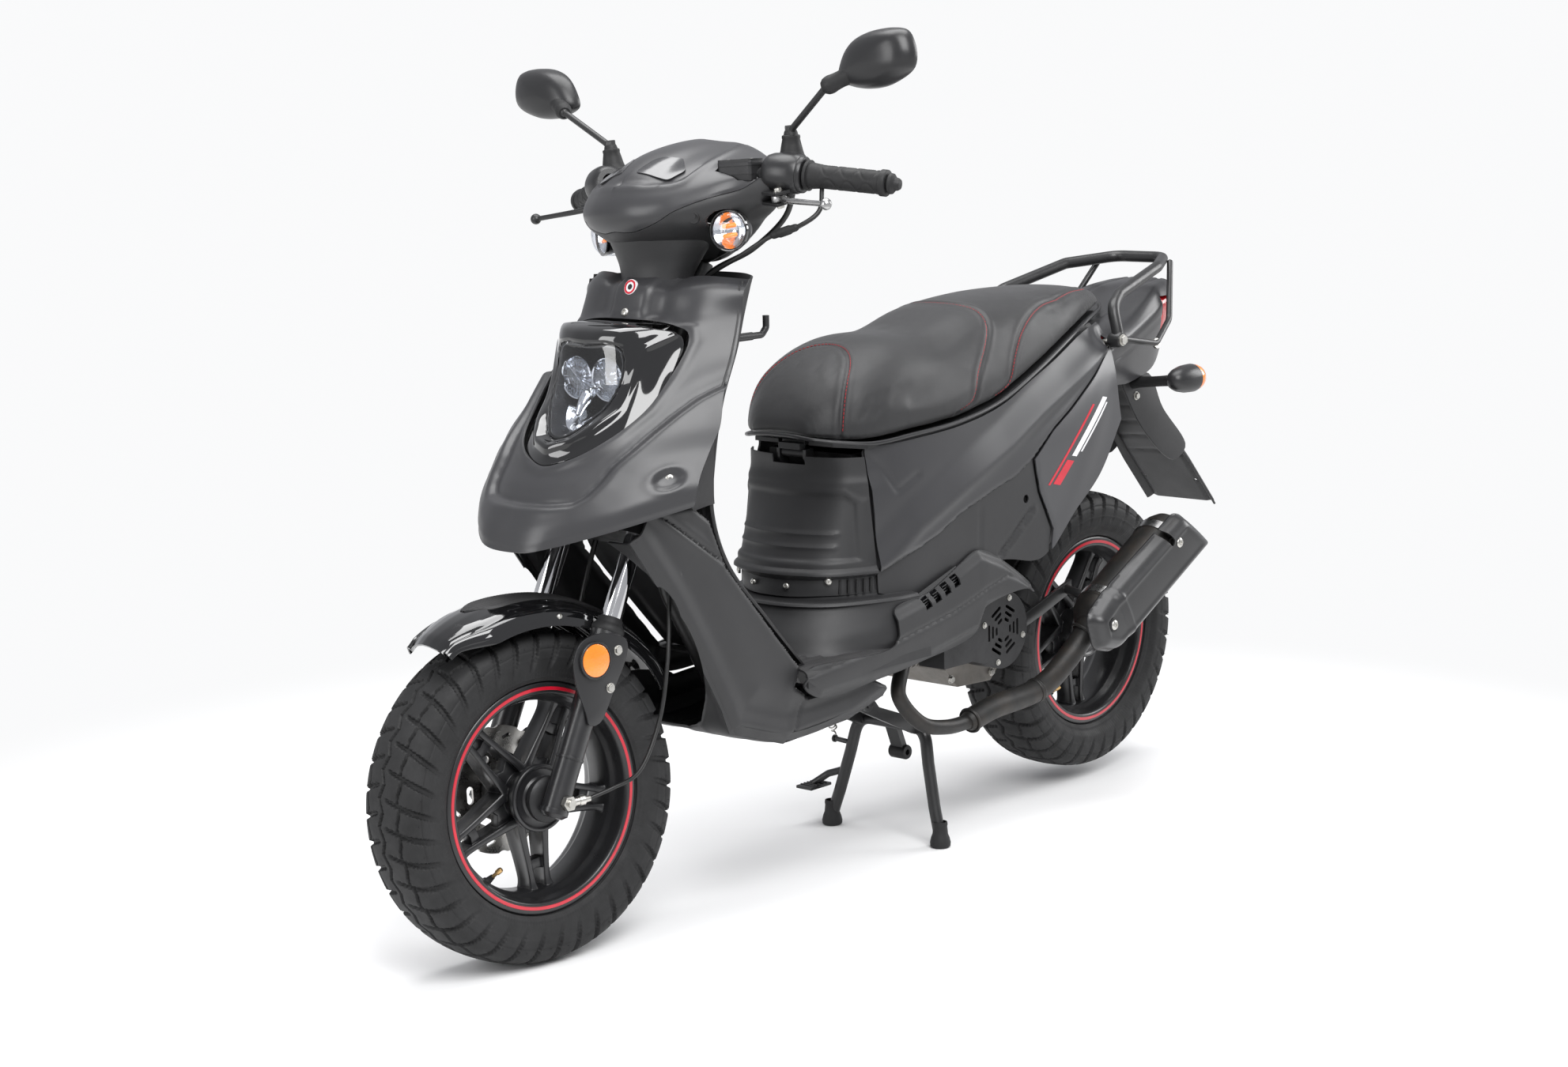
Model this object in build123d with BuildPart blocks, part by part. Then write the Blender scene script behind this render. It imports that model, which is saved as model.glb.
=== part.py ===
from build123d import *
import math
import os

os.makedirs("parts", exist_ok=True)

# Moped scooter.  Millimetres.  +X is forward, +Y the rider's left, +Z up.
# The origin is on the ground, on the centre plane, midway between the axles.
# The scooter stands on its centre stand, so the rear tyre is clear of the ground.

# ------------------------------------------------------------ driving dimensions
wheelbase = 1310.0
front_axle = Vector(wheelbase / 2, 0, 238.0)
rear_axle = Vector(-wheelbase / 2, 0, 265.0)
tyre_r_front, tyre_w_front = 240.0, 122.0
tyre_r_rear, tyre_w_rear = 243.0, 130.0
rim_r = 165.0            # outside of the rim flange, 12 inch rim
bead_r = 152.0           # bead seat
barrel_r = 138.0         # drop centre
axle_d = 12.0
fit = 0.05               # radial running clearance
rake = 26.0              # steering axis, from vertical
steer_rest = -7.5        # bars stand turned slightly to the rider's right
fork_half_track = 85.0   # legs left and right of the centre plane
fork_n = 38.0            # legs ahead of the steering axis
axle_n = 35.0            # axle ahead of the steering axis
stanchion_r = 15.0
lower_r = 19.0
fork_travel = 70.0
disc_r = 93.0
disc_y = -60.0
wall = 3.0               # moulded panel thickness
engine_pivot = Vector(-250, 0, 405)
crank_axis = Vector(-317, 0, 329)
stand_pivot = Vector(-25, 0, 252)
seat_pivot = Vector(58, 0, 660)
shock_top = Vector(-590, -100, 655)
shock_bottom = Vector(-672, -100, 345)

# ------------------------------------------------------------ steering frame
sr, cr = math.sin(math.radians(rake)), math.cos(math.radians(rake))
S0 = Vector(623.5, 0, 222.7)
A = Vector(-sr, 0, cr)            # up along the steering axis
N = Vector(cr, 0, sr)             # forward, square to it
steering_axis = Axis(S0, A)


def fork_point(s, n, y=0.0):
    return S0 + A * s + N * n + Vector(0, y, 0)


def fork_plane(s, n=0.0, y=0.0):
    return Plane(origin=fork_point(s, n, y), x_dir=N, z_dir=A)


def steered(part):
    """Turn a piece modelled straight ahead to the bars' resting angle."""
    return part.rotate(steering_axis, steer_rest)


# ------------------------------------------------------------ shape helpers
def tube(points, r, bend=20.0, r_in=0.0):
    """Round tube or rod along a polyline with bent corners."""
    with BuildPart() as t:
        with BuildLine() as path:
            if len(points) > 2:
                FilletPolyline(*points, radius=bend)
            else:
                Line(*points)
        with BuildSketch(Plane(origin=path.line @ 0, z_dir=path.line % 0)):
            Circle(r)
            if r_in:
                Circle(r_in, mode=Mode.SUBTRACT)
        sweep()
    return t.part


def rod(a, b, r, r_in=0.0):
    """Straight round bar, or a sleeve when r_in is given."""
    a, b = Vector(*a), Vector(*b)
    with BuildPart() as t:
        with BuildSketch(Plane(origin=a, z_dir=b - a)):
            Circle(r)
            if r_in:
                Circle(r_in, mode=Mode.SUBTRACT)
        extrude(amount=(b - a).length)
    return t.part


def cone(a, b, r0, r1):
    """Tapered round bar from a (radius r0) to b (radius r1)."""
    a, b = Vector(*a), Vector(*b)
    with BuildPart() as t:
        with BuildSketch(Plane(origin=a, z_dir=b - a)):
            Circle(r0)
        with BuildSketch(Plane(origin=b, z_dir=b - a)):
            Circle(r1)
        loft()
    return t.part


def side_plate(profile, y0, y1):
    """Closed side-view (X, Z) outline, extruded from y0 to y1."""
    with BuildPart() as t:
        with BuildSketch(Plane.XZ.offset(-y0)):
            Polygon(*profile, align=None)
        extrude(amount=-(y1 - y0))
    return t.part


def front_prism(half, x0, x1, shrink=0.0):
    """Symmetric front-view (Y, Z) outline given as its left half, extruded in X."""
    cz = sum(p[1] for p in half) / len(half)
    left = []
    for y, z in half:
        ry = max(y - shrink, 0.0) if y > 0 else 0.0
        rz = z - shrink if z > cz else z + shrink
        left.append((ry, rz))
    right = [(-y, z) for y, z in reversed(left) if y > 0.01]
    with BuildPart() as t:
        with BuildSketch(Plane.YZ.offset(x0)):
            Polygon(*(left + right), align=None)
        extrude(amount=x1 - x0)
    return t.part


def u_loft(sections, t_wall, ruled=False):
    """Thin shell lofted through level U-shaped slices.

    Each slice is (z, [(x, y), ...]) from the centre out to the left edge."""
    with BuildPart() as t:
        for z, half in sections:
            ye = half[-1][1]
            k = (ye - abs(t_wall)) / ye
            outer = [(x, -y) for x, y in reversed(half[1:])] + list(half)
            inner = [(x - t_wall, y * k) for x, y in outer]
            with BuildSketch(Plane.XY.offset(z)):
                with BuildLine():
                    Spline(*outer)
                    Line(outer[-1], inner[-1])
                    Spline(*reversed(inner))
                    Line(inner[0], outer[0])
                make_face()
        loft(ruled=ruled)
    return t.part


def x_loft(sections, ruled=False):
    """Solid lofted through closed (Y, Z) outlines standing at X stations."""
    with BuildPart() as t:
        for x, pts in sections:
            with BuildSketch(Plane.YZ.offset(x)):
                Polygon(*pts, align=None)
        loft(ruled=ruled)
    return t.part


def y_loft(sections, ruled=True):
    """Solid lofted through closed (X, Z) outlines standing at Y stations."""
    with BuildPart() as t:
        for y, pts in sections:
            with BuildSketch(Plane.XZ.offset(-y)):
                Polygon(*pts, align=None)
        loft(ruled=ruled)
    return t.part


def both_sides(points):
    """Left-hand points and the same points on the right."""
    return points, [(x, -y, z) for x, y, z in points]


# ============================================================ WHEELS
def wheel_rim(axle, half_hub_left, half_hub_right, bore):
    """Cast wheel: barrel with two flanges, hub, five twin-rib spokes."""
    radial = Plane(origin=axle, x_dir=(0, 1, 0), z_dir=(0, 0, -1))
    face = Plane(origin=axle, x_dir=(1, 0, 0), z_dir=(0, -1, 0))
    with BuildPart() as rim:
        with BuildSketch(radial):
            Polygon(
                (-51, 151), (-51, 162), (-48.5, rim_r), (-46, 164), (-45, 153.5),
                (-43, bead_r), (-31, 150.5), (-23, barrel_r + 4), (23, barrel_r + 4),
                (31, 150.5), (43, bead_r), (45, 153.5), (46, 164), (48.5, rim_r),
                (51, 162), (51, 151), (44, 146), (30, 143), (24, barrel_r - 1),
                (-24, barrel_r - 1), (-30, 143), (-44, 146), align=None)
        revolve(axis=Axis(axle, (0, 1, 0)))
        # hub
        with BuildSketch(face.offset(-half_hub_left)):
            Circle(33)
        extrude(amount=half_hub_left + half_hub_right)
        with BuildSketch(face.offset(-half_hub_left)):
            Circle(47)
        extrude(amount=9)
        # five spokes, each a pair of ribs closing towards the rim, with a web
        for ang in (-95, -23, 49, 121, 193):
            with BuildSketch(Plane(origin=axle - Vector(0, 20, 0), x_dir=Vector(
                    math.cos(math.radians(ang)), 0, math.sin(math.radians(ang))),
                    z_dir=(0, 1, 0))):
                for s in (1, -1):
                    Polygon((22, s * 13), (22, s * 27), (140, s * 17.5), (140, s * 7.5),
                            align=None)
                Polygon((96, 12), (118, 10), (118, -10), (96, -12), align=None)
            extrude(amount=36)
        # bearing bore
        with BuildSketch(face.offset(-half_hub_left)):
            Circle(bore)
        extrude(amount=half_hub_left + half_hub_right, mode=Mode.SUBTRACT)
    return rim.part


def wheel_tyre(axle, r, w):
    """Tubeless block-tread tyre with three drainage grooves round the crown."""
    h = w / 2
    radial = Plane(origin=axle, x_dir=(0, 1, 0), z_dir=(0, 0, -1))
    out = [(36, bead_r + 0.4), (44, bead_r + 1.6), (44.6, 165.6), (51, 167.5), (h - 3, 184),
           (h, 202), (h - 0.5, 216), (h - 7, r - 12), (h - 22, r - 4), (14, r - 0.3),
           (0, r)]
    inn = [(0, r - 13), (h - 26, r - 16), (h - 14, r - 26), (h - 9, 202), (h - 12, 186),
           (42, 172), (36, 164)]
    with BuildPart() as tyre:
        with BuildSketch(radial):
            left = out + inn
            right = [(-y, z) for y, z in reversed(left)]
            outer = out[:-1] + [(0, r)] + [(-y, z) for y, z in reversed(out[:-1])]
            inner = [(-y, z) for y, z in reversed(inn[1:])] + inn
            Polygon(*(outer + inner), align=None)
        revolve(axis=Axis(axle, (0, 1, 0)))
        for y in (-h + 26, 0, h - 26):
            with BuildSketch(Plane(origin=axle + Vector(0, y, 0), x_dir=(0, 1, 0),
                                   z_dir=(0, 0, -1))):
                Polygon((-2.5, r - 7.5), (2.5, r - 7.5), (3, r + 3), (-3, r + 3), align=None)
            revolve(axis=Axis(axle, (0, 1, 0)), mode=Mode.SUBTRACT)
    return tyre.part


with BuildPart() as front_rim:
    add(wheel_rim(front_axle, 46, 58, axle_d / 2 + fit))
front_rim.part = steered(front_rim.part)
front_rim.part.label = "front_rim"
export_step(front_rim.part, "parts/front_rim.step")

with BuildPart() as front_tyre:
    add(wheel_tyre(front_axle, tyre_r_front, tyre_w_front))
front_tyre.part = steered(front_tyre.part)
front_tyre.part.label = "front_tyre"
export_step(front_tyre.part, "parts/front_tyre.step")

with BuildPart() as rear_rim:
    add(wheel_rim(rear_axle, 46, 58, 8 + fit))
    # brake drum on the gear-case side
    with BuildSketch(Plane(origin=rear_axle - Vector(0, 58, 0), x_dir=(1, 0, 0),
                           z_dir=(0, -1, 0))):
        Circle(60)
        Circle(30, mode=Mode.SUBTRACT)
    extrude(amount=-22)
rear_rim.part.label = "rear_rim"
export_step(rear_rim.part, "parts/rear_rim.step")

with BuildPart() as rear_tyre:
    add(wheel_tyre(rear_axle, tyre_r_rear, tyre_w_rear))
rear_tyre.part.label = "rear_tyre"
export_step(rear_tyre.part, "parts/rear_tyre.step")

with BuildPart() as brake_disc:
    with BuildSketch(Plane(origin=front_axle + Vector(0, disc_y + 2, 0), x_dir=(1, 0, 0),
                           z_dir=(0, -1, 0))):
        Circle(disc_r)
        with PolarLocations(disc_r + 9, 12):
            Circle(12, mode=Mode.SUBTRACT)
        with PolarLocations(78, 12, start_angle=15):
            SlotOverall(16, 5, rotation=60, mode=Mode.SUBTRACT)
        with PolarLocations(50, 6):
            SlotOverall(26, 11, rotation=90, mode=Mode.SUBTRACT)
        Circle(16, mode=Mode.SUBTRACT)
    extrude(amount=4)
brake_disc.part = steered(brake_disc.part)
brake_disc.part.label = "brake_disc"
export_step(brake_disc.part, "parts/brake_disc.step")

# ============================================================ FORK
with BuildPart() as front_axle_shaft:
    with BuildSketch(Plane(origin=front_axle + Vector(0, 118, 0), x_dir=(1, 0, 0),
                           z_dir=(0, -1, 0))):
        Circle(axle_d / 2)
    extrude(amount=236)
    for y, side in ((104.2, 1), (-104.2, -1)):
        with BuildSketch(Plane(origin=front_axle + Vector(0, y, 0), x_dir=(1, 0, 0),
                               z_dir=(0, side, 0))):
            RegularPolygon(11, 6)
        extrude(amount=9)
front_axle_shaft.part = steered(front_axle_shaft.part)
front_axle_shaft.part.label = "front_axle"
export_step(front_axle_shaft.part, "parts/front_axle.step")

with BuildPart() as fork_lowers:
    for y in (fork_half_track, -fork_half_track):
        with BuildSketch(fork_plane(-20, fork_n, y)):
            Circle(lower_r)
        extrude(amount=256)
        with BuildSketch(fork_plane(225, fork_n, y)):
            Circle(23)
        extrude(amount=25)
    # caliper lug on the right leg, clear of the disc
    add(side_plate([tuple(v) for v in [
        (fork_point(36, 26).X, fork_point(36, 26).Z), (fork_point(36, -14).X, fork_point(36, -14).Z),
        (fork_point(82, -14).X, fork_point(82, -14).Z), (fork_point(82, 26).X, fork_point(82, 26).Z)]],
        -95, -86))
    for y in (fork_half_track, -fork_half_track):
        with BuildSketch(fork_plane(20, fork_n, y)):
            Circle(stanchion_r + fit)
        extrude(amount=240, mode=Mode.SUBTRACT)
    with BuildSketch(Plane(origin=front_axle + Vector(0, 120, 0), x_dir=(1, 0, 0),
                           z_dir=(0, -1, 0))):
        Circle(axle_d / 2 + fit)
    extrude(amount=240, mode=Mode.SUBTRACT)
fork_lowers.part = steered(fork_lowers.part)
fork_lowers.part.label = "fork_lowers"
export_step(fork_lowers.part, "parts/fork_lowers.step")

with BuildPart() as fork_stanchions:
    for y in (fork_half_track, -fork_half_track):
        with BuildSketch(fork_plane(100, fork_n, y)):
            Circle(stanchion_r)
            Circle(stanchion_r - 2.5, mode=Mode.SUBTRACT)
        extrude(amount=320)
fork_stanchions.part = steered(fork_stanchions.part)
fork_stanchions.part.label = "fork_stanchions"
export_step(fork_stanchions.part, "parts/fork_stanchions.step")

with BuildPart() as steering_stem:
    with BuildSketch(fork_plane(392)):
        for y in (fork_half_track, -fork_half_track):
            with Locations((fork_n, y)):
                Circle(23)
        Polygon((10, -88), (58, -80), (50, 0), (58, 80), (10, 88), (-22, 20), (-22, -20),
                align=None)
    extrude(amount=28)
    with BuildSketch(fork_plane(420)):
        Circle(12)
    extrude(amount=395)
    for y in (fork_half_track, -fork_half_track):
        with BuildSketch(fork_plane(392, fork_n, y)):
            Circle(stanchion_r)
        extrude(amount=28, mode=Mode.SUBTRACT)
steering_stem.part = steered(steering_stem.part)
steering_stem.part.label = "steering_stem"
export_step(steering_stem.part, "parts/steering_stem.step")

with BuildPart() as steering_bearings:
    for s in (440.5, 595.5):
        with BuildSketch(fork_plane(s)):
            Circle(20.9)
            Circle(12 + fit, mode=Mode.SUBTRACT)
        extrude(amount=14)
steering_bearings.part.label = "steering_bearings"
export_step(steering_bearings.part, "parts/steering_bearings.step")

# fender: a curved blade over the tyre, notched round both fork legs
with BuildPart() as front_fender:
    with BuildSketch(Plane(origin=front_axle, x_dir=(0, 1, 0), z_dir=(
            math.sin(math.radians(58)), 0, -math.cos(math.radians(58))))):
        Polygon((72, 247), (71, 262), (60, 271), (40, 278), (0, 283), (-40, 278), (-60, 271),
                (-71, 262), (-72, 247), (-69, 247), (-68, 260.5), (-58.5, 268.2),
                (-39, 275), (0, 280), (39, 275), (58.5, 268.2), (68, 260.5), (69, 247),
                align=None)
    revolve(axis=Axis(front_axle, (0, -1, 0)), revolution_arc=92)
    for y in (fork_half_track, -fork_half_track):
        with BuildSketch(fork_plane(180, fork_n, y)):
            Circle(24)
        extrude(amount=160, mode=Mode.SUBTRACT)
front_fender.part = steered(front_fender.part)
front_fender.part.label = "front_fender"
export_step(front_fender.part, "parts/front_fender.step")

caliper_c = front_axle + Vector(-78, 0, 40)
with BuildPart() as brake_caliper:
    with BuildSketch(Plane(origin=caliper_c + Vector(0, -42, 0), x_dir=Vector(0.47, 0, 0.883),
                           z_dir=(0, -1, 0))):
        RectangleRounded(64, 40, 8)
    extrude(amount=43)
    with BuildSketch(Plane(origin=front_axle + Vector(0, disc_y + 3.5, 0), x_dir=(1, 0, 0),
                           z_dir=(0, -1, 0))):
        Circle(disc_r + 2)
    extrude(amount=7, mode=Mode.SUBTRACT)
brake_caliper.part = steered(brake_caliper.part)
brake_caliper.part.label = "brake_caliper"
export_step(brake_caliper.part, "parts/brake_caliper.step")

with BuildPart() as side_reflectors:
    for side in (1, -1):
        c = fork_point(200, 66, side * 112)
        with BuildSketch(Plane(origin=c, z_dir=(0, side, 0))):
            Circle(27)
        extrude(amount=7)
        pts = [fork_point(212, 92), fork_point(236, 30), fork_point(180, 22),
               fork_point(128, 44), fork_point(150, 82)]
        add(side_plate([(p.X, p.Z) for p in pts], side * 109.6 - 1.2, side * 109.6 + 1.2))
        add(rod(fork_point(200, 66, side * 110), c, 8))
        add(rod(fork_point(170, 38, side * 104.3), fork_point(170, 38, side * 110), 6))
side_reflectors.part = steered(side_reflectors.part)
side_reflectors.part.label = "side_reflectors"
export_step(side_reflectors.part, "parts/side_reflectors.step")

# ============================================================ HANDLEBAR GROUP
grip_in = Vector(252, 240, 1085)
grip_out = Vector(204, 350, 1067)
bar_dir = (grip_out - grip_in).normalized()


def flip(v):
    return Vector(v.X, -v.Y, v.Z)


grip_in_r, grip_out_r, bar_dir_r = flip(grip_in), flip(grip_out), flip(bar_dir)
bar_path = [tuple(flip(grip_out + bar_dir * 4)), tuple(flip(grip_in - bar_dir * 48)),
            (266, -62, 990), (262, 0, 972), (266, 62, 990),
            tuple(grip_in - bar_dir * 48), tuple(grip_out + bar_dir * 4)]

with BuildPart() as handlebar:
    add(tube(bar_path, 11, 22))
    with BuildSketch(fork_plane(775)):
        Circle(19)
    extrude(amount=52)
    with BuildSketch(fork_plane(775)):
        Circle(12 + fit)
    extrude(amount=40.1, mode=Mode.SUBTRACT)
handlebar.part = steered(handlebar.part)
handlebar.part.label = "handlebar"
export_step(handlebar.part, "parts/handlebar.step")

for name in ("throttle_grip", "fixed_grip"):
    g0, d = (grip_in, bar_dir) if name == "throttle_grip" else (grip_in_r, bar_dir_r)
    with BuildPart() as grip:
        with BuildSketch(Plane(origin=g0 - d * 2, z_dir=d)):
            Circle(22)
        extrude(amount=5)
        with BuildSketch(Plane(origin=g0, z_dir=d)):
            Circle(16.5)
        extrude(amount=122)
        with BuildSketch(Plane(origin=g0 + d * 116, z_dir=d)):
            Circle(19)
        extrude(amount=6)
        with BuildSketch(Plane(origin=g0 - d * 4, z_dir=d)):
            Circle(11 + fit)
        extrude(amount=140, mode=Mode.SUBTRACT)
    grip.part = steered(grip.part)
    grip.part.label = name
    export_step(grip.part, "parts/" + name + ".step")

# lever pivots, and the axis each lever turns about
lever_pivot = Vector(288, 215, 1056)
lever_tip = Vector(309, 336, 1044)
lever_up = Vector(0.237, 0.256, 0.937).normalized()
lever_fwd = (lever_tip - lever_pivot).normalized()
lever_up = (lever_up - lever_fwd * lever_up.dot(lever_fwd)).normalized()


def lever_frame(side, along=0.0, up=0.0, fwd=0.0):
    """Point in the lever's own plane: along it, above it, ahead of it."""
    f = lever_up.cross(lever_fwd) * -1
    v = lever_pivot + lever_fwd * along + lever_up * up + f * fwd
    return v if side > 0 else flip(v)


def lever_normal(side):
    return lever_up if side > 0 else flip(lever_up)


for side, name in ((1, "brake_lever_left"), (-1, "brake_lever_right")):
    n = lever_normal(side)
    with BuildPart() as lever:
        add(rod(lever_frame(side, 0, -5), lever_frame(side, 0, 5), 11))
        add(tube([tuple(lever_frame(side, 5, 0, 1)), tuple(lever_frame(side, 34, 0, 6)),
                  tuple(lever_frame(side, 80, 0, 3)), tuple(lever_frame(side, 121))], 4.8, 15))
        with Locations(Location(lever_frame(side, 122))):
            Sphere(8)
        add(rod(lever_frame(side, 0, -20), lever_frame(side, 0, 20), 3 + fit),
            mode=Mode.SUBTRACT)
    lever.part = steered(lever.part)
    lever.part.label = name
    export_step(lever.part, "parts/" + name + ".step")


def lever_perch(side):
    """Clamp on the bar with a fork that carries the lever's pivot pin."""
    g0 = grip_in if side > 0 else grip_in_r
    d = bar_dir if side > 0 else bar_dir_r
    with BuildPart() as p:
        with BuildSketch(Plane(origin=g0 - d * 27, z_dir=d)):
            Circle(19)
        extrude(amount=22)
        for u in (-9.6, 5.6):
            with BuildSketch(Plane(origin=lever_frame(side, 0, u), x_dir=(
                    lever_fwd if side > 0 else flip(lever_fwd)), z_dir=lever_normal(side))):
                Polygon((12, -12 * side), (12, 12 * side), (-14, 14 * side), (-22, 34 * side),
                        (-44, 30 * side), (-30, -12 * side), align=None)
            extrude(amount=4)
        add(rod((250, 205 * side, 1096), (250, 205 * side, 1110.9), 10))
        add(rod(lever_frame(side, -8, 0, -19), g0 - d * 16, 8))
        add(rod(g0 - d * 46, g0 + d * 10, 11 + fit), mode=Mode.SUBTRACT)
        add(rod(lever_frame(side, 0, -5.6), lever_frame(side, 0, 5.6), 12), mode=Mode.SUBTRACT)
        add(rod(lever_frame(side, 0, -9.6), lever_frame(side, 0, 9.6), 3))
    return p.part


# left: hydraulic master cylinder with its square reservoir
with BuildPart() as lever_perches:
    add(lever_perch(1))
    add(rod(grip_in + Vector(34, -88, 8), grip_in + Vector(30, -30, -2), 11))
    with BuildSketch(Plane(origin=(300, 150, 1092), x_dir=(-0.25, 0.968, 0))):
        RectangleRounded(58, 36, 5)
    extrude(amount=22)
    add(lever_perch(-1))
    add(tube(bar_path, 11 + fit, 22), mode=Mode.SUBTRACT)
lever_perches.part = steered(lever_perches.part)
lever_perches.part.label = "lever_perches"
export_step(lever_perches.part, "parts/lever_perches.step")

# mirrors: stem on its rubber boot, head on a ball joint
mirror_ball = Vector(264, 302, 1206)
with BuildPart() as mirror_stems:
    for side in (1, -1):
        s = lambda x, y, z: (x, y * side, z)
        add(tube([s(250, 205, 1112), s(253, 210, 1148), s(264, 302, 1206)], 5, 14))
        add(rod(s(250, 205, 1115), s(253, 210, 1144), 13))
        add(rod(s(250, 205, 1112), s(250, 205, 1119), 16))
        with Locations(Location(Vector(264, 302 * side, 1206))):
            Sphere(8)
mirror_stems.part = steered(mirror_stems.part)
mirror_stems.part.label = "mirror_stems"
export_step(mirror_stems.part, "parts/mirror_stems.step")

head_outline = [(306, 1214), (330, 1203), (366, 1198), (404, 1203), (444, 1222), (449, 1244),
                (438, 1270), (420, 1277), (366, 1275), (333, 1262), (314, 1240)]
for side, name in ((1, "mirror_head_left"), (-1, "mirror_head_right")):
    with BuildPart() as head:
        for x, k in ((228, 1.0), (240, 1.0), (252, 0.92), (262, 0.6)):
            with BuildSketch(Plane.YZ.offset(x)):
                Polygon(*[(side * (378 + (y - 378) * k), 1238 + (z - 1238) * k)
                          for y, z in head_outline], align=None)
        loft(ruled=True)
        add(rod((264, side * 302, 1206), (246, side * 336, 1220), 11))
        with Locations(Location(Vector(264, 302 * side, 1206))):
            Sphere(12)
        with Locations(Location(Vector(264, 302 * side, 1206))):
            Sphere(8 + fit, mode=Mode.SUBTRACT)
        # way in for the stem, wide enough for the ball joint to tilt
        add(cone((264, side * 302, 1206), (261, side * 277, 1190), 6, 17), mode=Mode.SUBTRACT)
    head.part = steered(head.part)
    head.part.label = name
    export_step(head.part, "parts/" + name + ".step")

# bar covers: one lofted hull, hollow, split into a front and a rear half
cover_sections = {
    0: [(428, 1028), (411, 1084), (330, 1128), (235, 1147), (190, 1125), (200, 1040),
        (240, 965), (368, 982)],
    62: [(418, 1031), (398, 1080), (325, 1120), (232, 1138), (190, 1116), (202, 1045),
         (238, 985), (360, 998)],
    112: [(385, 1038), (370, 1076), (318, 1108), (240, 1122), (205, 1105), (210, 1055),
          (240, 1020), (350, 1018)],
    160: [(325, 1052), (318, 1086), (290, 1100), (250, 1105), (226, 1097), (224, 1068),
          (245, 1046), (300, 1040)],
    196: [(289, 1068), (287, 1087), (275, 1098), (256, 1101), (236, 1095), (233, 1076),
          (246, 1062), (275, 1059)],
}
stations = sorted(list(cover_sections) + [-y for y in cover_sections if y])
with BuildPart() as cover_hull:
    add(y_loft([(y, cover_sections[abs(y)]) for y in stations]))
    hollow = []
    for y in stations:
        pts = cover_sections[abs(y)]
        cx = sum(p[0] for p in pts) / 8
        cz = sum(p[1] for p in pts) / 8
        rr = sum(math.hypot(p[0] - cx, p[1] - cz) for p in pts) / 8
        k = (rr - wall) / rr
        hollow.append((y * 193 / 196, [(cx + (px - cx) * k, cz + (pz - cz) * k)
                                       for px, pz in pts]))
    add(y_loft(hollow), mode=Mode.SUBTRACT)
    # openings for the bar, the neck and the controls
    for side in (1, -1):
        g, d = (grip_in, bar_dir) if side > 0 else (grip_in_r, bar_dir_r)
        add(rod(g - d * 60, g + d * 20, 21), mode=Mode.SUBTRACT)
        add(rod((250, side * 205, 1085), (250, side * 205, 1140), 19), mode=Mode.SUBTRACT)
        with Locations((290, side * 196, 1070)):
            Box(110, 46, 90, mode=Mode.SUBTRACT)
        c = Vector(318, 143 * side, 1014)
        d = Vector(0.93, 0.36 * side, 0).normalized()
        add(rod(c - d * 36, c + d * 26, 31), mode=Mode.SUBTRACT)
        add(rod(c - d * 18, (268, 117 * side, 1012), 11), mode=Mode.SUBTRACT)
    add(rod(fork_point(760, 0), fork_point(840, 0), 44), mode=Mode.SUBTRACT)
    add(tube(bar_path, 13, 22), mode=Mode.SUBTRACT)
    add(rod(grip_in + Vector(34, -90, 8), grip_in + Vector(30, -20, -2), 13),
        mode=Mode.SUBTRACT)
    with BuildSketch(Plane(origin=(300, 150, 1086), x_dir=(-0.25, 0.968, 0))):
        RectangleRounded(61, 39, 5)
    extrude(amount=40, mode=Mode.SUBTRACT)

seam = Plane(origin=(300, 0, 1000), x_dir=(0, 1, 0), z_dir=(1, 0, -0.12))
with BuildPart() as bar_cover_front:
    add(cover_hull.part)
    split(bisect_by=seam.offset(0.15), keep=Keep.TOP)
bar_cover_front.part = steered(bar_cover_front.part)
bar_cover_front.part.label = "bar_cover_front"
export_step(bar_cover_front.part, "parts/bar_cover_front.step")

with BuildPart() as bar_cover_rear:
    add(cover_hull.part)
    split(bisect_by=seam.offset(-0.15), keep=Keep.BOTTOM)
    # dash window
    with BuildSketch(Plane(origin=(228, 0, 1112), x_dir=(0, 1, 0), z_dir=(-0.407, 0, 0.914))):
        RectangleRounded(103, 71, 15)
    extrude(amount=60, both=True, mode=Mode.SUBTRACT)
    # starter button and switch holes on the rear face
    add(rod((190, 126, 1078), (240, 126, 1078), 7), mode=Mode.SUBTRACT)
bar_cover_rear.part = steered(bar_cover_rear.part)
bar_cover_rear.part.label = "bar_cover_rear"
export_step(bar_cover_rear.part, "parts/bar_cover_rear.step")

with BuildPart() as instrument_panel:
    with BuildSketch(Plane(origin=(228, 0, 1112), x_dir=(0, 1, 0), z_dir=(-0.407, 0, 0.914))):
        RectangleRounded(100, 68, 14)
    extrude(amount=16)
    with BuildSketch(Plane(origin=(228, 0, 1112), x_dir=(0, 1, 0), z_dir=(-0.407, 0, 0.914))):
        RectangleRounded(78, 50, 12)
    extrude(amount=-30)
instrument_panel.part = steered(instrument_panel.part)
instrument_panel.part.label = "instrument_panel"
export_step(instrument_panel.part, "parts/instrument_panel.step")

with BuildPart() as starter_button:
    add(rod((204, 126, 1078), (222, 126, 1078), 6.9))
    add(rod((220, 126, 1078), (224, 126, 1078), 8.5))
starter_button.part = steered(starter_button.part)
starter_button.part.label = "starter_button"
export_step(starter_button.part, "parts/starter_button.step")

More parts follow.
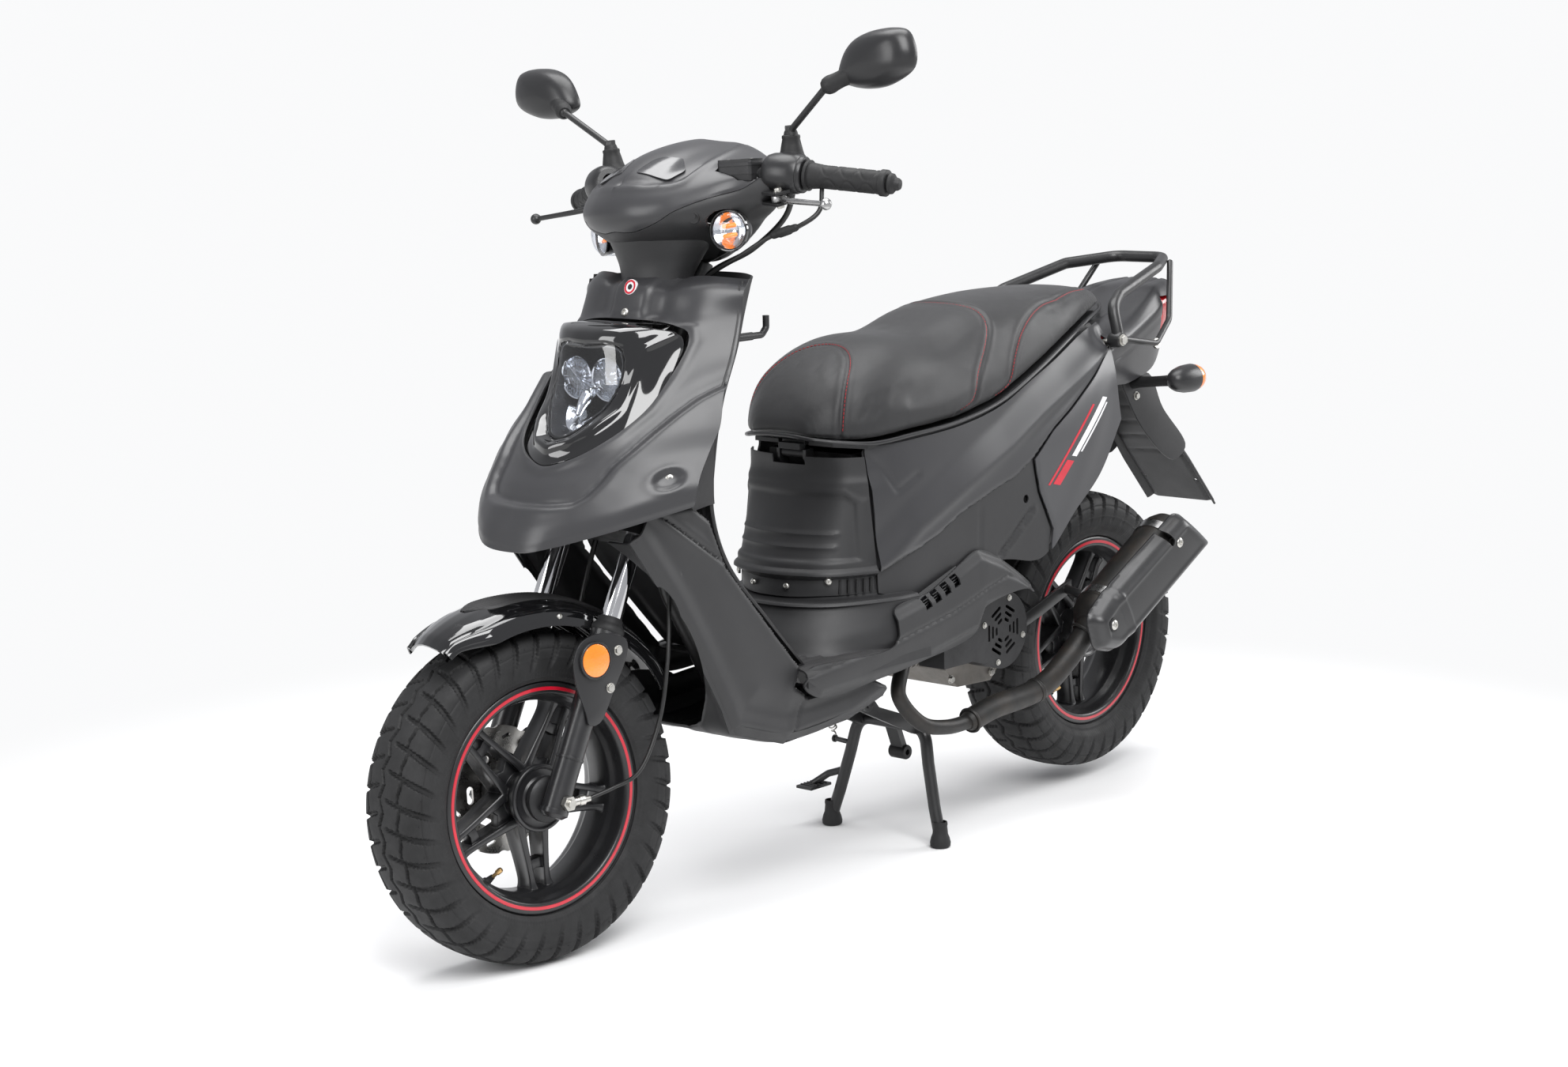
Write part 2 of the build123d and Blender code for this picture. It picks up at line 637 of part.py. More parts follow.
with BuildPart() as front_indicators:
    for side in (1, -1):
        c = Vector(318, 143 * side, 1014)
        d = Vector(0.93, 0.36 * side, 0).normalized()
        with BuildSketch(Plane(origin=c - d * 32, z_dir=d)):
            Circle(17)
        with BuildSketch(Plane(origin=c - d * 8, z_dir=d)):
            Circle(27)
        with BuildSketch(Plane(origin=c + d * 8, z_dir=d)):
            Circle(29)
        with BuildSketch(Plane(origin=c + d * 24, z_dir=d)):
            Circle(16)
        loft(ruled=True)
        add(rod(c - d * 18, (288, 126 * side, 1013), 9))
front_indicators.part = steered(front_indicators.part)
front_indicators.part.label = "front_indicators"
export_step(front_indicators.part, "parts/front_indicators.step")

# ============================================================ MAIN FRAME
with BuildPart() as main_frame:
    # head tube with its two bearing seats
    with BuildSketch(fork_plane(440)):
        Circle(26)
    extrude(amount=170)
    # down tube and floor cross tube
    add(tube([tuple(fork_point(505, 0)), (338, 0, 480), (246, 0, 322), (150, 0, 303)], 20, 60))
    add(rod((150, -80, 303), (150, 80, 303), 16))
    # floor rails sweeping up to the seat rails
    for side in (1, -1):
        s = lambda x, y, z: (x, y * side, z)
        add(tube([s(153, 78, 303), s(15, 78, 303), s(-62, 100, 470), s(-110, 112, 590),
                  s(-380, 112, 668), s(-700, 74, 778)], 12.5, 40))
    add(rod((-660, -82, 764), (-660, 82, 764), 10))
    add(rod((-396, -112, 672), (-396, 112, 672), 10))
    add(rod((-62, -100, 470), (-62, 100, 470), 10))
    # engine hanger plates
    for y in (66, -72):
        add(side_plate([(-120, 560), (-262, 400), (-250, 388), (-236, 398), (-60, 470),
                        (-80, 520)], y, y + 6))
    add(rod((-100, -104, 500), (-100, 104, 500), 9))
    # centre-stand lugs
    for y in (44, -52):
        add(side_plate([(-42, 242), (-8, 242), (20, 302), (-30, 302)], y, y + 8))
    add(rod((-5, -78, 303), (-5, 78, 303), 10))
    add(rod(stand_pivot + Vector(0, -74, 0), stand_pivot + Vector(0, 74, 0), 6))
    # shock bracket with its pin
    add(side_plate([(-560, 740), (-604, 642), (-576, 642), (-530, 740)], -84, -78))
    add(rod((-590, -80, 655), (-590, -118, 655), 5))
    # seat hinge ears with their pin
    for y in (24, -30):
        add(side_plate([(36, 604), (48, 604), (68, 652), (68, 666), (50, 668), (46, 650)],
                       y, y + 6))
    add(rod((40, -98, 606), (40, 98, 606), 8))
    for side in (1, -1):
        add(tube([(40, 97 * side, 606), (0, 106 * side, 606), (-105, 112 * side, 588)], 8, 15))
    add(rod(seat_pivot + Vector(0, -30, 0), seat_pivot + Vector(0, 30, 0), 4))
    # engine pivot bolt
    add(rod(engine_pivot + Vector(0, -72, 0), engine_pivot + Vector(0, 72, 0), 6))
    # hollow the head tube: bearing seats top and bottom
    with BuildSketch(fork_plane(430)):
        Circle(17)
    extrude(amount=190, mode=Mode.SUBTRACT)
    with BuildSketch(fork_plane(440)):
        Circle(21)
    extrude(amount=15, mode=Mode.SUBTRACT)
    with BuildSketch(fork_plane(595)):
        Circle(21)
    extrude(amount=16, mode=Mode.SUBTRACT)
main_frame.part.label = "main_frame"
export_step(main_frame.part, "parts/main_frame.step")

# ============================================================ FRONT BODYWORK
mask_outline = [(0, 896), (60, 892), (100, 886), (118, 881), (98, 838), (80, 780), (50, 725),
                (0, 702)]
lens_outline = [(0, 864), (40, 868), (62, 862), (65, 815), (58, 780), (42, 762), (25, 745),
                (0, 737)]
shield_sections = [
    (957, [(366, 0), (362, 60), (352, 110), (322, 152)]),
    (940, [(404, 0), (396, 60), (378, 110), (341, 158)]),
    (900, [(422, 0), (415, 60), (395, 115), (348, 158)]),
    (850, [(470, 0), (462, 60), (430, 115), (370, 166)]),
    (800, [(520, 0), (512, 60), (470, 118), (412, 182)]),
    (750, [(562, 0), (556, 60), (505, 128), (440, 198)]),
    (704, [(594, 0), (588, 60), (543, 135), (484, 205)]),
    (660, [(636, 0), (626, 60), (575, 135), (503, 205)]),
    (600, [(674, 0), (664, 60), (600, 132), (520, 196)]),
]
with BuildPart() as front_shield:
    add(u_loft(shield_sections, wall))
    add(front_prism(mask_outline, 380, 700), mode=Mode.SUBTRACT)
    add(side_plate([(720, 590), (650, 596), (560, 622), (501, 648), (430, 655), (430, 560),
                    (720, 560)], -230, 230), mode=Mode.SUBTRACT)
    add(side_plate([(300, 970), (337, 939), (337, 915), (300, 900)], -230, 230),
        mode=Mode.SUBTRACT)
front_shield.part.label = "front_shield"
export_step(front_shield.part, "parts/front_shield.step")

mask_sections = [
    (905, [(500, 0), (490, 50), (462, 88), (405, 130)]),
    (870, [(502, 0), (494, 50), (470, 88), (418, 130)]),
    (820, [(510, 0), (503, 50), (488, 88), (440, 130)]),
    (770, [(540, 0), (530, 50), (508, 85), (470, 130)]),
    (734, [(576, 0), (562, 50), (536, 85), (496, 130)]),
    (695, [(600, 0), (588, 50), (560, 85), (522, 130)]),
]
with BuildPart() as headlight_unit:
    add(u_loft(mask_sections, 5.0))
    add(front_prism(mask_outline, 380, 700, 1.0), mode=Mode.INTERSECT)
    # brow: the mask's top returns to the shield
    with BuildSketch(Plane.XY.offset(887)):
        Polygon((497, 0), (487, 46), (462, 80), (440, 92), (432, 60), (440, 0), (432, -60),
                (440, -92), (462, -80), (487, -46), align=None)
    extrude(amount=6)
    add(front_prism(lens_outline, 380, 700), mode=Mode.SUBTRACT)
    for y in (31, -31):
        with BuildSketch(Plane.YZ.offset(452)):
            with Locations((y, 817)):
                Circle(12)
        with BuildSketch(Plane.YZ.offset(490)):
            with Locations((y, 817)):
                Circle(29)
        loft(ruled=True)
    with Locations((448, 0, 817)):
        Box(10, 128, 84)
headlight_unit.part.label = "headlight_unit"
export_step(headlight_unit.part, "parts/headlight_unit.step")

with BuildPart() as headlight_lens:
    add(u_loft(mask_sections, 2.5))
    add(front_prism(lens_outline, 380, 700, 1.0), mode=Mode.INTERSECT)
headlight_lens.part.label = "headlight_lens"
export_step(headlight_lens.part, "parts/headlight_lens.step")

# space the steered wheel, fender and fork legs sweep through
with BuildPart() as steer_sweep:
    with BuildSketch(Plane(origin=S0, x_dir=N, z_dir=(0, -1, 0))):
        Polygon((0, -230), (228, -230), (228, 118), (212, 170), (178, 230), (142, 300),
                (138, 520), (0, 520), align=None)
    revolve(axis=steering_axis)

# rider-side leg shield: one tall moulding from the neck to the floor
leg_sections = [
    (948, [(216, 0), (228, 60), (275, 115), (334, 150)]),
    (900, [(232, 0), (246, 60), (295, 115), (343, 150)]),
    (850, [(252, 0), (264, 60), (312, 115), (362, 152)]),
    (780, [(288, 0), (300, 60), (345, 115), (394, 155)]),
    (700, [(322, 0), (332, 60), (368, 115), (410, 155)]),
    (620, [(338, 0), (346, 60), (372, 112), (400, 138)]),
    (537, [(318, 0), (324, 60), (344, 112), (366, 138)]),
    (450, [(250, 0), (256, 60), (270, 112), (288, 138)]),
    (369, [(186, 0), (190, 60), (198, 112), (208, 138)]),
]
with BuildPart() as leg_shield:
    add(u_loft(leg_sections, -wall))
    # hook slot
    add(rod((250, 96, 862), (330, 96, 862), 6 + fit), mode=Mode.SUBTRACT)
    # key barrel hole
    add(rod((200, -78, 878), (330, -78, 878), 14 + fit), mode=Mode.SUBTRACT)
leg_shield.part.label = "leg_shield"
export_step(leg_shield.part, "parts/leg_shield.step")

# lower fairing: cheeks behind the front wheel, running into the belly pan
cheek = [(565, 600), (487, 496), (437, 415), (388, 330), (372, 291), (256, 253), (103, 262),
         (20, 284), (20, 300), (60, 322), (201, 315), (236, 338), (222, 362), (278, 424),
         (380, 540), (412, 612), (450, 640), (520, 640)]
with BuildPart() as lower_fairing:
    add(side_plate(cheek, -146, 146))
    inner = [(555, 597), (480, 498), (431, 417), (383, 333), (368, 294), (256, 257),
             (104, 266), (10, 288), (10, 296), (62, 316), (203, 309), (242, 338), (230, 362),
             (284, 424), (386, 540), (418, 612), (452, 634), (520, 660)]
    add(side_plate(inner, -142, 142), mode=Mode.SUBTRACT)
    add(side_plate([(-10, 291), (62, 312), (203, 305), (246, 338), (234, 362), (290, 424),
                    (392, 540), (424, 612), (456, 700), (-10, 700)], -139, 139),
        mode=Mode.SUBTRACT)
    # bevel the belly's lower corners
    for s in (1, -1):
        with BuildSketch(Plane.YZ.offset(-50)):
            Polygon((s * 100, 240), (s * 160, 240), (s * 160, 292), (s * 150, 292), align=None)
        extrude(amount=420, mode=Mode.SUBTRACT)
    add(steer_sweep.part, mode=Mode.SUBTRACT)
    # stand pivot and lugs pass through the rear of the pan
    with Locations((-10, 0, 290)):
        Box(90, 170, 60, mode=Mode.SUBTRACT)
lower_fairing.part.label = "lower_fairing"
export_step(lower_fairing.part, "parts/lower_fairing.step")

# ============================================================ FLOOR AND REAR BODY
floor_top = 364.0
with BuildPart() as floor_panel:
    add(side_plate([(-340, floor_top), (212, floor_top), (212, floor_top - 4),
                    (-340, floor_top - 4)], -163, 163))
    # the pan ends short of the engine
    add(side_plate([(-360, floor_top - 10), (70, floor_top - 10), (70, floor_top + 5),
                    (-360, floor_top + 5)], -116, 116), mode=Mode.SUBTRACT)
    add(side_plate([(-360, floor_top - 10), (-70, floor_top - 10), (-70, floor_top + 5),
                    (-360, floor_top + 5)], -140, 140), mode=Mode.SUBTRACT)
    add(side_plate([(-340, floor_top), (222, floor_top), (222, floor_top - 4),
                    (-340, floor_top - 4)], 158, 166))
    add(side_plate([(-340, floor_top), (222, floor_top), (222, floor_top - 4),
                    (-340, floor_top - 4)], -166, -158))
    for y0, y1 in ((165.5, 169.5), (-169.5, -165.5)):
        add(side_plate([(222, 362), (236, 342), (201, 317), (52, 321), (-38, 329),
                        (-186, 355), (-207, 389), (-306, 406), (-345, 394), (-341, 402),
                        (-250, 464), (-195, 484), (-73, 416), (14, 402), (20, 366)],
                       y0, y1))
    # raised collar in front of the seat post panel
    add(u_loft([(floor_top, [(172, 0), (160, 70), (120, 125), (-20, 163)]),
                (408, [(160, 0), (150, 66), (108, 118), (-20, 156)]),
                (436, [(144, 0), (134, 62), (97, 110), (22, 138)])], wall, ruled=True))
    # four grill slots each side
    for x, z in ((-56, 434), (-80, 438), (-104, 443), (-128, 448)):
        with Locations((x, 0, z)):
            Box(14, 400, 26, mode=Mode.SUBTRACT)
floor_panel.part.label = "floor_panel"
export_step(floor_panel.part, "parts/floor_panel.step")

with BuildPart() as underseat_cover:
    add(u_loft([(657, [(77, 0), (72, 50), (58, 92), (30, 116)]),
                (620, [(78, 0), (72, 50), (58, 94), (28, 120)]),
                (540, [(106, 0), (98, 50), (74, 98), (26, 128)]),
                (474, [(130, 0), (120, 50), (92, 98), (24, 134)]),
                (446, [(134, 0), (124, 50), (88, 100), (24, 136)])], wall))
    # notch that clears the seat hinge as the seat tips up
    with Locations((70, 0, 652)):
        Box(60, 68, 24, mode=Mode.SUBTRACT)
underseat_cover.part.label = "underseat_cover"
export_step(underseat_cover.part, "parts/underseat_cover.step")

# side panels: (x, [(y, z) top, middle, bottom])
side_stations = [
    (20, [(118, 670), (131, 560), (142, 446)]),
    (-60, [(137, 676), (152, 560), (157, 426)]),
    (-175, [(146, 686), (160, 590), (159, 476)]),
    (-280, [(144, 705), (161, 600), (159, 462)]),
    (-370, [(138, 737), (160, 620), (164, 452)]),
    (-450, [(130, 765), (157, 660), (165, 512)]),
    (-530, [(119, 796), (150, 710), (162, 568)]),
    (-598, [(100, 812), (135, 760), (154, 655)]),
]


def side_panel(side):
    with BuildPart() as t:
        for x, ((y0, z0), (y1, z1), (y2, z2)) in side_stations:
            with BuildSketch(Plane.YZ.offset(x)):
                Polygon(*[(side * y, z) for y, z in (
                    (y0, z0), (y1, z1), (y2, z2), (y2 - wall, z2), (y1 - wall, z1),
                    (y0 - wall, z0))], align=None)
        loft(ruled=True)
    return t.part


with BuildPart() as side_panels:
    add(side_panel(1))
    add(side_panel(-1))
    # holes for the rack feet
    add(rod((-600, -180, 778), (-600, 180, 778), 13), mode=Mode.SUBTRACT)
side_panels.part.label = "side_panels"
export_step(side_panels.part, "parts/side_panels.step")

# tail cover
with BuildPart() as tail_cover:
    add(x_loft([
        (-602, [(-92, 798), (92, 798), (132, 762), (120, 700), (-120, 700), (-132, 762)]),
        (-700, [(-90, 812), (90, 812), (116, 795), (104, 700), (-104, 700), (-116, 795)]),
        (-800, [(-78, 846), (78, 846), (96, 820), (80, 715), (-80, 715), (-96, 820)]),
        (-898, [(-50, 864), (50, 864), (62, 848), (46, 800), (-46, 800), (-62, 848)])],
        ruled=True))
    add(x_loft([
        (-601, [(-89, 794), (89, 794), (128, 760), (116, 690), (-116, 690), (-128, 760)]),
        (-700, [(-87, 808), (87, 808), (112, 792), (100, 690), (-100, 690), (-112, 792)]),
        (-800, [(-74, 842), (74, 842), (92, 818), (76, 690), (-76, 690), (-92, 818)]),
        (-894, [(-46, 860), (46, 860), (58, 846), (42, 780), (-42, 780), (-58, 846)])],
        ruled=True), mode=Mode.SUBTRACT)
    # window for the tail light
    add(side_plate([(-930, 838), (-816, 838), (-816, 752), (-930, 752)], -200, 200),
        mode=Mode.SUBTRACT)
    # rack feet pass through the sides
    for s in (1, -1):
        add(rod((-600, 80 * s, 778), (-600, 160 * s, 778), 13), mode=Mode.SUBTRACT)
tail_cover.part.label = "tail_cover"
export_step(tail_cover.part, "parts/tail_cover.step")

with BuildPart() as tail_light:
    add(x_loft([
        (-818, [(-66, 836), (66, 836), (86, 816), (72, 754), (-72, 754), (-86, 816)]),
        (-862, [(-58, 836), (58, 836), (72, 822), (56, 772), (-56, 772), (-72, 822)]),
        (-892, [(-48, 836), (48, 836), (58, 828), (44, 800), (-44, 800), (-58, 828)])],
        ruled=True))
tail_light.part.label = "tail_light"
export_step(tail_light.part, "parts/tail_light.step")

# rear mudguard: under-tail tray, hanging guard and plate holder
plate_n = Vector(-0.7295, 0, 0.684)          # outward normal of the plate holder
plate_holes = [(-883.0, 596.2), (-978.8, 494.1)]
with BuildPart() as rear_mudguard:
    add(side_plate([(-640, 694), (-800, 706), (-842, 640), (-1022, 448), (-1017.6, 443.9),
                    (-837.6, 635.9), (-797, 699), (-640, 688)], -76, 76))
    # side webs
    for y0, y1 in ((72, 76), (-76, -72)):
        add(side_plate([(-720, 700), (-800, 706), (-842, 640), (-916, 561), (-880, 540),
                        (-790, 600), (-740, 660)], y0, y1))
    # number-plate bolt holes, 4 off
    for y in (-55, 55):
        for x, z in plate_holes:
            c = Vector(x, y, z)
            add(rod(c + plate_n * 12, c - plate_n * 20, 3.2), mode=Mode.SUBTRACT)
rear_mudguard.part.label = "rear_mudguard"
export_step(rear_mudguard.part, "parts/rear_mudguard.step")

with BuildPart() as rear_indicators:
    for side in (1, -1):
        add(rod((-752, 80 * side, 694), (-742, 165 * side, 702), 9))
        for i, (x, r) in enumerate(((-702, 12), (-718, 20), (-752, 24), (-786, 22))):
            with BuildSketch(Plane(origin=(x, 186 * side, 706), z_dir=(-1, 0, 0))):
                Circle(r)
        loft(ruled=True)
rear_indicators.part.label = "rear_indicators"
export_step(rear_indicators.part, "parts/rear_indicators.step")

# grab rail: bent tube hoop over the tail with two lower stays
with BuildPart() as grab_rail:
    hoop = [(-600, 150, 784), (-604, 134, 838), (-640, 122, 857), (-790, 98, 892),
            (-880, 50, 901)]
    right = [(x, -y, z) for x, y, z in reversed(hoop)]
    add(tube(hoop + right, 10, 14))
    for side in (1, -1):
        s = lambda x, y, z: (x, y * side, z)
        add(tube([s(-600, 146, 786), s(-728, 138, 766), s(-806, 112, 800), s(-862, 76, 894)],
                 5, 18))
        add(rod((-600, 136 * side, 784), (-600, 156 * side, 784), 13))
        add(rod((-600, 100 * side, 772), (-600, 142 * side, 784), 7))
grab_rail.part.label = "grab_rail"
export_step(grab_rail.part, "parts/grab_rail.step")

# storage bucket and tank under the seat
with BuildPart() as storage_bucket:
    add(side_plate([(24, 640), (18, 480), (-40, 496), (-150, 616), (-200, 640), (-372, 655),
                    (-372, 668), (24, 658)], -84, 84))
    add(side_plate([(21, 680), (15, 484), (-38, 500), (-148, 620), (-199, 644), (-369, 659),
                    (-369, 680)], -81, 81), mode=Mode.SUBTRACT)
storage_bucket.part.label = "storage_bucket"
export_step(storage_bucket.part, "parts/storage_bucket.step")

with BuildPart() as fuel_tank:
    with BuildSketch(Plane.XY.offset(640)):
        with Locations((-500, 0)):
            RectangleRounded(190, 150, 24)
    extrude(amount=92)
    with BuildSketch(Plane.XY.offset(732)):
        with Locations((-480, 0)):
            Circle(30)
    extrude(amount=12)
    with BuildSketch(Plane.XY.offset(744)):
        with Locations((-480, 0)):
            Circle(26)
    extrude(amount=14)
    add(rod((-396, -120, 672), (-396, 120, 672), 11), mode=Mode.SUBTRACT)
fuel_tank.part.label = "fuel_tank"
export_step(fuel_tank.part, "parts/fuel_tank.step")

# ============================================================ SEAT
# (x, half width at the base, base z, crown z)
seat_stations = [
    (97, 52, 684, 716), (62, 92, 680, 764), (20, 127, 675, 800), (-60, 143, 681, 829),
    (-170, 149, 690, 831), (-280, 146, 710, 861), (-400, 136, 752, 875),
    (-515, 118, 795, 877), (-590, 96, 815, 876), (-668, 62, 824, 866), (-706, 34, 828, 846),
]
with BuildPart() as seat_cushion:
    for x, w, zb, zt in seat_stations:
        h = zt - zb
        with BuildSketch(Plane.YZ.offset(x)):
            Polygon((-w, zb), (w, zb), (w + 3, zb + 0.35 * h), (w - 8, zb + 0.72 * h),
                    (0.62 * w, zb + 0.93 * h), (0.25 * w, zt), (-0.25 * w, zt),
                    (-0.62 * w, zb + 0.93 * h), (-w + 8, zb + 0.72 * h),
                    (-w - 3, zb + 0.35 * h), align=None)
    loft(ruled=True)
seat_cushion.part.label = "seat_cushion"
export_step(seat_cushion.part, "parts/seat_cushion.step")

with BuildPart() as seat_base:
    for x, w, zb, zt in seat_stations[1:-1]:
        with BuildSketch(Plane.YZ.offset(x)):
            Polygon((-w + 12, zb - 7), (w - 12, zb - 7), (w - 12, zb - 0.6),
                    (-w + 12, zb - 0.6), align=None)
    loft(ruled=True)
    # hinge knuckle
    add(rod(seat_pivot + Vector(0, -22, 0), seat_pivot + Vector(0, 22, 0), 8))
    with Locations((66, 0, 671)):
        Box(14, 44, 10)
    add(rod(seat_pivot + Vector(0, -40, 0), seat_pivot + Vector(0, 40, 0), 4 + fit),
        mode=Mode.SUBTRACT)
    for y in (27, -27):
        with Locations((68, y, 668)):
            Box(34, 8, 30, mode=Mode.SUBTRACT)
seat_base.part.label = "seat_base"
export_step(seat_base.part, "parts/seat_base.step")

# ============================================================ ENGINE UNIT
with BuildPart() as engine_case:
    # crankcase
    with BuildSketch(Plane(origin=(0, 62, 0), x_dir=(1, 0, 0), z_dir=(0, -1, 0))):
        Polygon((-232, 268), (-262, 236), (-350, 232), (-392, 270), (-398, 350), (-362, 392),
                (-262, 392), (-232, 372), align=None)
    extrude(amount=134)
    # cylinder with cooling fins, and head, pointing forward
    with BuildSketch(Plane.YZ.offset(-236)):
        with Locations((0, 334)):
            RectangleRounded(92, 84, 12)
    extrude(amount=118)
    for i in range(7):
        with BuildSketch(Plane.YZ.offset(-216 + i * 12)):
            with Locations((0, 334)):
                RectangleRounded(112, 102, 14)
        extrude(amount=4)
    with BuildSketch(Plane.YZ.offset(-124)):
        with Locations((0, 334)):
            RectangleRounded(98, 92, 10)
    extrude(amount=34)
    # transmission arm back to the rear axle
    with BuildSketch(Plane(origin=(0, -72, 0), x_dir=(1, 0, 0), z_dir=(0, -1, 0))):
        Polygon((-250, 392), (-236, 300), (-262, 236), (-350, 226), (-520, 218), (-640, 200),
                (-700, 218), (-724, 262), (-712, 318), (-640, 372), (-440, 396), align=None)
    extrude(amount=16)
    # hanger boss on the pivot bolt
    with BuildSketch(Plane(origin=(0, 58, 0), x_dir=(1, 0, 0), z_dir=(0, -1, 0))):
        with Locations((engine_pivot.X, engine_pivot.Z)):
            Circle(16)
        Polygon((-270, 392), (-232, 392), (-236, 408), (-264, 408), align=None)
    extrude(amount=116)
    # shock lug
    with BuildSketch(Plane(origin=(0, -88, 0), x_dir=(1, 0, 0), z_dir=(0, -1, 0))):
        with Locations((shock_bottom.X, shock_bottom.Z)):
            Circle(4.5)
    extrude(amount=24)
    with BuildSketch(Plane(origin=(0, -72, 0), x_dir=(1, 0, 0), z_dir=(0, -1, 0))):
        with Locations((shock_bottom.X, shock_bottom.Z)):
            Circle(13)
    extrude(amount=16)
    # rear axle shaft, fixed gear-case boss
    add(rod((rear_axle.X, -72, rear_axle.Z), (rear_axle.X, -60, rear_axle.Z), 26))
    add(rod((rear_axle.X, -72, rear_axle.Z), (rear_axle.X, 62, rear_axle.Z), 8))
    # bores
    add(rod(engine_pivot + Vector(0, -80, 0), engine_pivot + Vector(0, 80, 0), 6 + fit),
        mode=Mode.SUBTRACT)
    add(rod(crank_axis + Vector(0, -60, 0), crank_axis + Vector(0, 90, 0), 10 + fit),
        mode=Mode.SUBTRACT)
engine_case.part.label = "engine_case"
export_step(engine_case.part, "parts/engine_case.step")

with BuildPart() as cooling_fan:
    add(rod(crank_axis + Vector(0, -58, 0), crank_axis + Vector(0, 98, 0), 10))
    add(rod(crank_axis + Vector(0, 72, 0), crank_axis + Vector(0, 77, 0), 54))
    add(rod(crank_axis + Vector(0, 77, 0), crank_axis + Vector(0, 92, 0), 20))
    with BuildSketch(Plane(origin=crank_axis + Vector(0, 77, 0), x_dir=(1, 0, 0),
                           z_dir=(0, 1, 0))):
        with PolarLocations(39, 14):
            Rectangle(32, 2.6, rotation=28)
    extrude(amount=18)
cooling_fan.part.label = "cooling_fan"
export_step(cooling_fan.part, "parts/cooling_fan.step")

with BuildPart() as fan_shroud:
    with BuildSketch(Plane(origin=(0, 64, 0), x_dir=(1, 0, 0), z_dir=(0, 1, 0))):
        with Locations((crank_axis.X, -crank_axis.Z)):
            Circle(64)
        Polygon((-317, -266), (-236, -290), (-160, -290), (-160, -376), (-236, -383),
                (-317, -393), align=None)
    extrude(amount=52)
    # hollow, open inwards
    with BuildSketch(Plane(origin=(0, 63, 0), x_dir=(1, 0, 0), z_dir=(0, 1, 0))):
        with Locations((crank_axis.X, -crank_axis.Z)):
            Circle(60)
        Polygon((-317, -270), (-236, -294), (-164, -294), (-164, -372), (-236, -379),
                (-317, -389), align=None)
    extrude(amount=49, mode=Mode.SUBTRACT)
    # intake ring with grille slots
    with BuildSketch(Plane(origin=(0, 112, 0), x_dir=(1, 0, 0), z_dir=(0, 1, 0))):
        with Locations((crank_axis.X, -crank_axis.Z)):
            for r in (18, 28, 38):
                with PolarLocations(r, 6):
                    SlotOverall(0.74 * r, 5.5, rotation=90)
    extrude(amount=6, mode=Mode.SUBTRACT)
fan_shroud.part.label = "fan_shroud"
export_step(fan_shroud.part, "parts/fan_shroud.step")

with BuildPart() as cvt_cover:
    outline = [(-252, 386), (-242, 300), (-266, 242), (-350, 232), (-520, 224), (-600, 214),
               (-655, 226), (-668, 290), (-628, 350), (-440, 388)]
    with BuildSketch(Plane(origin=(0, -88.2, 0), x_dir=(1, 0, 0), z_dir=(0, -1, 0))):
        Polygon(*outline, align=None)
    extrude(amount=46, taper=4)
    with BuildSketch(Plane(origin=(0, -88.1, 0), x_dir=(1, 0, 0), z_dir=(0, -1, 0))):
        Polygon(*[(-455 + (x + 455) * 0.96, 305 + (z - 305) * 0.93) for x, z in outline],
                align=None)
    extrude(amount=41, taper=4, mode=Mode.SUBTRACT)
    # kick-start shaft boss
    add(rod((-330, -130, 262), (-330, -140, 262), 17))
    add(rod((-330, -95, 262), (-330, -160, 262), 7 + fit), mode=Mode.SUBTRACT)
cvt_cover.part.label = "cvt_cover"
export_step(cvt_cover.part, "parts/cvt_cover.step")

with BuildPart() as kick_starter:
    add(rod((-330, -100, 262), (-330, -158, 262), 7))
    add(rod((-330, -142, 262), (-330, -158, 262), 14))
    add(tube([(-330, -150, 262), (-400, -152, 258), (-470, -156, 262), (-500, -158, 276)], 7,
             20))
    add(rod((-500, -150, 278), (-500, -196, 278), 9))
kick_starter.part.label = "kick_starter"
export_step(kick_starter.part, "parts/kick_starter.step")

with BuildPart() as air_box:
    with BuildSketch(Plane(origin=(0, -76, 0), x_dir=(1, 0, 0), z_dir=(0, -1, 0))):
        Polygon((-420, 404), (-560, 394), (-600, 420), (-590, 466), (-540, 486), (-440, 480),
                (-414, 452), align=None)
    extrude(amount=52)
    # intake hose and carburettor over the cylinder
    add(tube([(-424, -98, 446), (-380, -92, 450), (-330, -40, 448), (-290, 0, 446)], 15, 22))
    add(rod((-300, 0, 446), (-214, 0, 443), 20))
    add(rod((-252, 0, 430), (-252, 0, 482), 16))
    add(tube([(-216, 0, 443), (-176, 0, 432), (-162, 0, 396)], 13, 14))
    add(rod((-500, -80, 389.5), (-500, -80, 404), 6))
air_box.part.label = "air_box"
export_step(air_box.part, "parts/air_box.step")

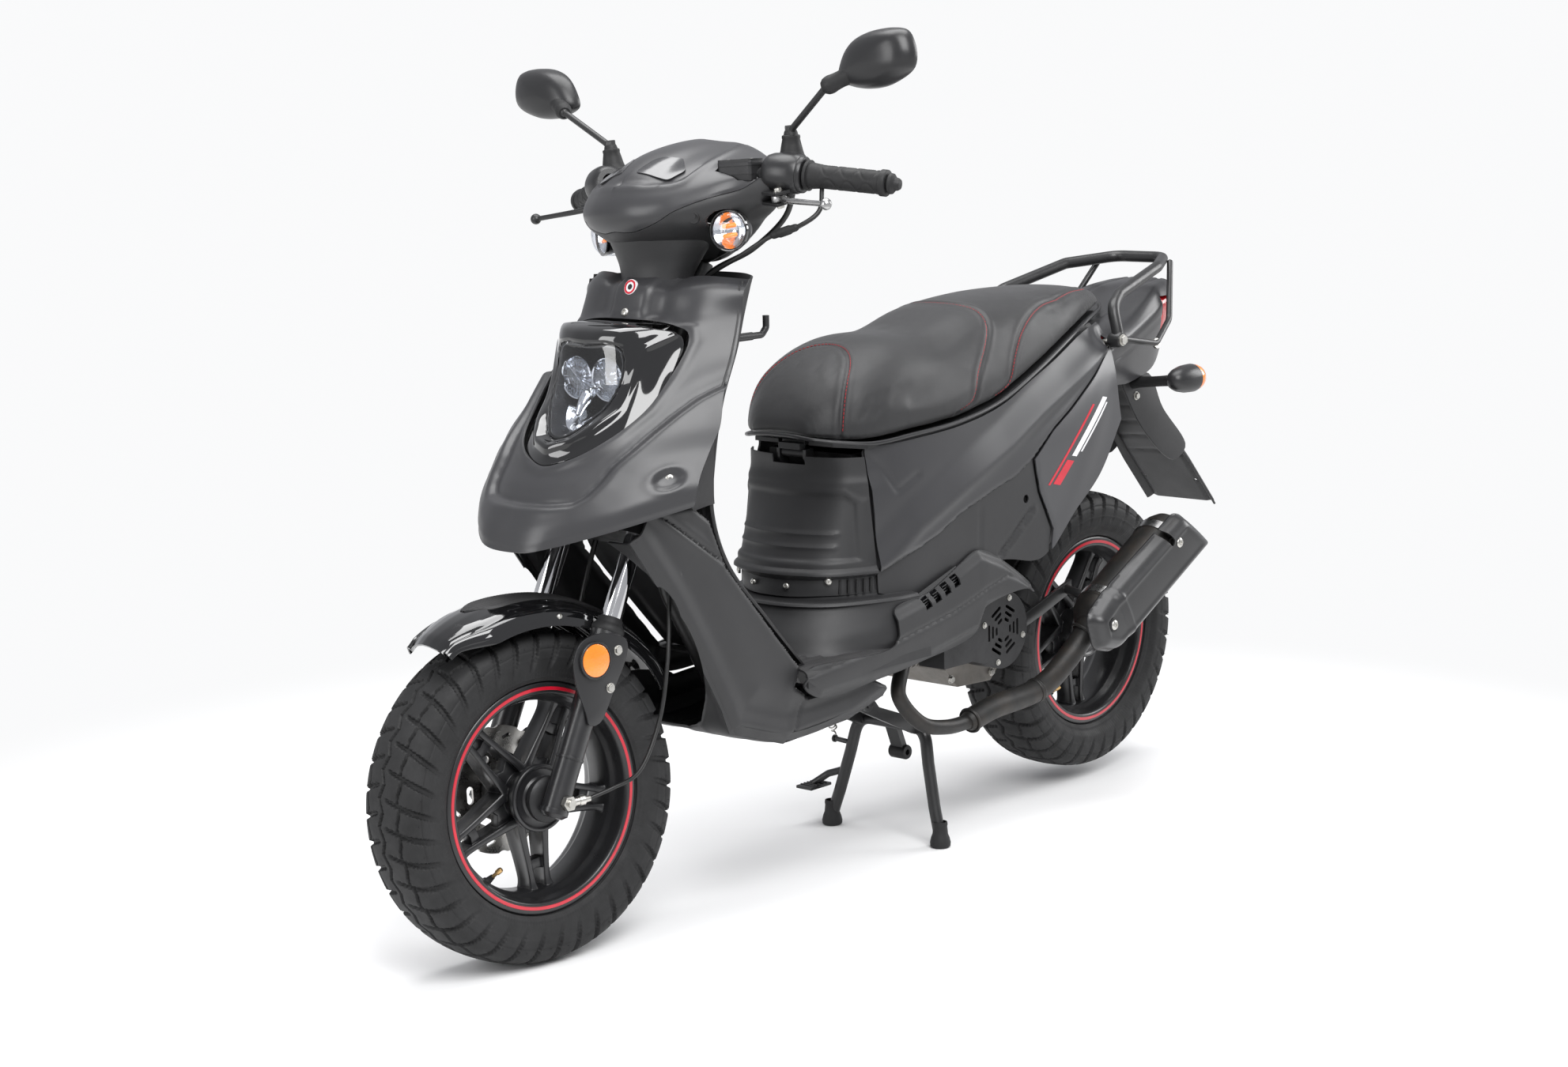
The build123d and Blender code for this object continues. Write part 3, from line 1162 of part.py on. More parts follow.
# exhaust: header, front pipe and muffler body
muffler_a, muffler_b = Vector(-509, 152, 310), Vector(-752, 152, 440)
with BuildPart() as exhaust:
    add(tube([(-106, 52, 312), (-104, 74, 310), (-62, 100, 262), (-104, 112, 212),
              (-160, 118, 196), (-228, 120, 194)], 12, 14))
    add(tube([(-214, 120, 194), (-270, 122, 206), (-400, 130, 220), (-470, 138, 262),
              (-516, 152, 314)], 19, 28))
    with BuildSketch(Plane(origin=muffler_a, z_dir=muffler_b - muffler_a)):
        Circle(36)
    with BuildSketch(Plane(origin=muffler_a + (muffler_b - muffler_a) * 0.12,
                           z_dir=muffler_b - muffler_a)):
        Circle(45)
    with BuildSketch(Plane(origin=muffler_a + (muffler_b - muffler_a) * 0.9,
                           z_dir=muffler_b - muffler_a)):
        Circle(45)
    with BuildSketch(Plane(origin=muffler_b, z_dir=muffler_b - muffler_a)):
        Circle(34)
    loft(ruled=True)
    # tail spout and mounting bracket to the crankcase
    add(rod(muffler_b, muffler_b + (muffler_b - muffler_a).normalized() * 22, 12))
    add(side_plate([(-382, 300), (-396, 300), (-480, 322), (-566, 350), (-566, 372),
                    (-480, 346), (-384, 320)], 68, 74))
    add(rod((-389, 62.3, 310), (-389, 70, 310), 5.5))
    add(rod((-550, 70, 358), (-552, 112, 348), 8))
exhaust.part.label = "exhaust"
export_step(exhaust.part, "parts/exhaust.step")

with BuildPart() as muffler_shield:
    with BuildSketch(Plane.XZ.offset(-205)):
        Polygon((-717, 480), (-803, 421), (-796, 405), (-528, 264), (-470, 278), (-455, 335),
                (-513, 376), align=None)
    extrude(amount=-5)
    for x, z in ((-694, 430), (-500, 318)):
        with BuildSketch(Plane.XZ.offset(-206)):
            with Locations((x, z)):
                Circle(9)
        extrude(amount=-8)
    # side flanges wrapping back over the can
    d = (muffler_b - muffler_a).normalized()
    add(side_plate([(-717, 480), (-513, 376), (-515, 372), (-719, 476)], 166, 206))
    add(side_plate([(-796, 405), (-528, 264), (-526, 268), (-794, 409)], 166, 206))
muffler_shield.part.label = "muffler_shield"
export_step(muffler_shield.part, "parts/muffler_shield.step")

with BuildPart() as rear_brake_arm:
    add(rod((-600, -58, 240), (-600, -71.8, 240), 6))
    add(side_plate([(-594, 246), (-594, 234), (-612, 234), (-612, 196), (-622, 150),
                    (-634, 150), (-624, 200), (-610, 246)], -66, -60))
rear_brake_arm.part.label = "rear_brake_arm"
export_step(rear_brake_arm.part, "parts/rear_brake_arm.step")

# ============================================================ REAR SHOCK
shock_dir = (shock_bottom - shock_top).normalized()
with BuildPart() as shock_body:
    add(rod(shock_top + Vector(0, -10, 0), shock_top + Vector(0, 10, 0), 13))
    add(rod(shock_top + shock_dir * 8, shock_top + shock_dir * 170, 14))
    add(rod(shock_top + shock_dir * 30, shock_top + shock_dir * 36, 28))
    add(rod(shock_top + shock_dir * 60, shock_top + shock_dir * 172, 6 + fit),
        mode=Mode.SUBTRACT)
    add(rod(shock_top + Vector(0, -12, 0), shock_top + Vector(0, 12, 0), 5 + fit),
        mode=Mode.SUBTRACT)
shock_body.part.label = "shock_body"
export_step(shock_body.part, "parts/shock_body.step")

with BuildPart() as shock_rod:
    add(rod(shock_top + shock_dir * 140, shock_bottom - shock_dir * 8, 6))
    add(rod(shock_bottom - shock_dir * 56, shock_bottom - shock_dir * 50, 28))
    add(rod(shock_bottom + Vector(0, -10, 0), shock_bottom + Vector(0, 10, 0), 13))
    add(rod(shock_bottom + Vector(0, -12, 0), shock_bottom + Vector(0, 12, 0), 6),
        mode=Mode.SUBTRACT)
shock_rod.part.label = "shock_rod"
export_step(shock_rod.part, "parts/shock_rod.step")

with BuildPart() as shock_spring:
    length = (shock_bottom - shock_top).length
    with BuildLine():
        h = Helix(pitch=26, height=length - 40.5 - 60.5, radius=22,
                  center=tuple(shock_top + shock_dir * 40.5), direction=tuple(shock_dir))
    with BuildSketch(Plane(origin=h @ 0, z_dir=h % 0)):
        Circle(4)
    sweep()
shock_spring.part.label = "shock_spring"
export_step(shock_spring.part, "parts/shock_spring.step")

# ============================================================ CENTRE STAND
with BuildPart() as center_stand:
    legs = [(-145, -115, 14), (-150, -100, 62), (-158, -82, 130), (-165, -70, 187),
            (-165, 70, 187), (-158, 82, 130), (-150, 100, 62), (-145, 115, 14)]
    add(tube(legs, 10, 22))
    for side in (1, -1):
        add(side_plate([(-14, 266), (-38, 266), (-60, 240), (-176, 196), (-176, 178),
                        (-150, 178), (-22, 238), (-12, 246)], 58 * side - 4, 58 * side + 4))
        add(rod(stand_pivot + Vector(0, 54 * side, 0), stand_pivot + Vector(0, 70 * side, 0), 12))
        # rubber foot
        with Locations(Location((-145, 115 * side, 13))):
            Sphere(16)
    # bumper under the crossbar
    add(side_plate([(-160, 186), (-172, 186), (-192, 138), (-182, 132)], -12, 12))
    add(rod((-186, -16, 134), (-186, 16, 134), 12))
    # tread lever on the right leg
    add(tube([(-154, -92, 96), (-150, -126, 84), (-140, -150, 66)], 6, 12))
    with BuildSketch(Plane(origin=(-140, -150, 60), x_dir=(0, 1, 0), z_dir=(0, 0, 1))):
        RectangleRounded(34, 52, 8)
    extrude(amount=5)
    with Locations((-145, 0, -10)):
        Box(200, 400, 20, mode=Mode.SUBTRACT)
    add(rod(stand_pivot + Vector(0, -80, 0), stand_pivot + Vector(0, 80, 0), 6 + fit),
        mode=Mode.SUBTRACT)
center_stand.part.label = "center_stand"
export_step(center_stand.part, "parts/center_stand.step")

# ============================================================ SMALL PIECES
with BuildPart() as ignition_switch:
    add(rod((238, -78, 878), (300, -78, 878), 14))
    add(rod((228, -78, 878), (238.5, -78, 878), 19))
    with Locations((218, -78, 878)):
        Box(22, 3, 24)
ignition_switch.part.label = "ignition_switch"
export_step(ignition_switch.part, "parts/ignition_switch.step")

with BuildPart() as bag_hook:
    add(rod((258, 96, 862), (310, 96, 862), 6))
    add(tube([(262, 96, 862), (236, 96, 862), (226, 96, 872), (226, 96, 890)], 5, 8))
bag_hook.part.label = "bag_hook"
export_step(bag_hook.part, "parts/bag_hook.step")
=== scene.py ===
import bpy, bmesh, json, math, random
import numpy as np
from mathutils import Vector, Matrix


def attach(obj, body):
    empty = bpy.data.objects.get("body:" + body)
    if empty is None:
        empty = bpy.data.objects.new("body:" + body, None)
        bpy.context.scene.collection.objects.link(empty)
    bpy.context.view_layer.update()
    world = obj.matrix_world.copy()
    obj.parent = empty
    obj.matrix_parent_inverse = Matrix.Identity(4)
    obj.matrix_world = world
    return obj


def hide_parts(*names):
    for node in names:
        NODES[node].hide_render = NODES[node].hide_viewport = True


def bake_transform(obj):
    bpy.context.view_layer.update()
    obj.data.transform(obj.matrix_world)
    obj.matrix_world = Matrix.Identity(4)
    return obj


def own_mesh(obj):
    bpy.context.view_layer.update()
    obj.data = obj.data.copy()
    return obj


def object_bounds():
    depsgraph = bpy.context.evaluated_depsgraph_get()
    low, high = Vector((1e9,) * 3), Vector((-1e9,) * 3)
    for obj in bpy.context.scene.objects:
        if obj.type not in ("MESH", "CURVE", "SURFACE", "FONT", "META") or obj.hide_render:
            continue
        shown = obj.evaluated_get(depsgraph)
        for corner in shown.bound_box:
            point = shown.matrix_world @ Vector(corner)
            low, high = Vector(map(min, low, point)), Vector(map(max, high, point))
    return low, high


# Moped scooter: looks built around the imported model.  Lengths below are in
# millimetres in the model's own frame and become metres when a mesh is made.
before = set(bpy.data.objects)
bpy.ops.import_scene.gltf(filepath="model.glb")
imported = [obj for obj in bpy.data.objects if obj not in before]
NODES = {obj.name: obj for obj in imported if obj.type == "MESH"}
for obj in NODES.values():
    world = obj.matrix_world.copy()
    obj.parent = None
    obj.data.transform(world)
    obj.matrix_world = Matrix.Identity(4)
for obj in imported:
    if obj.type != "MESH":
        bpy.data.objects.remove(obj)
CAD_BOX = [list(map(float, v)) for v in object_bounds()]
MM = 0.001
sin, cos, pi, rad = math.sin, math.cos, math.pi, math.radians

# ------------------------------------------------------------ steering frame
SA, CA = sin(rad(26)), cos(rad(26))
S0 = np.array([623.5, 0.0, 222.7])
AX = np.array([-SA, 0.0, CA])
NX = np.array([CA, 0.0, SA])
STEER = -7.5
FRONT_AXLE = np.array([655.0, 0.0, 238.0])
REAR_AXLE = np.array([-655.0, 0.0, 265.0])


def fp(s, n, y=0.0):
    return S0 + AX * s + NX * n + np.array([0, y, 0.0])


def rot_about(P, origin, axis, deg):
    P = np.asarray(P, float)
    a = np.asarray(axis, float) / np.linalg.norm(axis)
    v = P - origin
    c, s = cos(rad(deg)), sin(rad(deg))
    return origin + v * c + np.cross(a, v) * s + np.outer(v @ a, a) * (1 - c)


def steer(P):
    return rot_about(np.asarray(P, float).reshape(-1, 3), S0, AX, STEER)


def unit(v):
    v = np.asarray(v, float)
    return v / np.linalg.norm(v)


# ------------------------------------------------------------ curves and grids
def spline(P, n, closed=False):
    """Catmull-Rom (centripetal) through the rows of P, n samples."""
    P = np.asarray(P, float)
    m = len(P)
    if m == 2 and not closed:
        t = np.linspace(0, 1, n)[:, None]
        return P[0] * (1 - t) + P[1] * t
    if closed:
        Q = np.vstack([P[-1], P, P[0], P[1]])
        segs = m
    else:
        Q = np.vstack([2 * P[0] - P[1], P, 2 * P[-1] - P[-2]])
        segs = m - 1
    seglen = np.array([np.linalg.norm(Q[i + 2] - Q[i + 1]) + 1e-9 for i in range(segs)])
    cum = np.concatenate([[0], np.cumsum(seglen)])
    ts = np.linspace(0, cum[-1], n, endpoint=not closed)
    out = []
    for t in ts:
        i = min(int(np.searchsorted(cum, t, side="right")) - 1, segs - 1)
        u = (t - cum[i]) / seglen[i]
        p0, p1, p2, p3 = Q[i], Q[i + 1], Q[i + 2], Q[i + 3]
        t01 = max(np.linalg.norm(p1 - p0), 1e-6) ** .5
        t12 = max(np.linalg.norm(p2 - p1), 1e-6) ** .5
        t23 = max(np.linalg.norm(p3 - p2), 1e-6) ** .5
        m1 = (p2 - p1) + t12 * ((p1 - p0) / t01 - (p2 - p0) / (t01 + t12))
        m2 = (p2 - p1) + t12 * ((p3 - p2) / t23 - (p3 - p1) / (t12 + t23))
        a = 2 * (p1 - p2) + m1 + m2
        b = -3 * (p1 - p2) - 2 * m1 - m2
        out.append(a * u ** 3 + b * u ** 2 + m1 * u + p1)
    return np.array(out)


def spline_at(P, us):
    """Catmull-Rom by index: parameter u runs 0..len(P)-1 (same u, same feature)."""
    P = np.asarray(P, float)
    Q = np.vstack([2 * P[0] - P[1], P, 2 * P[-1] - P[-2]])
    out = []
    for u in us:
        i = min(int(u), len(P) - 2)
        t = u - i
        p0, p1, p2, p3 = Q[i], Q[i + 1], Q[i + 2], Q[i + 3]
        out.append(.5 * ((2 * p1) + (p2 - p0) * t + (2 * p0 - 5 * p1 + 4 * p2 - p3) * t * t
                         + (3 * p1 - p0 - 3 * p2 + p3) * t ** 3))
    return np.array(out)


def dense(sections, ku, kv):
    """Smooth grid through section rows: ku steps per span along rows, kv across."""
    S = np.asarray(sections, float)
    nr, nc = S.shape[:2]
    us = np.linspace(0, nr - 1, (nr - 1) * ku + 1)
    vs = np.linspace(0, nc - 1, (nc - 1) * kv + 1)
    rows = np.array([spline_at(S[r], vs) for r in range(nr)])
    return np.array([spline_at(rows[:, c], us) for c in range(rows.shape[1])]).transpose(1, 0, 2)


def grid_faces(nr, nc, wrap_c=False, wrap_r=False, off=0, flip=False):
    f = []
    for r in range(nr if wrap_r else nr - 1):
        for c in range(nc if wrap_c else nc - 1):
            r2, c2 = (r + 1) % nr, (c + 1) % nc
            q = [off + r * nc + c, off + r * nc + c2, off + r2 * nc + c2, off + r2 * nc + c]
            f.append(q[::-1] if flip else q)
    return f


# ------------------------------------------------------------ objects
def link(o):
    bpy.context.scene.collection.objects.link(o)
    return o


def bake(o):
    """Apply the modifiers, so that the mesh is final."""
    dg = bpy.context.evaluated_depsgraph_get()
    dg.update()
    me = bpy.data.meshes.new_from_object(o.evaluated_get(dg))
    old = o.data
    o.modifiers.clear()
    o.data = me
    if old.users == 0:
        bpy.data.meshes.remove(old)
    return o


def finish_mesh(o, angle=38):
    o.data.shade_smooth()
    o.data.set_sharp_from_angle(angle=rad(angle))


def make(name, verts, faces, mat, body, steered=False, smooth=38, subsurf=0, solid=0.0,
         bevel=0.0, bseg=2, crease=None, offset=-1.0, replaces=(), slot=None, weld=0.0,
         normals=True):
    """A mesh piece from millimetre vertices; thickness, bevel and subdivision applied."""
    v = np.asarray(verts, float).reshape(-1, 3)
    if steered:
        v = steer(v)
    me = bpy.data.meshes.new(name)
    me.from_pydata((v * MM).tolist(), [], [list(map(int, f)) for f in faces])
    bm = bmesh.new()
    bm.from_mesh(me)
    if weld:
        bmesh.ops.remove_doubles(bm, verts=bm.verts, dist=weld * MM)
    if normals:
        bmesh.ops.recalc_face_normals(bm, faces=bm.faces)
    if crease:
        lay = bm.edges.layers.float.get("crease_edge") or bm.edges.layers.float.new("crease_edge")
        for e in bm.edges:
            k = crease(e)
            if k:
                e[lay] = k
    bm.to_mesh(me)
    bm.free()
    o = link(bpy.data.objects.new(name, me))
    mats = mat if isinstance(mat, (list, tuple)) else [mat]
    for m in mats:
        me.materials.append(m)
    if solid:
        md = o.modifiers.new("s", "SOLIDIFY"); md.thickness = solid * MM; md.offset = offset
        md.use_even_offset = True; md.use_quality_normals = True
    if bevel:
        md = o.modifiers.new("b", "BEVEL"); md.width = bevel * MM; md.segments = bseg
        md.limit_method = "ANGLE"; md.angle_limit = rad(32); md.harden_normals = False
    if subsurf:
        md = o.modifiers.new("u", "SUBSURF"); md.levels = subsurf; md.render_levels = subsurf
    if solid or bevel or subsurf:
        bake(o)
    if smooth:
        finish_mesh(o, smooth)
    if body:
        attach(o, body)
    if replaces:
        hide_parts(*replaces)
    return o


def frames_along(P, closed=False):
    """Rotation-minimising frames along a polyline."""
    P = np.asarray(P, float)
    n = len(P)
    T = np.zeros_like(P)
    for i in range(n):
        a = P[(i - 1) % n] if (closed or i > 0) else P[i]
        b = P[(i + 1) % n] if (closed or i < n - 1) else P[i]
        T[i] = unit(b - a)
    ref = np.array([0, 0, 1.0]) if abs(T[0][2]) < 0.9 else np.array([1.0, 0, 0])
    U = [unit(np.cross(T[0], ref))]
    for i in range(1, n):
        u = U[-1] - T[i] * (U[-1] @ T[i])
        U.append(unit(u))
    U = np.array(U)
    W = np.cross(T, U)
    return T, U, W


def fillet_path(pts, r, seg=6):
    """Polyline with rounded corners."""
    pts = [np.asarray(p, float) for p in pts]
    out = [pts[0]]
    for i in range(1, len(pts) - 1):
        a, b, c = pts[i - 1], pts[i], pts[i + 1]
        u, w = unit(a - b), unit(c - b)
        ang = math.acos(max(-1, min(1, float(u @ w))))
        if ang > 3.1:
            out.append(b)
            continue
        d = min(r / math.tan(ang / 2), .48 * np.linalg.norm(a - b), .48 * np.linalg.norm(c - b))
        p, q = b + u * d, b + w * d
        for k in range(seg + 1):
            t = k / seg
            out.append((1 - t) ** 2 * p + 2 * t * (1 - t) * b + t * t * q)
    out.append(pts[-1])
    return np.array(out)


def tube_geo(P, radii, seg=16, cap=True, round_ends=False):
    """Tube vertices and faces along P with per-point radius."""
    P = np.asarray(P, float)
    R = np.full(len(P), float(radii)) if np.isscalar(radii) else np.asarray(radii, float)
    T, U, W = frames_along(P)
    rows = []
    pts, rr, tt, uu, ww = list(P), list(R), list(T), list(U), list(W)
    if round_ends:
        def dome(i, sgn):
            d = []
            for k in (30, 60, 82):
                d.append((P[i] + T[i] * sgn * R[i] * sin(rad(k)), R[i] * cos(rad(k)), T[i], U[i], W[i]))
            return d
        a, b = dome(0, -1)[::-1], dome(-1, 1)
        pts = [x[0] for x in a] + pts + [x[0] for x in b]
        rr = [x[1] for x in a] + rr + [x[1] for x in b]
        tt = [x[2] for x in a] + tt + [x[2] for x in b]
        uu = [x[3] for x in a] + uu + [x[3] for x in b]
        ww = [x[4] for x in a] + ww + [x[4] for x in b]
    for p, r, u, w in zip(pts, rr, uu, ww):
        rows += [p + r * (cos(2 * pi * k / seg) * u + sin(2 * pi * k / seg) * w) for k in range(seg)]
    n = len(pts)
    f = grid_faces(n, seg, wrap_c=True)
    if cap:
        f.append(list(range(seg))[::-1])
        f.append(list(range((n - 1) * seg, n * seg)))
    return np.array(rows), f


def lathe_geo(profile, origin, axis, seg=48, ref=None, a0=0.0, a1=360.0):
    """Revolve (along, radius) profile about axis through origin."""
    origin, axis = np.asarray(origin, float), unit(axis)
    ref = np.array([0, 0, 1.0]) if ref is None else unit(ref)
    if abs(ref @ axis) > .95:
        ref = np.array([1.0, 0, 0])
    u = unit(ref - axis * (ref @ axis))
    w = np.cross(axis, u)
    full = abs(a1 - a0) >= 359.9
    n = seg if full else seg + 1
    rows = []
    for k in range(n):
        a = rad(a0 + (a1 - a0) * k / seg)
        d = u * cos(a) + w * sin(a)
        rows += [origin + axis * p[0] + d * p[1] for p in profile]
    return np.array(rows), grid_faces(n, len(profile), wrap_r=full)


class Geo:
    """Collects several closed shapes into one piece."""

    def __init__(self):
        self.v, self.f, self.n = [], [], 0

    def add(self, v, f):
        v = np.asarray(v, float).reshape(-1, 3)
        self.v.append(v)
        self.f += [[i + self.n for i in q] for q in f]
        self.n += len(v)
        return self

    def tube(self, P, r, seg=14, **k):
        return self.add(*tube_geo(P, r, seg, **k))

    def lathe(self, prof, o, a, seg=40, **k):
        return self.add(*lathe_geo(prof, o, a, seg, **k))

    def box(self, c, s, X=(1, 0, 0), Y=(0, 1, 0), Z=(0, 0, 1), taper=1.0):
        c = np.asarray(c, float)
        X, Y, Z = unit(X), unit(Y), unit(Z)
        v = []
        for k in (-1, 1):
            t = taper if k > 0 else 1.0
            for i, j in ((-1, -1), (1, -1), (1, 1), (-1, 1)):
                v.append(c + X * i * s[0] / 2 * t + Y * j * s[1] / 2 * t + Z * k * s[2] / 2)
        return self.add(v, [[3, 2, 1, 0], [4, 5, 6, 7], [0, 1, 5, 4], [1, 2, 6, 5], [2, 3, 7, 6], [3, 0, 4, 7]])

    def prism(self, outline, d):
        """Closed outline (3-D points) pushed along d."""
        P = np.asarray(outline, float)
        n = len(P)
        v = np.vstack([P, P + np.asarray(d, float)])
        f = [list(range(n))[::-1], list(range(n, 2 * n))]
        f += [[i, (i + 1) % n, n + (i + 1) % n, n + i] for i in range(n)]
        return self.add(v, f)

    def screw(self, c, d, r=6.0, h=3.5, cross=True):
        """Pan-head screw standing on c, pointing along d."""
        d = unit(d)
        c = np.asarray(c, float)
        prof = [(-1, 0.01), (-1, r), (h * .35, r), (h * .8, r * .82), (h, r * .5), (h, r * .3), (h * .55, r * .28), (h * .5, 0.01)]
        return self.lathe(prof, c, d, 20)

    def hexbolt(self, c, d, r=7.0, h=5.0):
        d = unit(d)
        c = np.asarray(c, float)
        self.lathe([(-.5, 0.01), (-.5, r * 1.35), (1.4, r * 1.35), (1.4, r)], c, d, 22)
        return self.lathe([(1.2, 0.01), (1.2, r * 1.12), (h - 1, r * 1.12), (h, r * .98), (h, 0.01)], c, d, 6)

    def out(self, name, mat, body, **k):
        return make(name, np.vstack(self.v), self.f, mat, body, **k)
# ------------------------------------------------------------ materials
def mat(name, base, rough=.5, metal=0.0, var=.18, vscale=9.0, rvar=.08, grain=None,
        coat=0.0, coat_rough=.08, spec=.5, bevel=0.0, wear=None, streak=None, speck=None,
        dust=0.0, sheen=0.0, emis=None, trans=0.0, ior=1.45, alpha=None, leather=None,
        tint=None, aniso=0.0):
    """One procedural finish.  Scales are per metre; grain = (scale, strength, detail)."""
    m = bpy.data.materials.new(name)
    m.use_nodes = True
    nt = m.node_tree
    L = nt.links.new
    for n in list(nt.nodes):
        nt.nodes.remove(n)
    out = nt.nodes.new("ShaderNodeOutputMaterial")
    b = nt.nodes.new("ShaderNodeBsdfPrincipled")
    L(b.outputs["BSDF"], out.inputs["Surface"])
    tc = nt.nodes.new("ShaderNodeTexCoord")
    co = tc.outputs["Object"]

    def noise(scale, detail=3.0, rough_=.55, stretch=None):
        n = nt.nodes.new("ShaderNodeTexNoise")
        n.inputs["Scale"].default_value = scale
        n.inputs["Detail"].default_value = detail
        n.inputs["Roughness"].default_value = rough_
        if stretch:
            mp = nt.nodes.new("ShaderNodeMapping")
            mp.inputs["Scale"].default_value = stretch
            L(co, mp.inputs["Vector"])
            L(mp.outputs["Vector"], n.inputs["Vector"])
        else:
            L(co, n.inputs["Vector"])
        return n.outputs["Fac"]

    def ramp(fac, a, b_, lo=.3, hi=.7):
        r = nt.nodes.new("ShaderNodeMapRange")
        L(fac, r.inputs["Value"])
        r.inputs["From Min"].default_value = lo
        r.inputs["From Max"].default_value = hi
        r.inputs["To Min"].default_value = a
        r.inputs["To Max"].default_value = b_
        return r.outputs["Result"]

    def mix(fac, a, b_):
        x = nt.nodes.new("ShaderNodeMix")
        x.data_type = "RGBA"
        if isinstance(fac, float):
            x.inputs[0].default_value = fac
        else:
            L(fac, x.inputs[0])
        for s, v in ((6, a), (7, b_)):
            if isinstance(v, tuple):
                x.inputs[s].default_value = (*v, 1)
            else:
                L(v, x.inputs[s])
        return x.outputs[2]

    lo = tuple(c * (1 - var) for c in base)
    hi = tuple(min(c * (1 + var), 1) for c in (tint or base))
    col = mix(ramp(noise(vscale, 5), 0.0, 1.0), lo, hi)
    rfac = ramp(noise(vscale * 2.3, 6, .65), rough - rvar, rough + rvar)
    nrm = None
    geo = None
    if bevel:
        bv = nt.nodes.new("ShaderNodeBevel")
        bv.samples = 4
        bv.inputs["Radius"].default_value = bevel * MM
        nrm = bv.outputs["Normal"]
        if wear:
            geo = nt.nodes.new("ShaderNodeNewGeometry")
            dt = nt.nodes.new("ShaderNodeVectorMath")
            dt.operation = "DOT_PRODUCT"
            L(bv.outputs["Normal"], dt.inputs[0])
            L(geo.outputs["Normal"], dt.inputs[1])
            e = ramp(dt.outputs["Value"], 1.0, 0.0, .80, .985)
            mu = nt.nodes.new("ShaderNodeMath"); mu.operation = "MULTIPLY"
            L(e, mu.inputs[0]); L(ramp(noise(180, 4), 0, wear[1], .42, .7), mu.inputs[1])
            mu.use_clamp = True
            col = mix(mu.outputs[0], col, wear[0])
    if speck:
        v = nt.nodes.new("ShaderNodeTexVoronoi")
        v.inputs["Scale"].default_value = speck[0]
        L(co, v.inputs["Vector"])
        col = mix(ramp(v.outputs["Distance"], speck[2], 0.0, .0, .35), col, speck[1])
    if dust:
        g2 = nt.nodes.new("ShaderNodeNewGeometry")
        sp = nt.nodes.new("ShaderNodeSeparateXYZ")
        L(g2.outputs["Normal"], sp.inputs[0])
        mu = nt.nodes.new("ShaderNodeMath"); mu.operation = "MULTIPLY"
        L(ramp(sp.outputs["Z"], 0, dust, .1, 1.0), mu.inputs[0]); L(ramp(noise(35, 6), 0, 1, .35, .7), mu.inputs[1])
        col = mix(mu.outputs[0], col, (.22, .21, .20))
    if streak:
        st = noise(streak[0], 4, .6, streak[2])
        col = mix(ramp(st, 0, streak[3] if len(streak) > 3 else .6, .45, .75), col, streak[1])
    L(col, b.inputs["Base Color"])
    L(rfac, b.inputs["Roughness"])
    b.inputs["Metallic"].default_value = metal
    b.inputs["IOR"].default_value = ior
    b.inputs["Specular IOR Level"].default_value = spec
    b.inputs["Coat Weight"].default_value = coat
    b.inputs["Coat Roughness"].default_value = coat_rough
    if sheen:
        b.inputs["Sheen Weight"].default_value = sheen
        b.inputs["Sheen Roughness"].default_value = .4
    if trans:
        b.inputs["Transmission Weight"].default_value = trans
    if emis:
        b.inputs["Emission Color"].default_value = (*emis[0], 1)
        b.inputs["Emission Strength"].default_value = emis[1]
    if aniso:
        b.inputs["Anisotropic"].default_value = aniso

    def bump(h, strength, dist, prev):
        bp = nt.nodes.new("ShaderNodeBump")
        bp.inputs["Strength"].default_value = strength
        bp.inputs["Distance"].default_value = dist * MM
        L(h, bp.inputs["Height"])
        if prev is not None:
            L(prev, bp.inputs["Normal"])
        return bp.outputs["Normal"]

    if leather:
        v = nt.nodes.new("ShaderNodeTexVoronoi")
        v.feature = "DISTANCE_TO_EDGE"
        v.inputs["Scale"].default_value = leather[0]
        w = nt.nodes.new("ShaderNodeMix"); w.data_type = "VECTOR"
        w.inputs[0].default_value = .10
        nn = nt.nodes.new("ShaderNodeTexNoise"); nn.inputs["Scale"].default_value = leather[0] * .35
        L(co, nn.inputs["Vector"])
        L(co, w.inputs[4]); L(nn.outputs["Color"], w.inputs[5])
        L(co, v.inputs["Vector"])
        h = ramp(v.outputs["Distance"], 0, 1, 0, .28)
        nrm = bump(h, leather[1], .25, nrm)
    if grain:
        nrm = bump(noise(grain[0], grain[2] if len(grain) > 2 else 2.0, .6), grain[1], grain[3] if len(grain) > 3 else .2, nrm)
    # slow unevenness, so that reflections are not ruler-straight
    nrm = bump(noise(14, 2, .5), .05, 1.0, nrm)
    L(nrm, b.inputs["Normal"])
    return m


M = {}
M["body"] = mat("satin_anthracite", (.026, .026, .028), .37, var=.10, vscale=5, rvar=.03,
                grain=(2600, .10, 2, .08), coat=.10, coat_rough=.25, spec=.55,
                speck=(5200, (.10, .10, .105), .35), bevel=1.2)
M["body2"] = mat("satin_graphite", (.040, .040, .043), .33, var=.10, vscale=5, rvar=.03,
                 grain=(2600, .10, 2, .08), coat=.15, coat_rough=.2, spec=.6,
                 speck=(5200, (.13, .13, .135), .35), bevel=1.2)
M["gloss"] = mat("gloss_black", (.0045, .0045, .005), .07, var=.15, vscale=6, rvar=.02,
                 grain=(900, .015, 2, .05), coat=1.0, coat_rough=.03, spec=.5, bevel=1.2)
M["smoke"] = mat("smoked_panel", (.020, .020, .022), .20, var=.12, vscale=6, rvar=.03,
                 grain=(900, .02, 2, .05), coat=.6, coat_rough=.12, spec=.5, bevel=.8)
M["trim"] = mat("grained_plastic", (.019, .019, .020), .50, var=.14, vscale=7, rvar=.05,
                grain=(1500, .38, 3, .16), spec=.5, bevel=1.0, wear=((.07, .07, .07), .35))
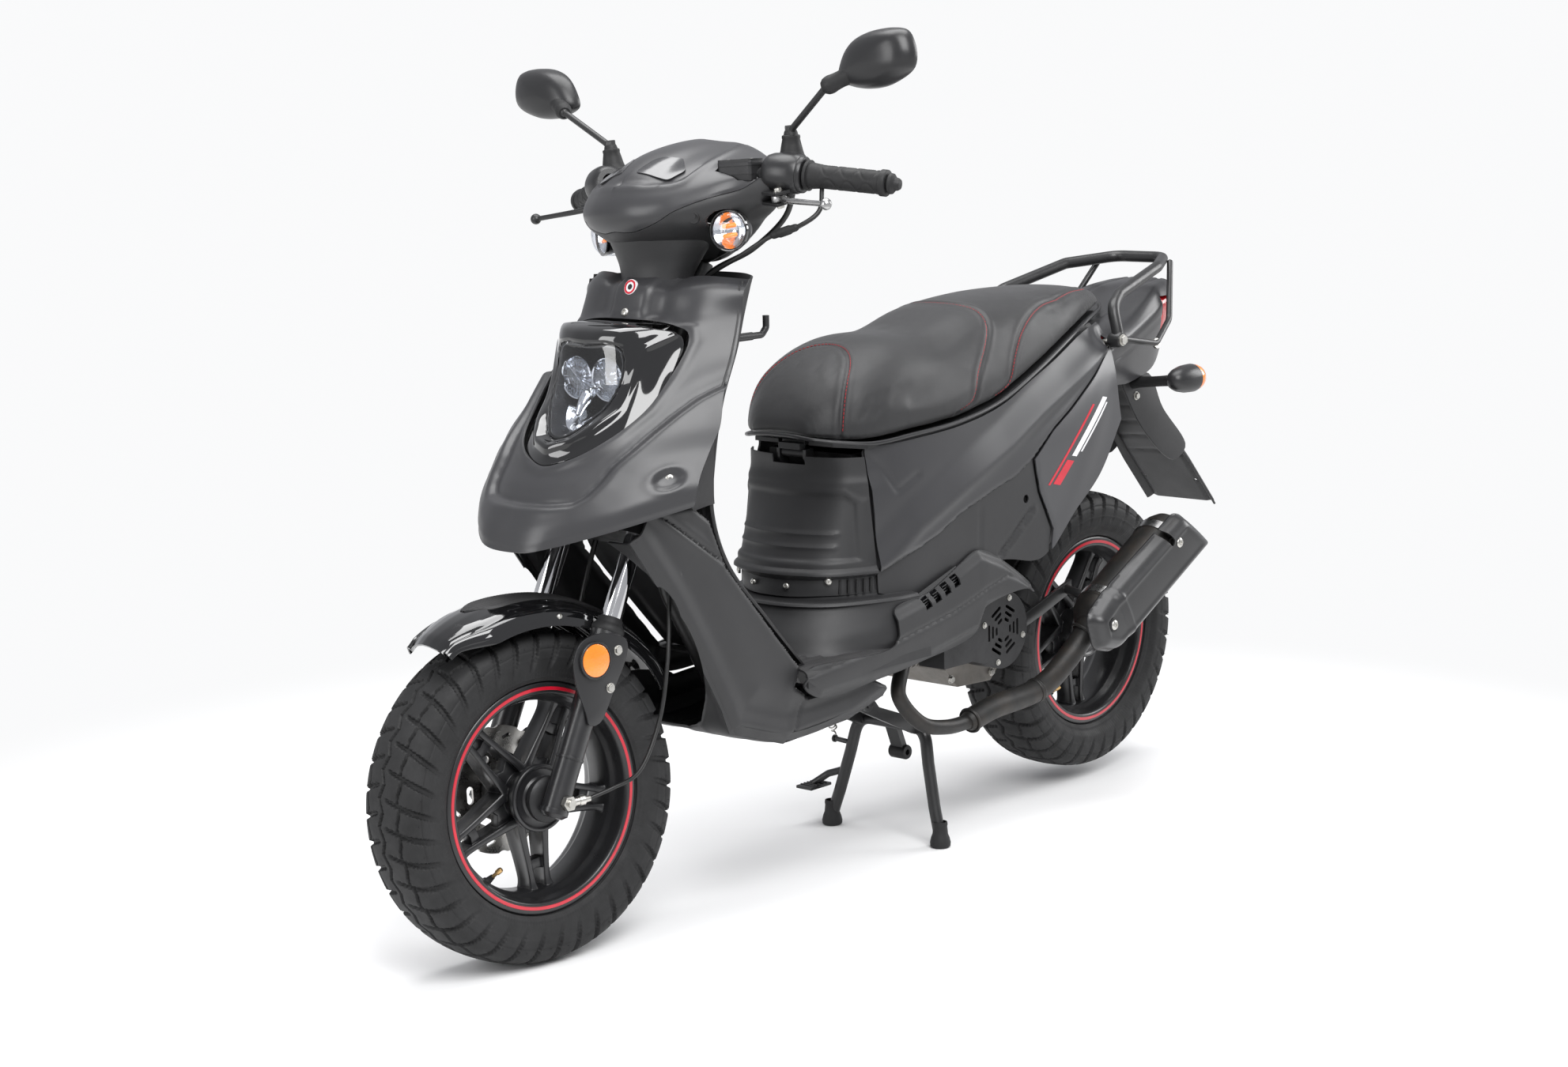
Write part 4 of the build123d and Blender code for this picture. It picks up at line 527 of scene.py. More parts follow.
M["floor"] = mat("floor_plastic", (.017, .017, .018), .58, var=.18, vscale=11, rvar=.06,
                 grain=(1100, .55, 3, .2), spec=.45, dust=.05)
M["smooth"] = mat("smooth_plastic", (.016, .016, .017), .34, var=.12, vscale=8, rvar=.05,
                  grain=(2000, .10, 2, .1), spec=.5, bevel=.8, wear=((.06, .06, .06), .3))
M["vinyl"] = mat("seat_vinyl", (.020, .020, .021), .46, var=.12, vscale=10, rvar=.06,
                 leather=(820, .30), grain=(260, .10, 5, .5), spec=.42, sheen=.08)
M["vinyl2"] = mat("seat_vinyl_centre", (.024, .024, .025), .52, var=.12, vscale=10, rvar=.06,
                  leather=(560, .42), grain=(220, .12, 5, .5), spec=.40, sheen=.10)
M["thread"] = mat("red_thread", (.33, .012, .018), .6, var=.2, vscale=300, grain=(5000, .5, 2, .1))
M["tyre"] = mat("tyre_rubber", (.0125, .0125, .0130), .66, var=.30, vscale=26, rvar=.09,
                grain=(900, .35, 5, .25), spec=.42, dust=.0, bevel=1.0)
M["rubber"] = mat("soft_rubber", (.012, .012, .0125), .58, var=.2, vscale=30, rvar=.08,
                  grain=(1700, .3, 3, .12), spec=.4, bevel=.8)
M["rim"] = mat("rim_satin_black", (.011, .011, .012), .33, var=.15, vscale=14, rvar=.06,
               grain=(1300, .14, 3, .12), spec=.55, bevel=1.5, coat=.2, coat_rough=.2,
               wear=((.05, .05, .05), .5))
M["red"] = mat("pinstripe_red", (.46, .006, .022), .32, var=.10, vscale=40, rvar=.05,
               grain=(1500, .05, 2, .05), coat=.5)
M["chrome"] = mat("chrome", (.74, .74, .75), .09, 1.0, var=.05, vscale=16, rvar=.05,
                  grain=(420, .03, 3, .1))
M["steel"] = mat("brushed_steel", (.42, .42, .42), .30, 1.0, var=.18, vscale=30, rvar=.10,
                 grain=(1200, .25, 3, .08), streak=(700, (.20, .19, .18), (1, 1, 14), .5))
M["zinc"] = mat("zinc_plate", (.52, .51, .48), .34, 1.0, var=.16, vscale=60, rvar=.12,
                grain=(900, .22, 3, .1), bevel=.5)
M["disc"] = mat("brake_disc_steel", (.50, .49, .47), .30, 1.0, var=.12, vscale=22, rvar=.09,
                grain=(1500, .15, 3, .06), bevel=.4, streak=(90, (.25, .22, .19), (1, 1, 1), .35))
M["alu"] = mat("cast_aluminium", (.26, .245, .225), .52, .85, var=.25, vscale=24, rvar=.12,
               grain=(760, .45, 5, .35), bevel=1.6, streak=(24, (.09, .075, .06), (1, 1, 1), .6),
               wear=((.5, .48, .45), .6))
M["alublack"] = mat("black_cast", (.020, .020, .021), .48, .3, var=.22, vscale=20, rvar=.1,
                    grain=(900, .4, 4, .25), bevel=1.4, wear=((.12, .12, .12), .6))
M["frame"] = mat("powder_black", (.012, .012, .0125), .40, var=.14, vscale=18, rvar=.06,
                 grain=(680, .20, 2, .18), spec=.5, coat=.15, coat_rough=.2, bevel=1.0,
                 wear=((.07, .07, .07), .4))
M["exhaust"] = mat("exhaust_black", (.013, .0125, .012), .50, .15, var=.30, vscale=16, rvar=.1,
                   grain=(1000, .30, 4, .15), streak=(20, (.045, .032, .022), (1, 1, 1), .45),
                   bevel=1.2, wear=((.08, .07, .06), .5))
M["shieldmetal"] = mat("heat_shield_satin", (.030, .030, .031), .34, .35, var=.12, vscale=9,
                       rvar=.05, grain=(1700, .12, 2, .08), spec=.55, coat=.2, coat_rough=.25, bevel=1.4)
# The emission gives this amber finish a faint painted glow. That glow is painted light on the fender reflectors and the
# starter cap, which are not lamps.
M["amber"] = mat("amber_reflector", (.80, .20, .012), .16, var=.12, vscale=30, rvar=.05,
                 grain=(380, .9, 0, .5), coat=1.0, coat_rough=.05, emis=((1, .22, .01), .10))
M["bulb"] = mat("amber_bulb", (.95, .22, .02), .15, var=.05, vscale=60, emis=((1, .25, .02), .6), coat=1.0)
M["redlens"] = mat("red_lens", (.42, .006, .010), .12, var=.10, vscale=30, rvar=.04,
                   grain=(420, .7, 0, .4), coat=1.0, coat_rough=.04, emis=((.8, .01, .01), .04))
M["silver"] = mat("reflector_silver", (.86, .87, .88), .11, 1.0, var=.05, vscale=40, rvar=.05,
                  grain=(260, .35, 1, .6))
M["mirror"] = mat("mirror_glass", (.80, .82, .84), .02, 1.0, var=.01, vscale=8, rvar=.01,
                  grain=(60, .01, 1, .1))
M["white"] = mat("decal_white", (.62, .62, .63), .42, var=.05, vscale=60, rvar=.04, grain=(1200, .05, 2, .05))
M["brown"] = mat("hose_black", (.010, .010, .010), .42, var=.2, vscale=60, rvar=.06, grain=(1800, .25, 2, .1))
M["dial"] = mat("dial_black", (.006, .006, .007), .25, var=.1, vscale=60, rvar=.05, grain=(1600, .05, 2, .05), coat=.6)
M["copper"] = mat("brass_fitting", (.55, .36, .16), .34, 1.0, var=.15, vscale=90, rvar=.1, grain=(900, .2, 3, .1), bevel=.4)
M["foam"] = mat("foam_filter", (.02, .02, .02), .85, var=.2, vscale=60, rvar=.05, grain=(700, .8, 2, .4))


def glass(name, tint=(1, 1, 1), refl=.12, rough=.03, ribs=None):
    """Thin clear moulding: mostly see-through, with a glossy skin and faint flutes."""
    m = bpy.data.materials.new(name)
    m.use_nodes = True
    nt = m.node_tree
    L = nt.links.new
    for n in list(nt.nodes):
        nt.nodes.remove(n)
    out = nt.nodes.new("ShaderNodeOutputMaterial")
    mx = nt.nodes.new("ShaderNodeMixShader")
    tr = nt.nodes.new("ShaderNodeBsdfTransparent")
    gl = nt.nodes.new("ShaderNodeBsdfPrincipled")
    fr = nt.nodes.new("ShaderNodeFresnel")
    fr.inputs["IOR"].default_value = 1.5
    tc = nt.nodes.new("ShaderNodeTexCoord")
    nz = nt.nodes.new("ShaderNodeTexNoise")
    nz.inputs["Scale"].default_value = 40
    L(tc.outputs["Object"], nz.inputs["Vector"])
    cr = nt.nodes.new("ShaderNodeMix"); cr.data_type = "RGBA"
    cr.inputs[6].default_value = (*[c * .96 for c in tint], 1)
    cr.inputs[7].default_value = (*tint, 1)
    L(nz.outputs["Fac"], cr.inputs[0])
    L(cr.outputs[2], tr.inputs["Color"])
    gl.inputs["Base Color"].default_value = (.9, .9, .9, 1)
    gl.inputs["Roughness"].default_value = rough
    gl.inputs["Metallic"].default_value = 1.0
    bp = nt.nodes.new("ShaderNodeBump")
    if ribs:
        wv = nt.nodes.new("ShaderNodeTexWave")
        wv.bands_direction = ribs[0]
        wv.inputs["Scale"].default_value = ribs[1]
        wv.inputs["Distortion"].default_value = ribs[3] if len(ribs) > 3 else 0
        L(tc.outputs["Object"], wv.inputs["Vector"])
        L(wv.outputs["Fac"], bp.inputs["Height"])
        bp.inputs["Strength"].default_value = ribs[2]
        bp.inputs["Distance"].default_value = .0006
    else:
        L(nz.outputs["Fac"], bp.inputs["Height"])
        bp.inputs["Strength"].default_value = .05
        bp.inputs["Distance"].default_value = .0003
    L(bp.outputs["Normal"], gl.inputs["Normal"])
    L(bp.outputs["Normal"], fr.inputs["Normal"])
    ad = nt.nodes.new("ShaderNodeMath"); ad.operation = "ADD"; ad.use_clamp = True
    L(fr.outputs["Fac"], ad.inputs[0])
    ad.inputs[1].default_value = refl
    gb = nt.nodes.new("ShaderNodeNewGeometry")
    fb = nt.nodes.new("ShaderNodeMath"); fb.operation = "SUBTRACT"
    fb.inputs[0].default_value = 1.0
    L(gb.outputs["Backfacing"], fb.inputs[1])
    mb = nt.nodes.new("ShaderNodeMath"); mb.operation = "MULTIPLY"
    L(ad.outputs[0], mb.inputs[0])
    L(fb.outputs[0], mb.inputs[1])
    L(mb.outputs[0], mx.inputs[0])
    L(tr.outputs[0], mx.inputs[1])
    L(gl.outputs["BSDF"], mx.inputs[2])
    L(mx.outputs[0], out.inputs["Surface"])
    return m


M["lens"] = glass("clear_lens", (.97, .98, 1.0), .04, .03)
M["lensrib"] = glass("fluted_lens", (.97, .98, 1.0), .10, .06, ("X", 110, .6))

NODE_MAT = dict(
    main_frame="frame", steering_bearings="steel", front_shield="body", headlight_unit="gloss",
    headlight_lens="lens", leg_shield="trim", floor_panel="trim", lower_fairing="trim",
    underseat_cover="trim", side_panels="body", tail_cover="body", tail_light="redlens",
    rear_mudguard="trim", rear_indicators="smooth", grab_rail="frame", fuel_tank="frame",
    storage_bucket="trim", ignition_switch="steel", bag_hook="smooth", seat_cushion="vinyl",
    seat_base="trim", steering_stem="frame", fork_stanchions="chrome", handlebar="frame",
    bar_cover_front="body", bar_cover_rear="trim", instrument_panel="smooth",
    front_indicators="lensrib", lever_perches="alublack", fixed_grip="rubber",
    mirror_stems="frame", throttle_grip="rubber", brake_lever_left="frame",
    brake_lever_right="frame", mirror_head_left="smooth", mirror_head_right="smooth",
    starter_button="amber", fork_lowers="rim", front_fender="gloss", brake_caliper="alublack",
    side_reflectors="smooth", front_axle="zinc", front_rim="rim", front_tyre="tyre",
    brake_disc="disc", engine_case="alu", fan_shroud="alublack", cvt_cover="alublack",
    air_box="trim", exhaust="exhaust", muffler_shield="shieldmetal", cooling_fan="smooth",
    rear_rim="rim", rear_tyre="tyre", kick_starter="steel", rear_brake_arm="zinc",
    shock_body="frame", shock_spring="frame", shock_rod="chrome", center_stand="frame")
for n_, o_ in NODES.items():
    o_.data.materials.clear()
    o_.data.materials.append(M[NODE_MAT[n_]])
    for p_ in o_.data.polygons:
        p_.material_index = 0
# ------------------------------------------------------------ tyres
def smooth01(x):
    x = np.clip(x, 0, 1)
    return x * x * (3 - 2 * x)


def tyre(name, axle, r, w, body, node, steered, pitch_n=38, phase=0.0):
    """Block-tread tyre: the carcass is one revolved skin, grooves are cut into it."""
    h = w / 2
    half = [(36, 152.4), (44, 153.6), (44.8, 160), (46.5, 165.8), (49.5, 168), (51.2, 166.6), (52.6, 168.2),
            (55.5, 176), (h - 2.4, 186), (h - .6, 196), (h, 206), (h - .8, 215),
            (h - 3.5, 222.5), (h - 8, r - 11.5), (h - 14, r - 7.6), (h - 22, r - 4.4), (h - 33, r - 2), (14, r - .5), (0, r)]
    prof_side = spline(half[:12], 46)
    prof_tread = spline(half[11:], 44)
    left = np.vstack([prof_side[:-1], prof_tread])
    prof = np.vstack([left, left[::-1][1:] * [-1, 1]])
    # arc length from the crown
    seg = np.linalg.norm(np.diff(prof, axis=0), axis=1)
    s = np.concatenate([[0], np.cumsum(seg)])
    s -= s[len(left) - 1]
    nrm = np.gradient(prof, axis=0)
    nrm = np.stack([nrm[:, 1], -nrm[:, 0]], 1)
    nrm /= np.linalg.norm(nrm, axis=1)[:, None]
    n_phi = 684
    phi = np.arange(n_phi) / n_phi
    PH, SS = np.meshgrid(phi, s, indexing="ij")
    a = np.abs(SS)
    sgn = np.sign(SS)
    # transverse grooves sweep round as they run out to the shoulder
    sweep = .62 * (a / 82) ** 1.35
    pitch = 2 * pi * r / pitch_n
    ph = PH * pitch_n + phase + sweep + np.where(SS > 0, .5, 0)
    dist = np.abs((ph - np.round(ph))) * pitch * .93
    width = np.interp(a, [0, 12, 30, 60, 86, 100], [1.5, 1.8, 2.4, 3.4, 3.8, 3.0])
    depth = np.interp(a, [0, 6, 10, 40, 74, 92, 104], [0, 0, 4.4, 5.6, 5.2, 2.2, 0])
    g = depth * (1 - smooth01((dist - width) / 1.1))
    # zig-zag centre groove
    tri = np.abs(((PH * pitch_n + phase) % 1) - .5) * 4 - 1
    zc = np.abs(SS - 4.5 * tri)
    g = np.maximum(g, 5.0 * (1 - smooth01((zc - 2.0) / 1.1)))
    # stepped intermediate grooves
    tri2 = np.abs(((ph + .25) % 1) - .5) * 4 - 1
    z2 = np.abs(a - (36 + 2.6 * tri2))
    on = ((ph % 1) > .02)
    g = np.maximum(g, np.where(on, 4.6 * (1 - smooth01((z2 - 1.7) / 1.0)), 0))
    # shoulder line and short sipes
    z3 = np.abs(a - 72)
    sip = np.abs(((ph + .5) % 1) - .5) * pitch
    g = np.maximum(g, np.where((a > 44) & (a < 66), 2.4 * (1 - smooth01((sip - .7) / .8)), 0))
    g = np.maximum(g, np.where(a < 96, 1.1 * (1 - smooth01((z3 - .9) / .9)), 0))
    # wall: fine serrations near the shoulder and a raised bead band
    rr = prof[None, :, 1]
    serr = .35 * (np.sin(PH * 2 * pi * 220) > .2) * ((a > 104) & (a < 116))
    band = .9 * smooth01((rr - 171) / 1.2) * (1 - smooth01((rr - 174.5) / 1.2)) * (a > 60)
    band2 = .7 * smooth01((rr - 199) / 1.0) * (1 - smooth01((rr - 201) / 1.0)) * (a > 60)
    disp = -g + serr + band + band2
    Y = prof[None, :, 0] + nrm[None, :, 0] * disp
    RR = prof[None, :, 1] + nrm[None, :, 1] * disp
    ang = PH * 2 * pi
    P = np.stack([axle[0] + RR * np.cos(ang), Y + 0 * RR, axle[2] + RR * np.sin(ang)], -1).reshape(-1, 3)
    faces = grid_faces(n_phi, len(prof), wrap_r=True)
    # inner skin closes the carcass
    inn = np.array([(-36, 152.4), (-36, 164), (-42, 172), (-(h - 12), 186), (-(h - 9), 202), (-(h - 14), r - 26),
                    (-(h - 26), r - 16), (0, r - 13), (h - 26, r - 16), (h - 14, r - 26), (h - 9, 202), (h - 12, 186), (42, 172), (36, 164), (36, 152.4)])
    ai = phi * 2 * pi
    Q = np.stack([axle[0] + inn[None, :, 1] * np.cos(ai)[:, None], 0 * ai[:, None] + inn[None, :, 0],
                  axle[2] + inn[None, :, 1] * np.sin(ai)[:, None]], -1).reshape(-1, 3)
    faces += grid_faces(n_phi, len(inn), wrap_r=True, off=len(P))
    o = make(name, np.vstack([P, Q]), faces, M["tyre"], body, steered=steered, smooth=40,
             weld=.02, replaces=(node,), slot="tyre")
    # vent hairs: short rubber whiskers on the shoulder
    rng = np.random.default_rng(5)
    G = Geo()
    for k in range(34):
        t = 2 * pi * k / 34 + rng.uniform(-.03, .03)
        for sd in (1, -1):
            rad_ = r - 24 + rng.uniform(-3, 3)
            p = axle + np.array([rad_ * cos(t), sd * (h - 2.6), rad_ * sin(t)])
            q = p + np.array([0, sd * 3.2, 0]) + np.array([cos(t), 0, sin(t)]) * rng.uniform(-.4, 1.4)
            G.tube([p, q], [.5, .3], seg=5)
    G.out(name + "_vents", M["tyre"], body, steered=steered, slot="tyre")
    return o


def rim(name, axle, hubl, hubr, body, node, steered, bore=6.6, drum=False):
    G = Geo()
    ay = np.array([0, 1.0, 0])
    prof = [(-51, 150.5), (-51.2, 155), (-51.2, 161), (-50, 164.2), (-48.5, 165.2), (-46.8, 164.4), (-46, 161), (-45.6, 154.5), (-44, 152.6),
            (-38, 151.6), (-31, 150.5), (-27, 146), (-23, 142.4), (0, 141.6), (23, 142.4), (27, 146), (31, 150.5), (38, 151.6), (44, 152.6), (45.6, 154.5),
            (46, 161), (46.8, 164.4), (48.5, 165.2), (50, 164.2), (51.2, 161), (51.2, 155), (51, 150.5), (49.4, 148.6),
            (44, 146.5), (36, 144.4), (30, 142.2), (25.5, 138.4), (22, 137.0), (0, 136.6), (-22, 137.0), (-25.5, 138.4), (-30, 142.2), (-36, 144.4), (-44, 146.5), (-49.4, 148.6), (-51, 150.5)]
    G.lathe(prof, axle, ay, 144)
    # hub with a dished face and a ring step
    G.lathe([(-hubr, bore), (-hubr, 30), (-hubr + 3, 33), (-30, 34.5), (0, 37), (hubl - 24, 40), (hubl - 14, 47),
             (hubl - 4, 49), (hubl - 1, 47.5), (hubl - .5, 44), (hubl - 3.5, 41.5), (hubl - 3.5, 31), (hubl - 1, 29), (hubl, 26), (hubl, bore),
             (-hubr, bore)], axle, ay, 96)
    for ang in (-95, -23, 49, 121, 193):
        c, s = cos(rad(ang)), sin(rad(ang))
        e = np.array([c, 0, s])
        t = np.array([-s, 0, c])

        def P(r_, off, y):
            return axle + e * r_ + t * off + ay * y
        for sg in (1, -1):
            # one rib: I-section bar, broad at the hub, sweeping in, flaring at the rim
            st = [(28, 21, 8.0, 17, -2), (44, 20.5, 6.6, 17.5, -2), (70, 18.2, 5.3, 17, -3), (98, 15.2, 4.7, 16, -3),
                  (122, 13.2, 4.8, 15.5, -3), (134, 13.4, 6.2, 17, -3), (141, 14.2, 9.0, 19, -3)]
            rows = []
            for r_, off, hw, hy, yc in st:
                sec = []
                for k, (a_, b_) in enumerate([(1, 1), (.55, 1.08), (-.55, 1.08), (-1, 1), (-.72, .55), (-.5, .2), (-.5, -.2), (-.72, -.55),
                                              (-1, -1), (-.55, -1.08), (.55, -1.08), (1, -1), (.72, -.55), (.5, -.2), (.5, .2), (.72, .55)]):
                    sec.append(P(r_, sg * (off + a_ * hw), yc + b_ * hy))
                rows.append(sec)
            rows = np.array(rows)
            D = np.array([spline_at(rows[:, c_], np.linspace(0, len(st) - 1, 22)) for c_ in range(rows.shape[1])]).transpose(1, 0, 2)
            f = grid_faces(D.shape[0], D.shape[1], wrap_c=True)
            nn = D.shape[1]
            f += [list(range(nn))[::-1], list(range((D.shape[0] - 1) * nn, D.shape[0] * nn))]
            G.add(D.reshape(-1, 3), f)
        # webs that tie the two ribs together: a long one at the hub, a bridge near the rim
        for r0, r1, y0, y1, w0, w1 in ((30, 62, -12, 6, 19, 16.5), (95, 112, -12, 8, 14, 13)):
            out = [P(r0, -w0, y0), P(r0, w0, y0), P(r1, w1, y0), P((r1 * 2 + r0) / 3 + 2, 0, y0), P(r1, -w1, y0)]
            G.prism(out, ay * (y1 - y0))
    if drum:
        G.lathe([(-58, 30), (-58, 58), (-56, 60), (-38, 60), (-36, 58), (-36, 30), (-58, 30)], axle, ay, 64)
    o = G.out(name, M["rim"], body, steered=steered, smooth=36, bevel=.9, bseg=2, replaces=(node,), slot="rim_black")
    # pinstripe round both flanges
    S = Geo()
    for sg in (1, -1):
        S.lathe([(sg * 51.15, 153.6), (sg * 51.75, 154.0), (sg * 51.75, 158.2), (sg * 51.15, 158.6), (sg * 51.15, 153.6)], axle, ay, 180)
    S.out(name + "_pinstripe", M["red"], body, steered=steered, slot="rim_black")
    # tyre valve with cap and clamp nut
    V_ = Geo()
    a = rad(-52)
    e = np.array([cos(a), 0, sin(a)])
    t = unit(np.array([0, .62, 0]) - e * .78)
    p = axle + e * 136.5 + ay * 16
    V_.lathe([(-3, .1), (-3, 7.5), (1, 7.2), (3, 5.2), (9, 4.2), (12, 4), (12, .1)], p, t, 18)
    V_.out(name + "_valve", M["rubber"], body, steered=steered, slot="rubber")
    V2 = Geo()
    V2.lathe([(12, .1), (12, 2.7), (20, 2.7), (20.2, 4.1), (27, 4.1), (29, 3.2), (29, .1)], p, t, 12)
    V2.out(name + "_valve_cap", M["copper"], body, steered=steered, slot="zinc")
    return o


tyre("tyre_front", FRONT_AXLE, 240.0, 122.0, "front_wheel", "front_tyre", True)
tyre("tyre_rear", REAR_AXLE, 243.0, 130.0, "rear_wheel", "rear_tyre", False, phase=.3)
rim("rim_front", FRONT_AXLE, 46, 58, "front_wheel", "front_rim", True)
rim("rim_rear", REAR_AXLE, 46, 58, "rear_wheel", "rear_rim", False, bore=8.6, drum=True)
# ------------------------------------------------------------ seat
SEAT_ST = [(99, 46, 690, 712), (92, 66, 684, 728), (70, 92, 680, 757), (20, 127, 675, 800), (-60, 143, 681, 829), (-170, 149, 690, 831),
           (-280, 146, 710, 861), (-400, 136, 752, 875), (-515, 118, 795, 877), (-590, 96, 815, 876),
           (-668, 62, 824, 866), (-706, 34, 828, 846)]


def seat_section(x, w, b, c, k=0.0):
    h = c - b
    w = w - k
    half = [(0, b + 5 + k), (.5 * w, b + 4 + k), (.86 * w, b + 2 + k), (w * .985, b + 5 + k), (w, b + .16 * h + k), (w * .995, b + .34 * h),
            (w * .93, b + .62 * h), (w * .78, b + .85 * h - k * .6), (w * .52, b + .96 * h - k), (w * .25, b + .995 * h - k), (0, c - k)]
    full = [(x, y, z) for y, z in half] + [(x, -y, z) for y, z in reversed(half[1:-1])]
    return full


def seat_grid(k):
    S = np.array([seat_section(*s, k=k) for s in SEAT_ST])
    us = np.linspace(0, len(S) - 1, (len(S) - 1) * 12 + 1)
    ring = S.shape[1]
    G = np.array([spline_at(S[:, c], us) for c in range(ring)]).transpose(1, 0, 2)
    return G


def seat():
    G = seat_grid(5.0)
    nr, nc = G.shape[:2]
    f = grid_faces(nr, nc, wrap_c=True) + [list(range(nc)), list(range((nr - 1) * nc, nr * nc))[::-1]]
    o = make("seat_cover", G.reshape(-1, 3), f, M["vinyl"], None, smooth=0, subsurf=1)
    bpy.context.view_layer.objects.active = o
    rm = o.modifiers.new("r", "REMESH")
    rm.mode = "VOXEL"
    rm.voxel_size = .0062
    bake(o)
    base = np.array([v.co for v in o.data.vertices])

    def base_z(x):
        xs = np.array([s[0] for s in SEAT_ST[::-1]]) * MM
        return np.interp(x, xs, np.array([s[2] for s in SEAT_ST[::-1]]) * MM)
    # the foam: soft dish under the rider, bolster in front of the pillion
    pin = o.vertex_groups.new(name="pin")
    low = base[:, 2] - base_z(base[:, 0])
    for i in range(len(base)):
        wgt = 1.0 if low[i] < .014 else (0.0 if low[i] > .045 else 1 - (low[i] - .014) / .031)
        if wgt > 0:
            pin.add([i], wgt, "REPLACE")
    cl = o.modifiers.new("cloth", "CLOTH")
    cs = cl.settings
    cs.quality = 5
    cs.mass = .4
    cs.use_pressure = True
    cs.uniform_pressure_force = 4.0
    cs.tension_stiffness = 28
    cs.compression_stiffness = 24
    cs.shear_stiffness = 12
    cs.bending_stiffness = 2.0
    cs.vertex_group_mass = "pin"
    cs.effector_weights.gravity = 0
    cl.collision_settings.use_self_collision = False
    cl.collision_settings.use_collision = False
    sc = bpy.context.scene
    sc.frame_start, sc.frame_end = 1, 20
    cl.point_cache.frame_start, cl.point_cache.frame_end = 1, 20
    for fr in range(1, 21):
        sc.frame_set(fr)
    dg = bpy.context.evaluated_depsgraph_get()
    ev = o.evaluated_get(dg)
    sim = np.array([v.co for v in ev.data.vertices])
    o.modifiers.clear()
    sc.frame_set(1)
    d = sim - base
    ln = np.linalg.norm(d, axis=1)
    cap = .007
    k = np.where(ln > 1e-9, np.minimum(ln, cap * np.tanh(ln / cap)) / np.maximum(ln, 1e-9), 0)
    new = base + d * k[:, None]
    # keep the underside flat on its base pan and inside the cushion's own space
    bz = base_z(new[:, 0])
    new[:, 2] = np.maximum(new[:, 2], bz + .001)
    o.data.vertices.foreach_set("co", new.astype(np.float32).ravel())
    o.data.update()
    sm = o.modifiers.new("sm", "SMOOTH"); sm.factor = .5; sm.iterations = 3
    su = o.modifiers.new("u", "SUBSURF"); su.levels = 1; su.render_levels = 1
    bake(o)
    o.data.materials.clear()
    o.data.materials.append(M["vinyl"])
    # sewn seams pulled into the surface
    from mathutils.bvhtree import BVHTree
    from mathutils.kdtree import KDTree
    dg = bpy.context.evaluated_depsgraph_get()

    def both(half, close=True):
        r_ = [(x, -y, z) for x, y, z in reversed(half if half[-1][1] > 1 else half[:-1])]
        return half + r_
    nose = both([(60, 93, 684), (59, 95, 712), (54, 94, 738), (38, 86, 772), (14, 72, 797), (-8, 52, 811), (-22, 26, 819), (-26, 0, 822)])
    mid = both([(-170, 148, 695), (-190, 150, 706), (-209, 150, 719), (-232, 145, 763), (-262, 136, 798), (-288, 122, 830), (-302, 100, 849),
                (-306, 75, 859), (-300, 40, 864), (-298, 0, 865)])
    rearL = [(-268, 146, 713), (-290, 146, 722), (-308, 145, 738), (-324, 142, 775), (-357, 132, 816), (-400, 118, 844), (-443, 104, 858),
             (-508, 90, 866), (-570, 71, 871), (-630, 50, 871), (-672, 22, 865), (-682, 0, 862)]
    rear = both(rearL)
    me = o.data
    bvh = BVHTree.FromPolygons([v.co for v in me.vertices], [p.vertices for p in me.polygons])

    def drape(P):
        Q, Nn = [], []
        for p in spline(P, 420):
            loc, nr_, _, _ = bvh.find_nearest(Vector(p * MM))
            Q.append(np.array(loc)); Nn.append(np.array(nr_))
        return np.array(Q), np.array(Nn)
    seams = [drape(s) for s in (nose, mid, rear)]
    allp = np.vstack([s[0] for s in seams])
    kd = KDTree(len(allp))
    for i, p in enumerate(allp):
        kd.insert(Vector(p), i)
    kd.balance()
    co = np.array([v.co for v in me.vertices])
    nn = np.array([v.normal for v in me.vertices])
    zlow = base_z(co[:, 0])
    for i, p in enumerate(co):
        _, _, dd = kd.find(Vector(p))
        if dd < .020:
            g = -.0022 * math.exp(-(dd / .0026) ** 2) + .0011 * math.exp(-((dd - .0085) / .0048) ** 2)
            co[i] = p + nn[i] * g
    me.vertices.foreach_set("co", co.astype(np.float32).ravel())
    me.update()
    me.shade_smooth()
    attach(o, "seat")
    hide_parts("seat_cushion")
    # stitches: short raised threads along each seam
    bvh = BVHTree.FromPolygons([v.co for v in me.vertices], [p.vertices for p in me.polygons])
    T_ = Geo()
    for (Q, Nn), off in zip(seams, (3.4, -3.4, 3.4)):
        d = np.linalg.norm(np.diff(Q, axis=0), axis=1)
        s = np.concatenate([[0], np.cumsum(d)])
        total = s[-1]
        n = int(total / .0062)
        for k in range(2, n - 2):
            a0, a1 = k * total / n, k * total / n + .0042
            pts = []
            for a in (a0, (a0 + a1) / 2, a1):
                p = np.array([np.interp(a, s, Q[:, c]) for c in range(3)])
                q = np.array([np.interp(a + 1e-4, s, Q[:, c]) for c in range(3)])
                m_ = np.array([np.interp(a, s, Nn[:, c]) for c in range(3)])
                side = unit(np.cross(q - p, m_)) * off * MM
                loc, nr_, _, _ = bvh.find_nearest(Vector(p + side))
                pts.append(np.array(loc) + np.array(nr_) * (.00025 if len(pts) == 1 else -.0003))
            if pts[0][2] < base_z(pts[0][0]) + .012:
                continue
            T_.tube(np.array(pts) / MM, .62, seg=6)
    T_.out("seat_stitching", M["thread"], "seat", slot="vinyl")
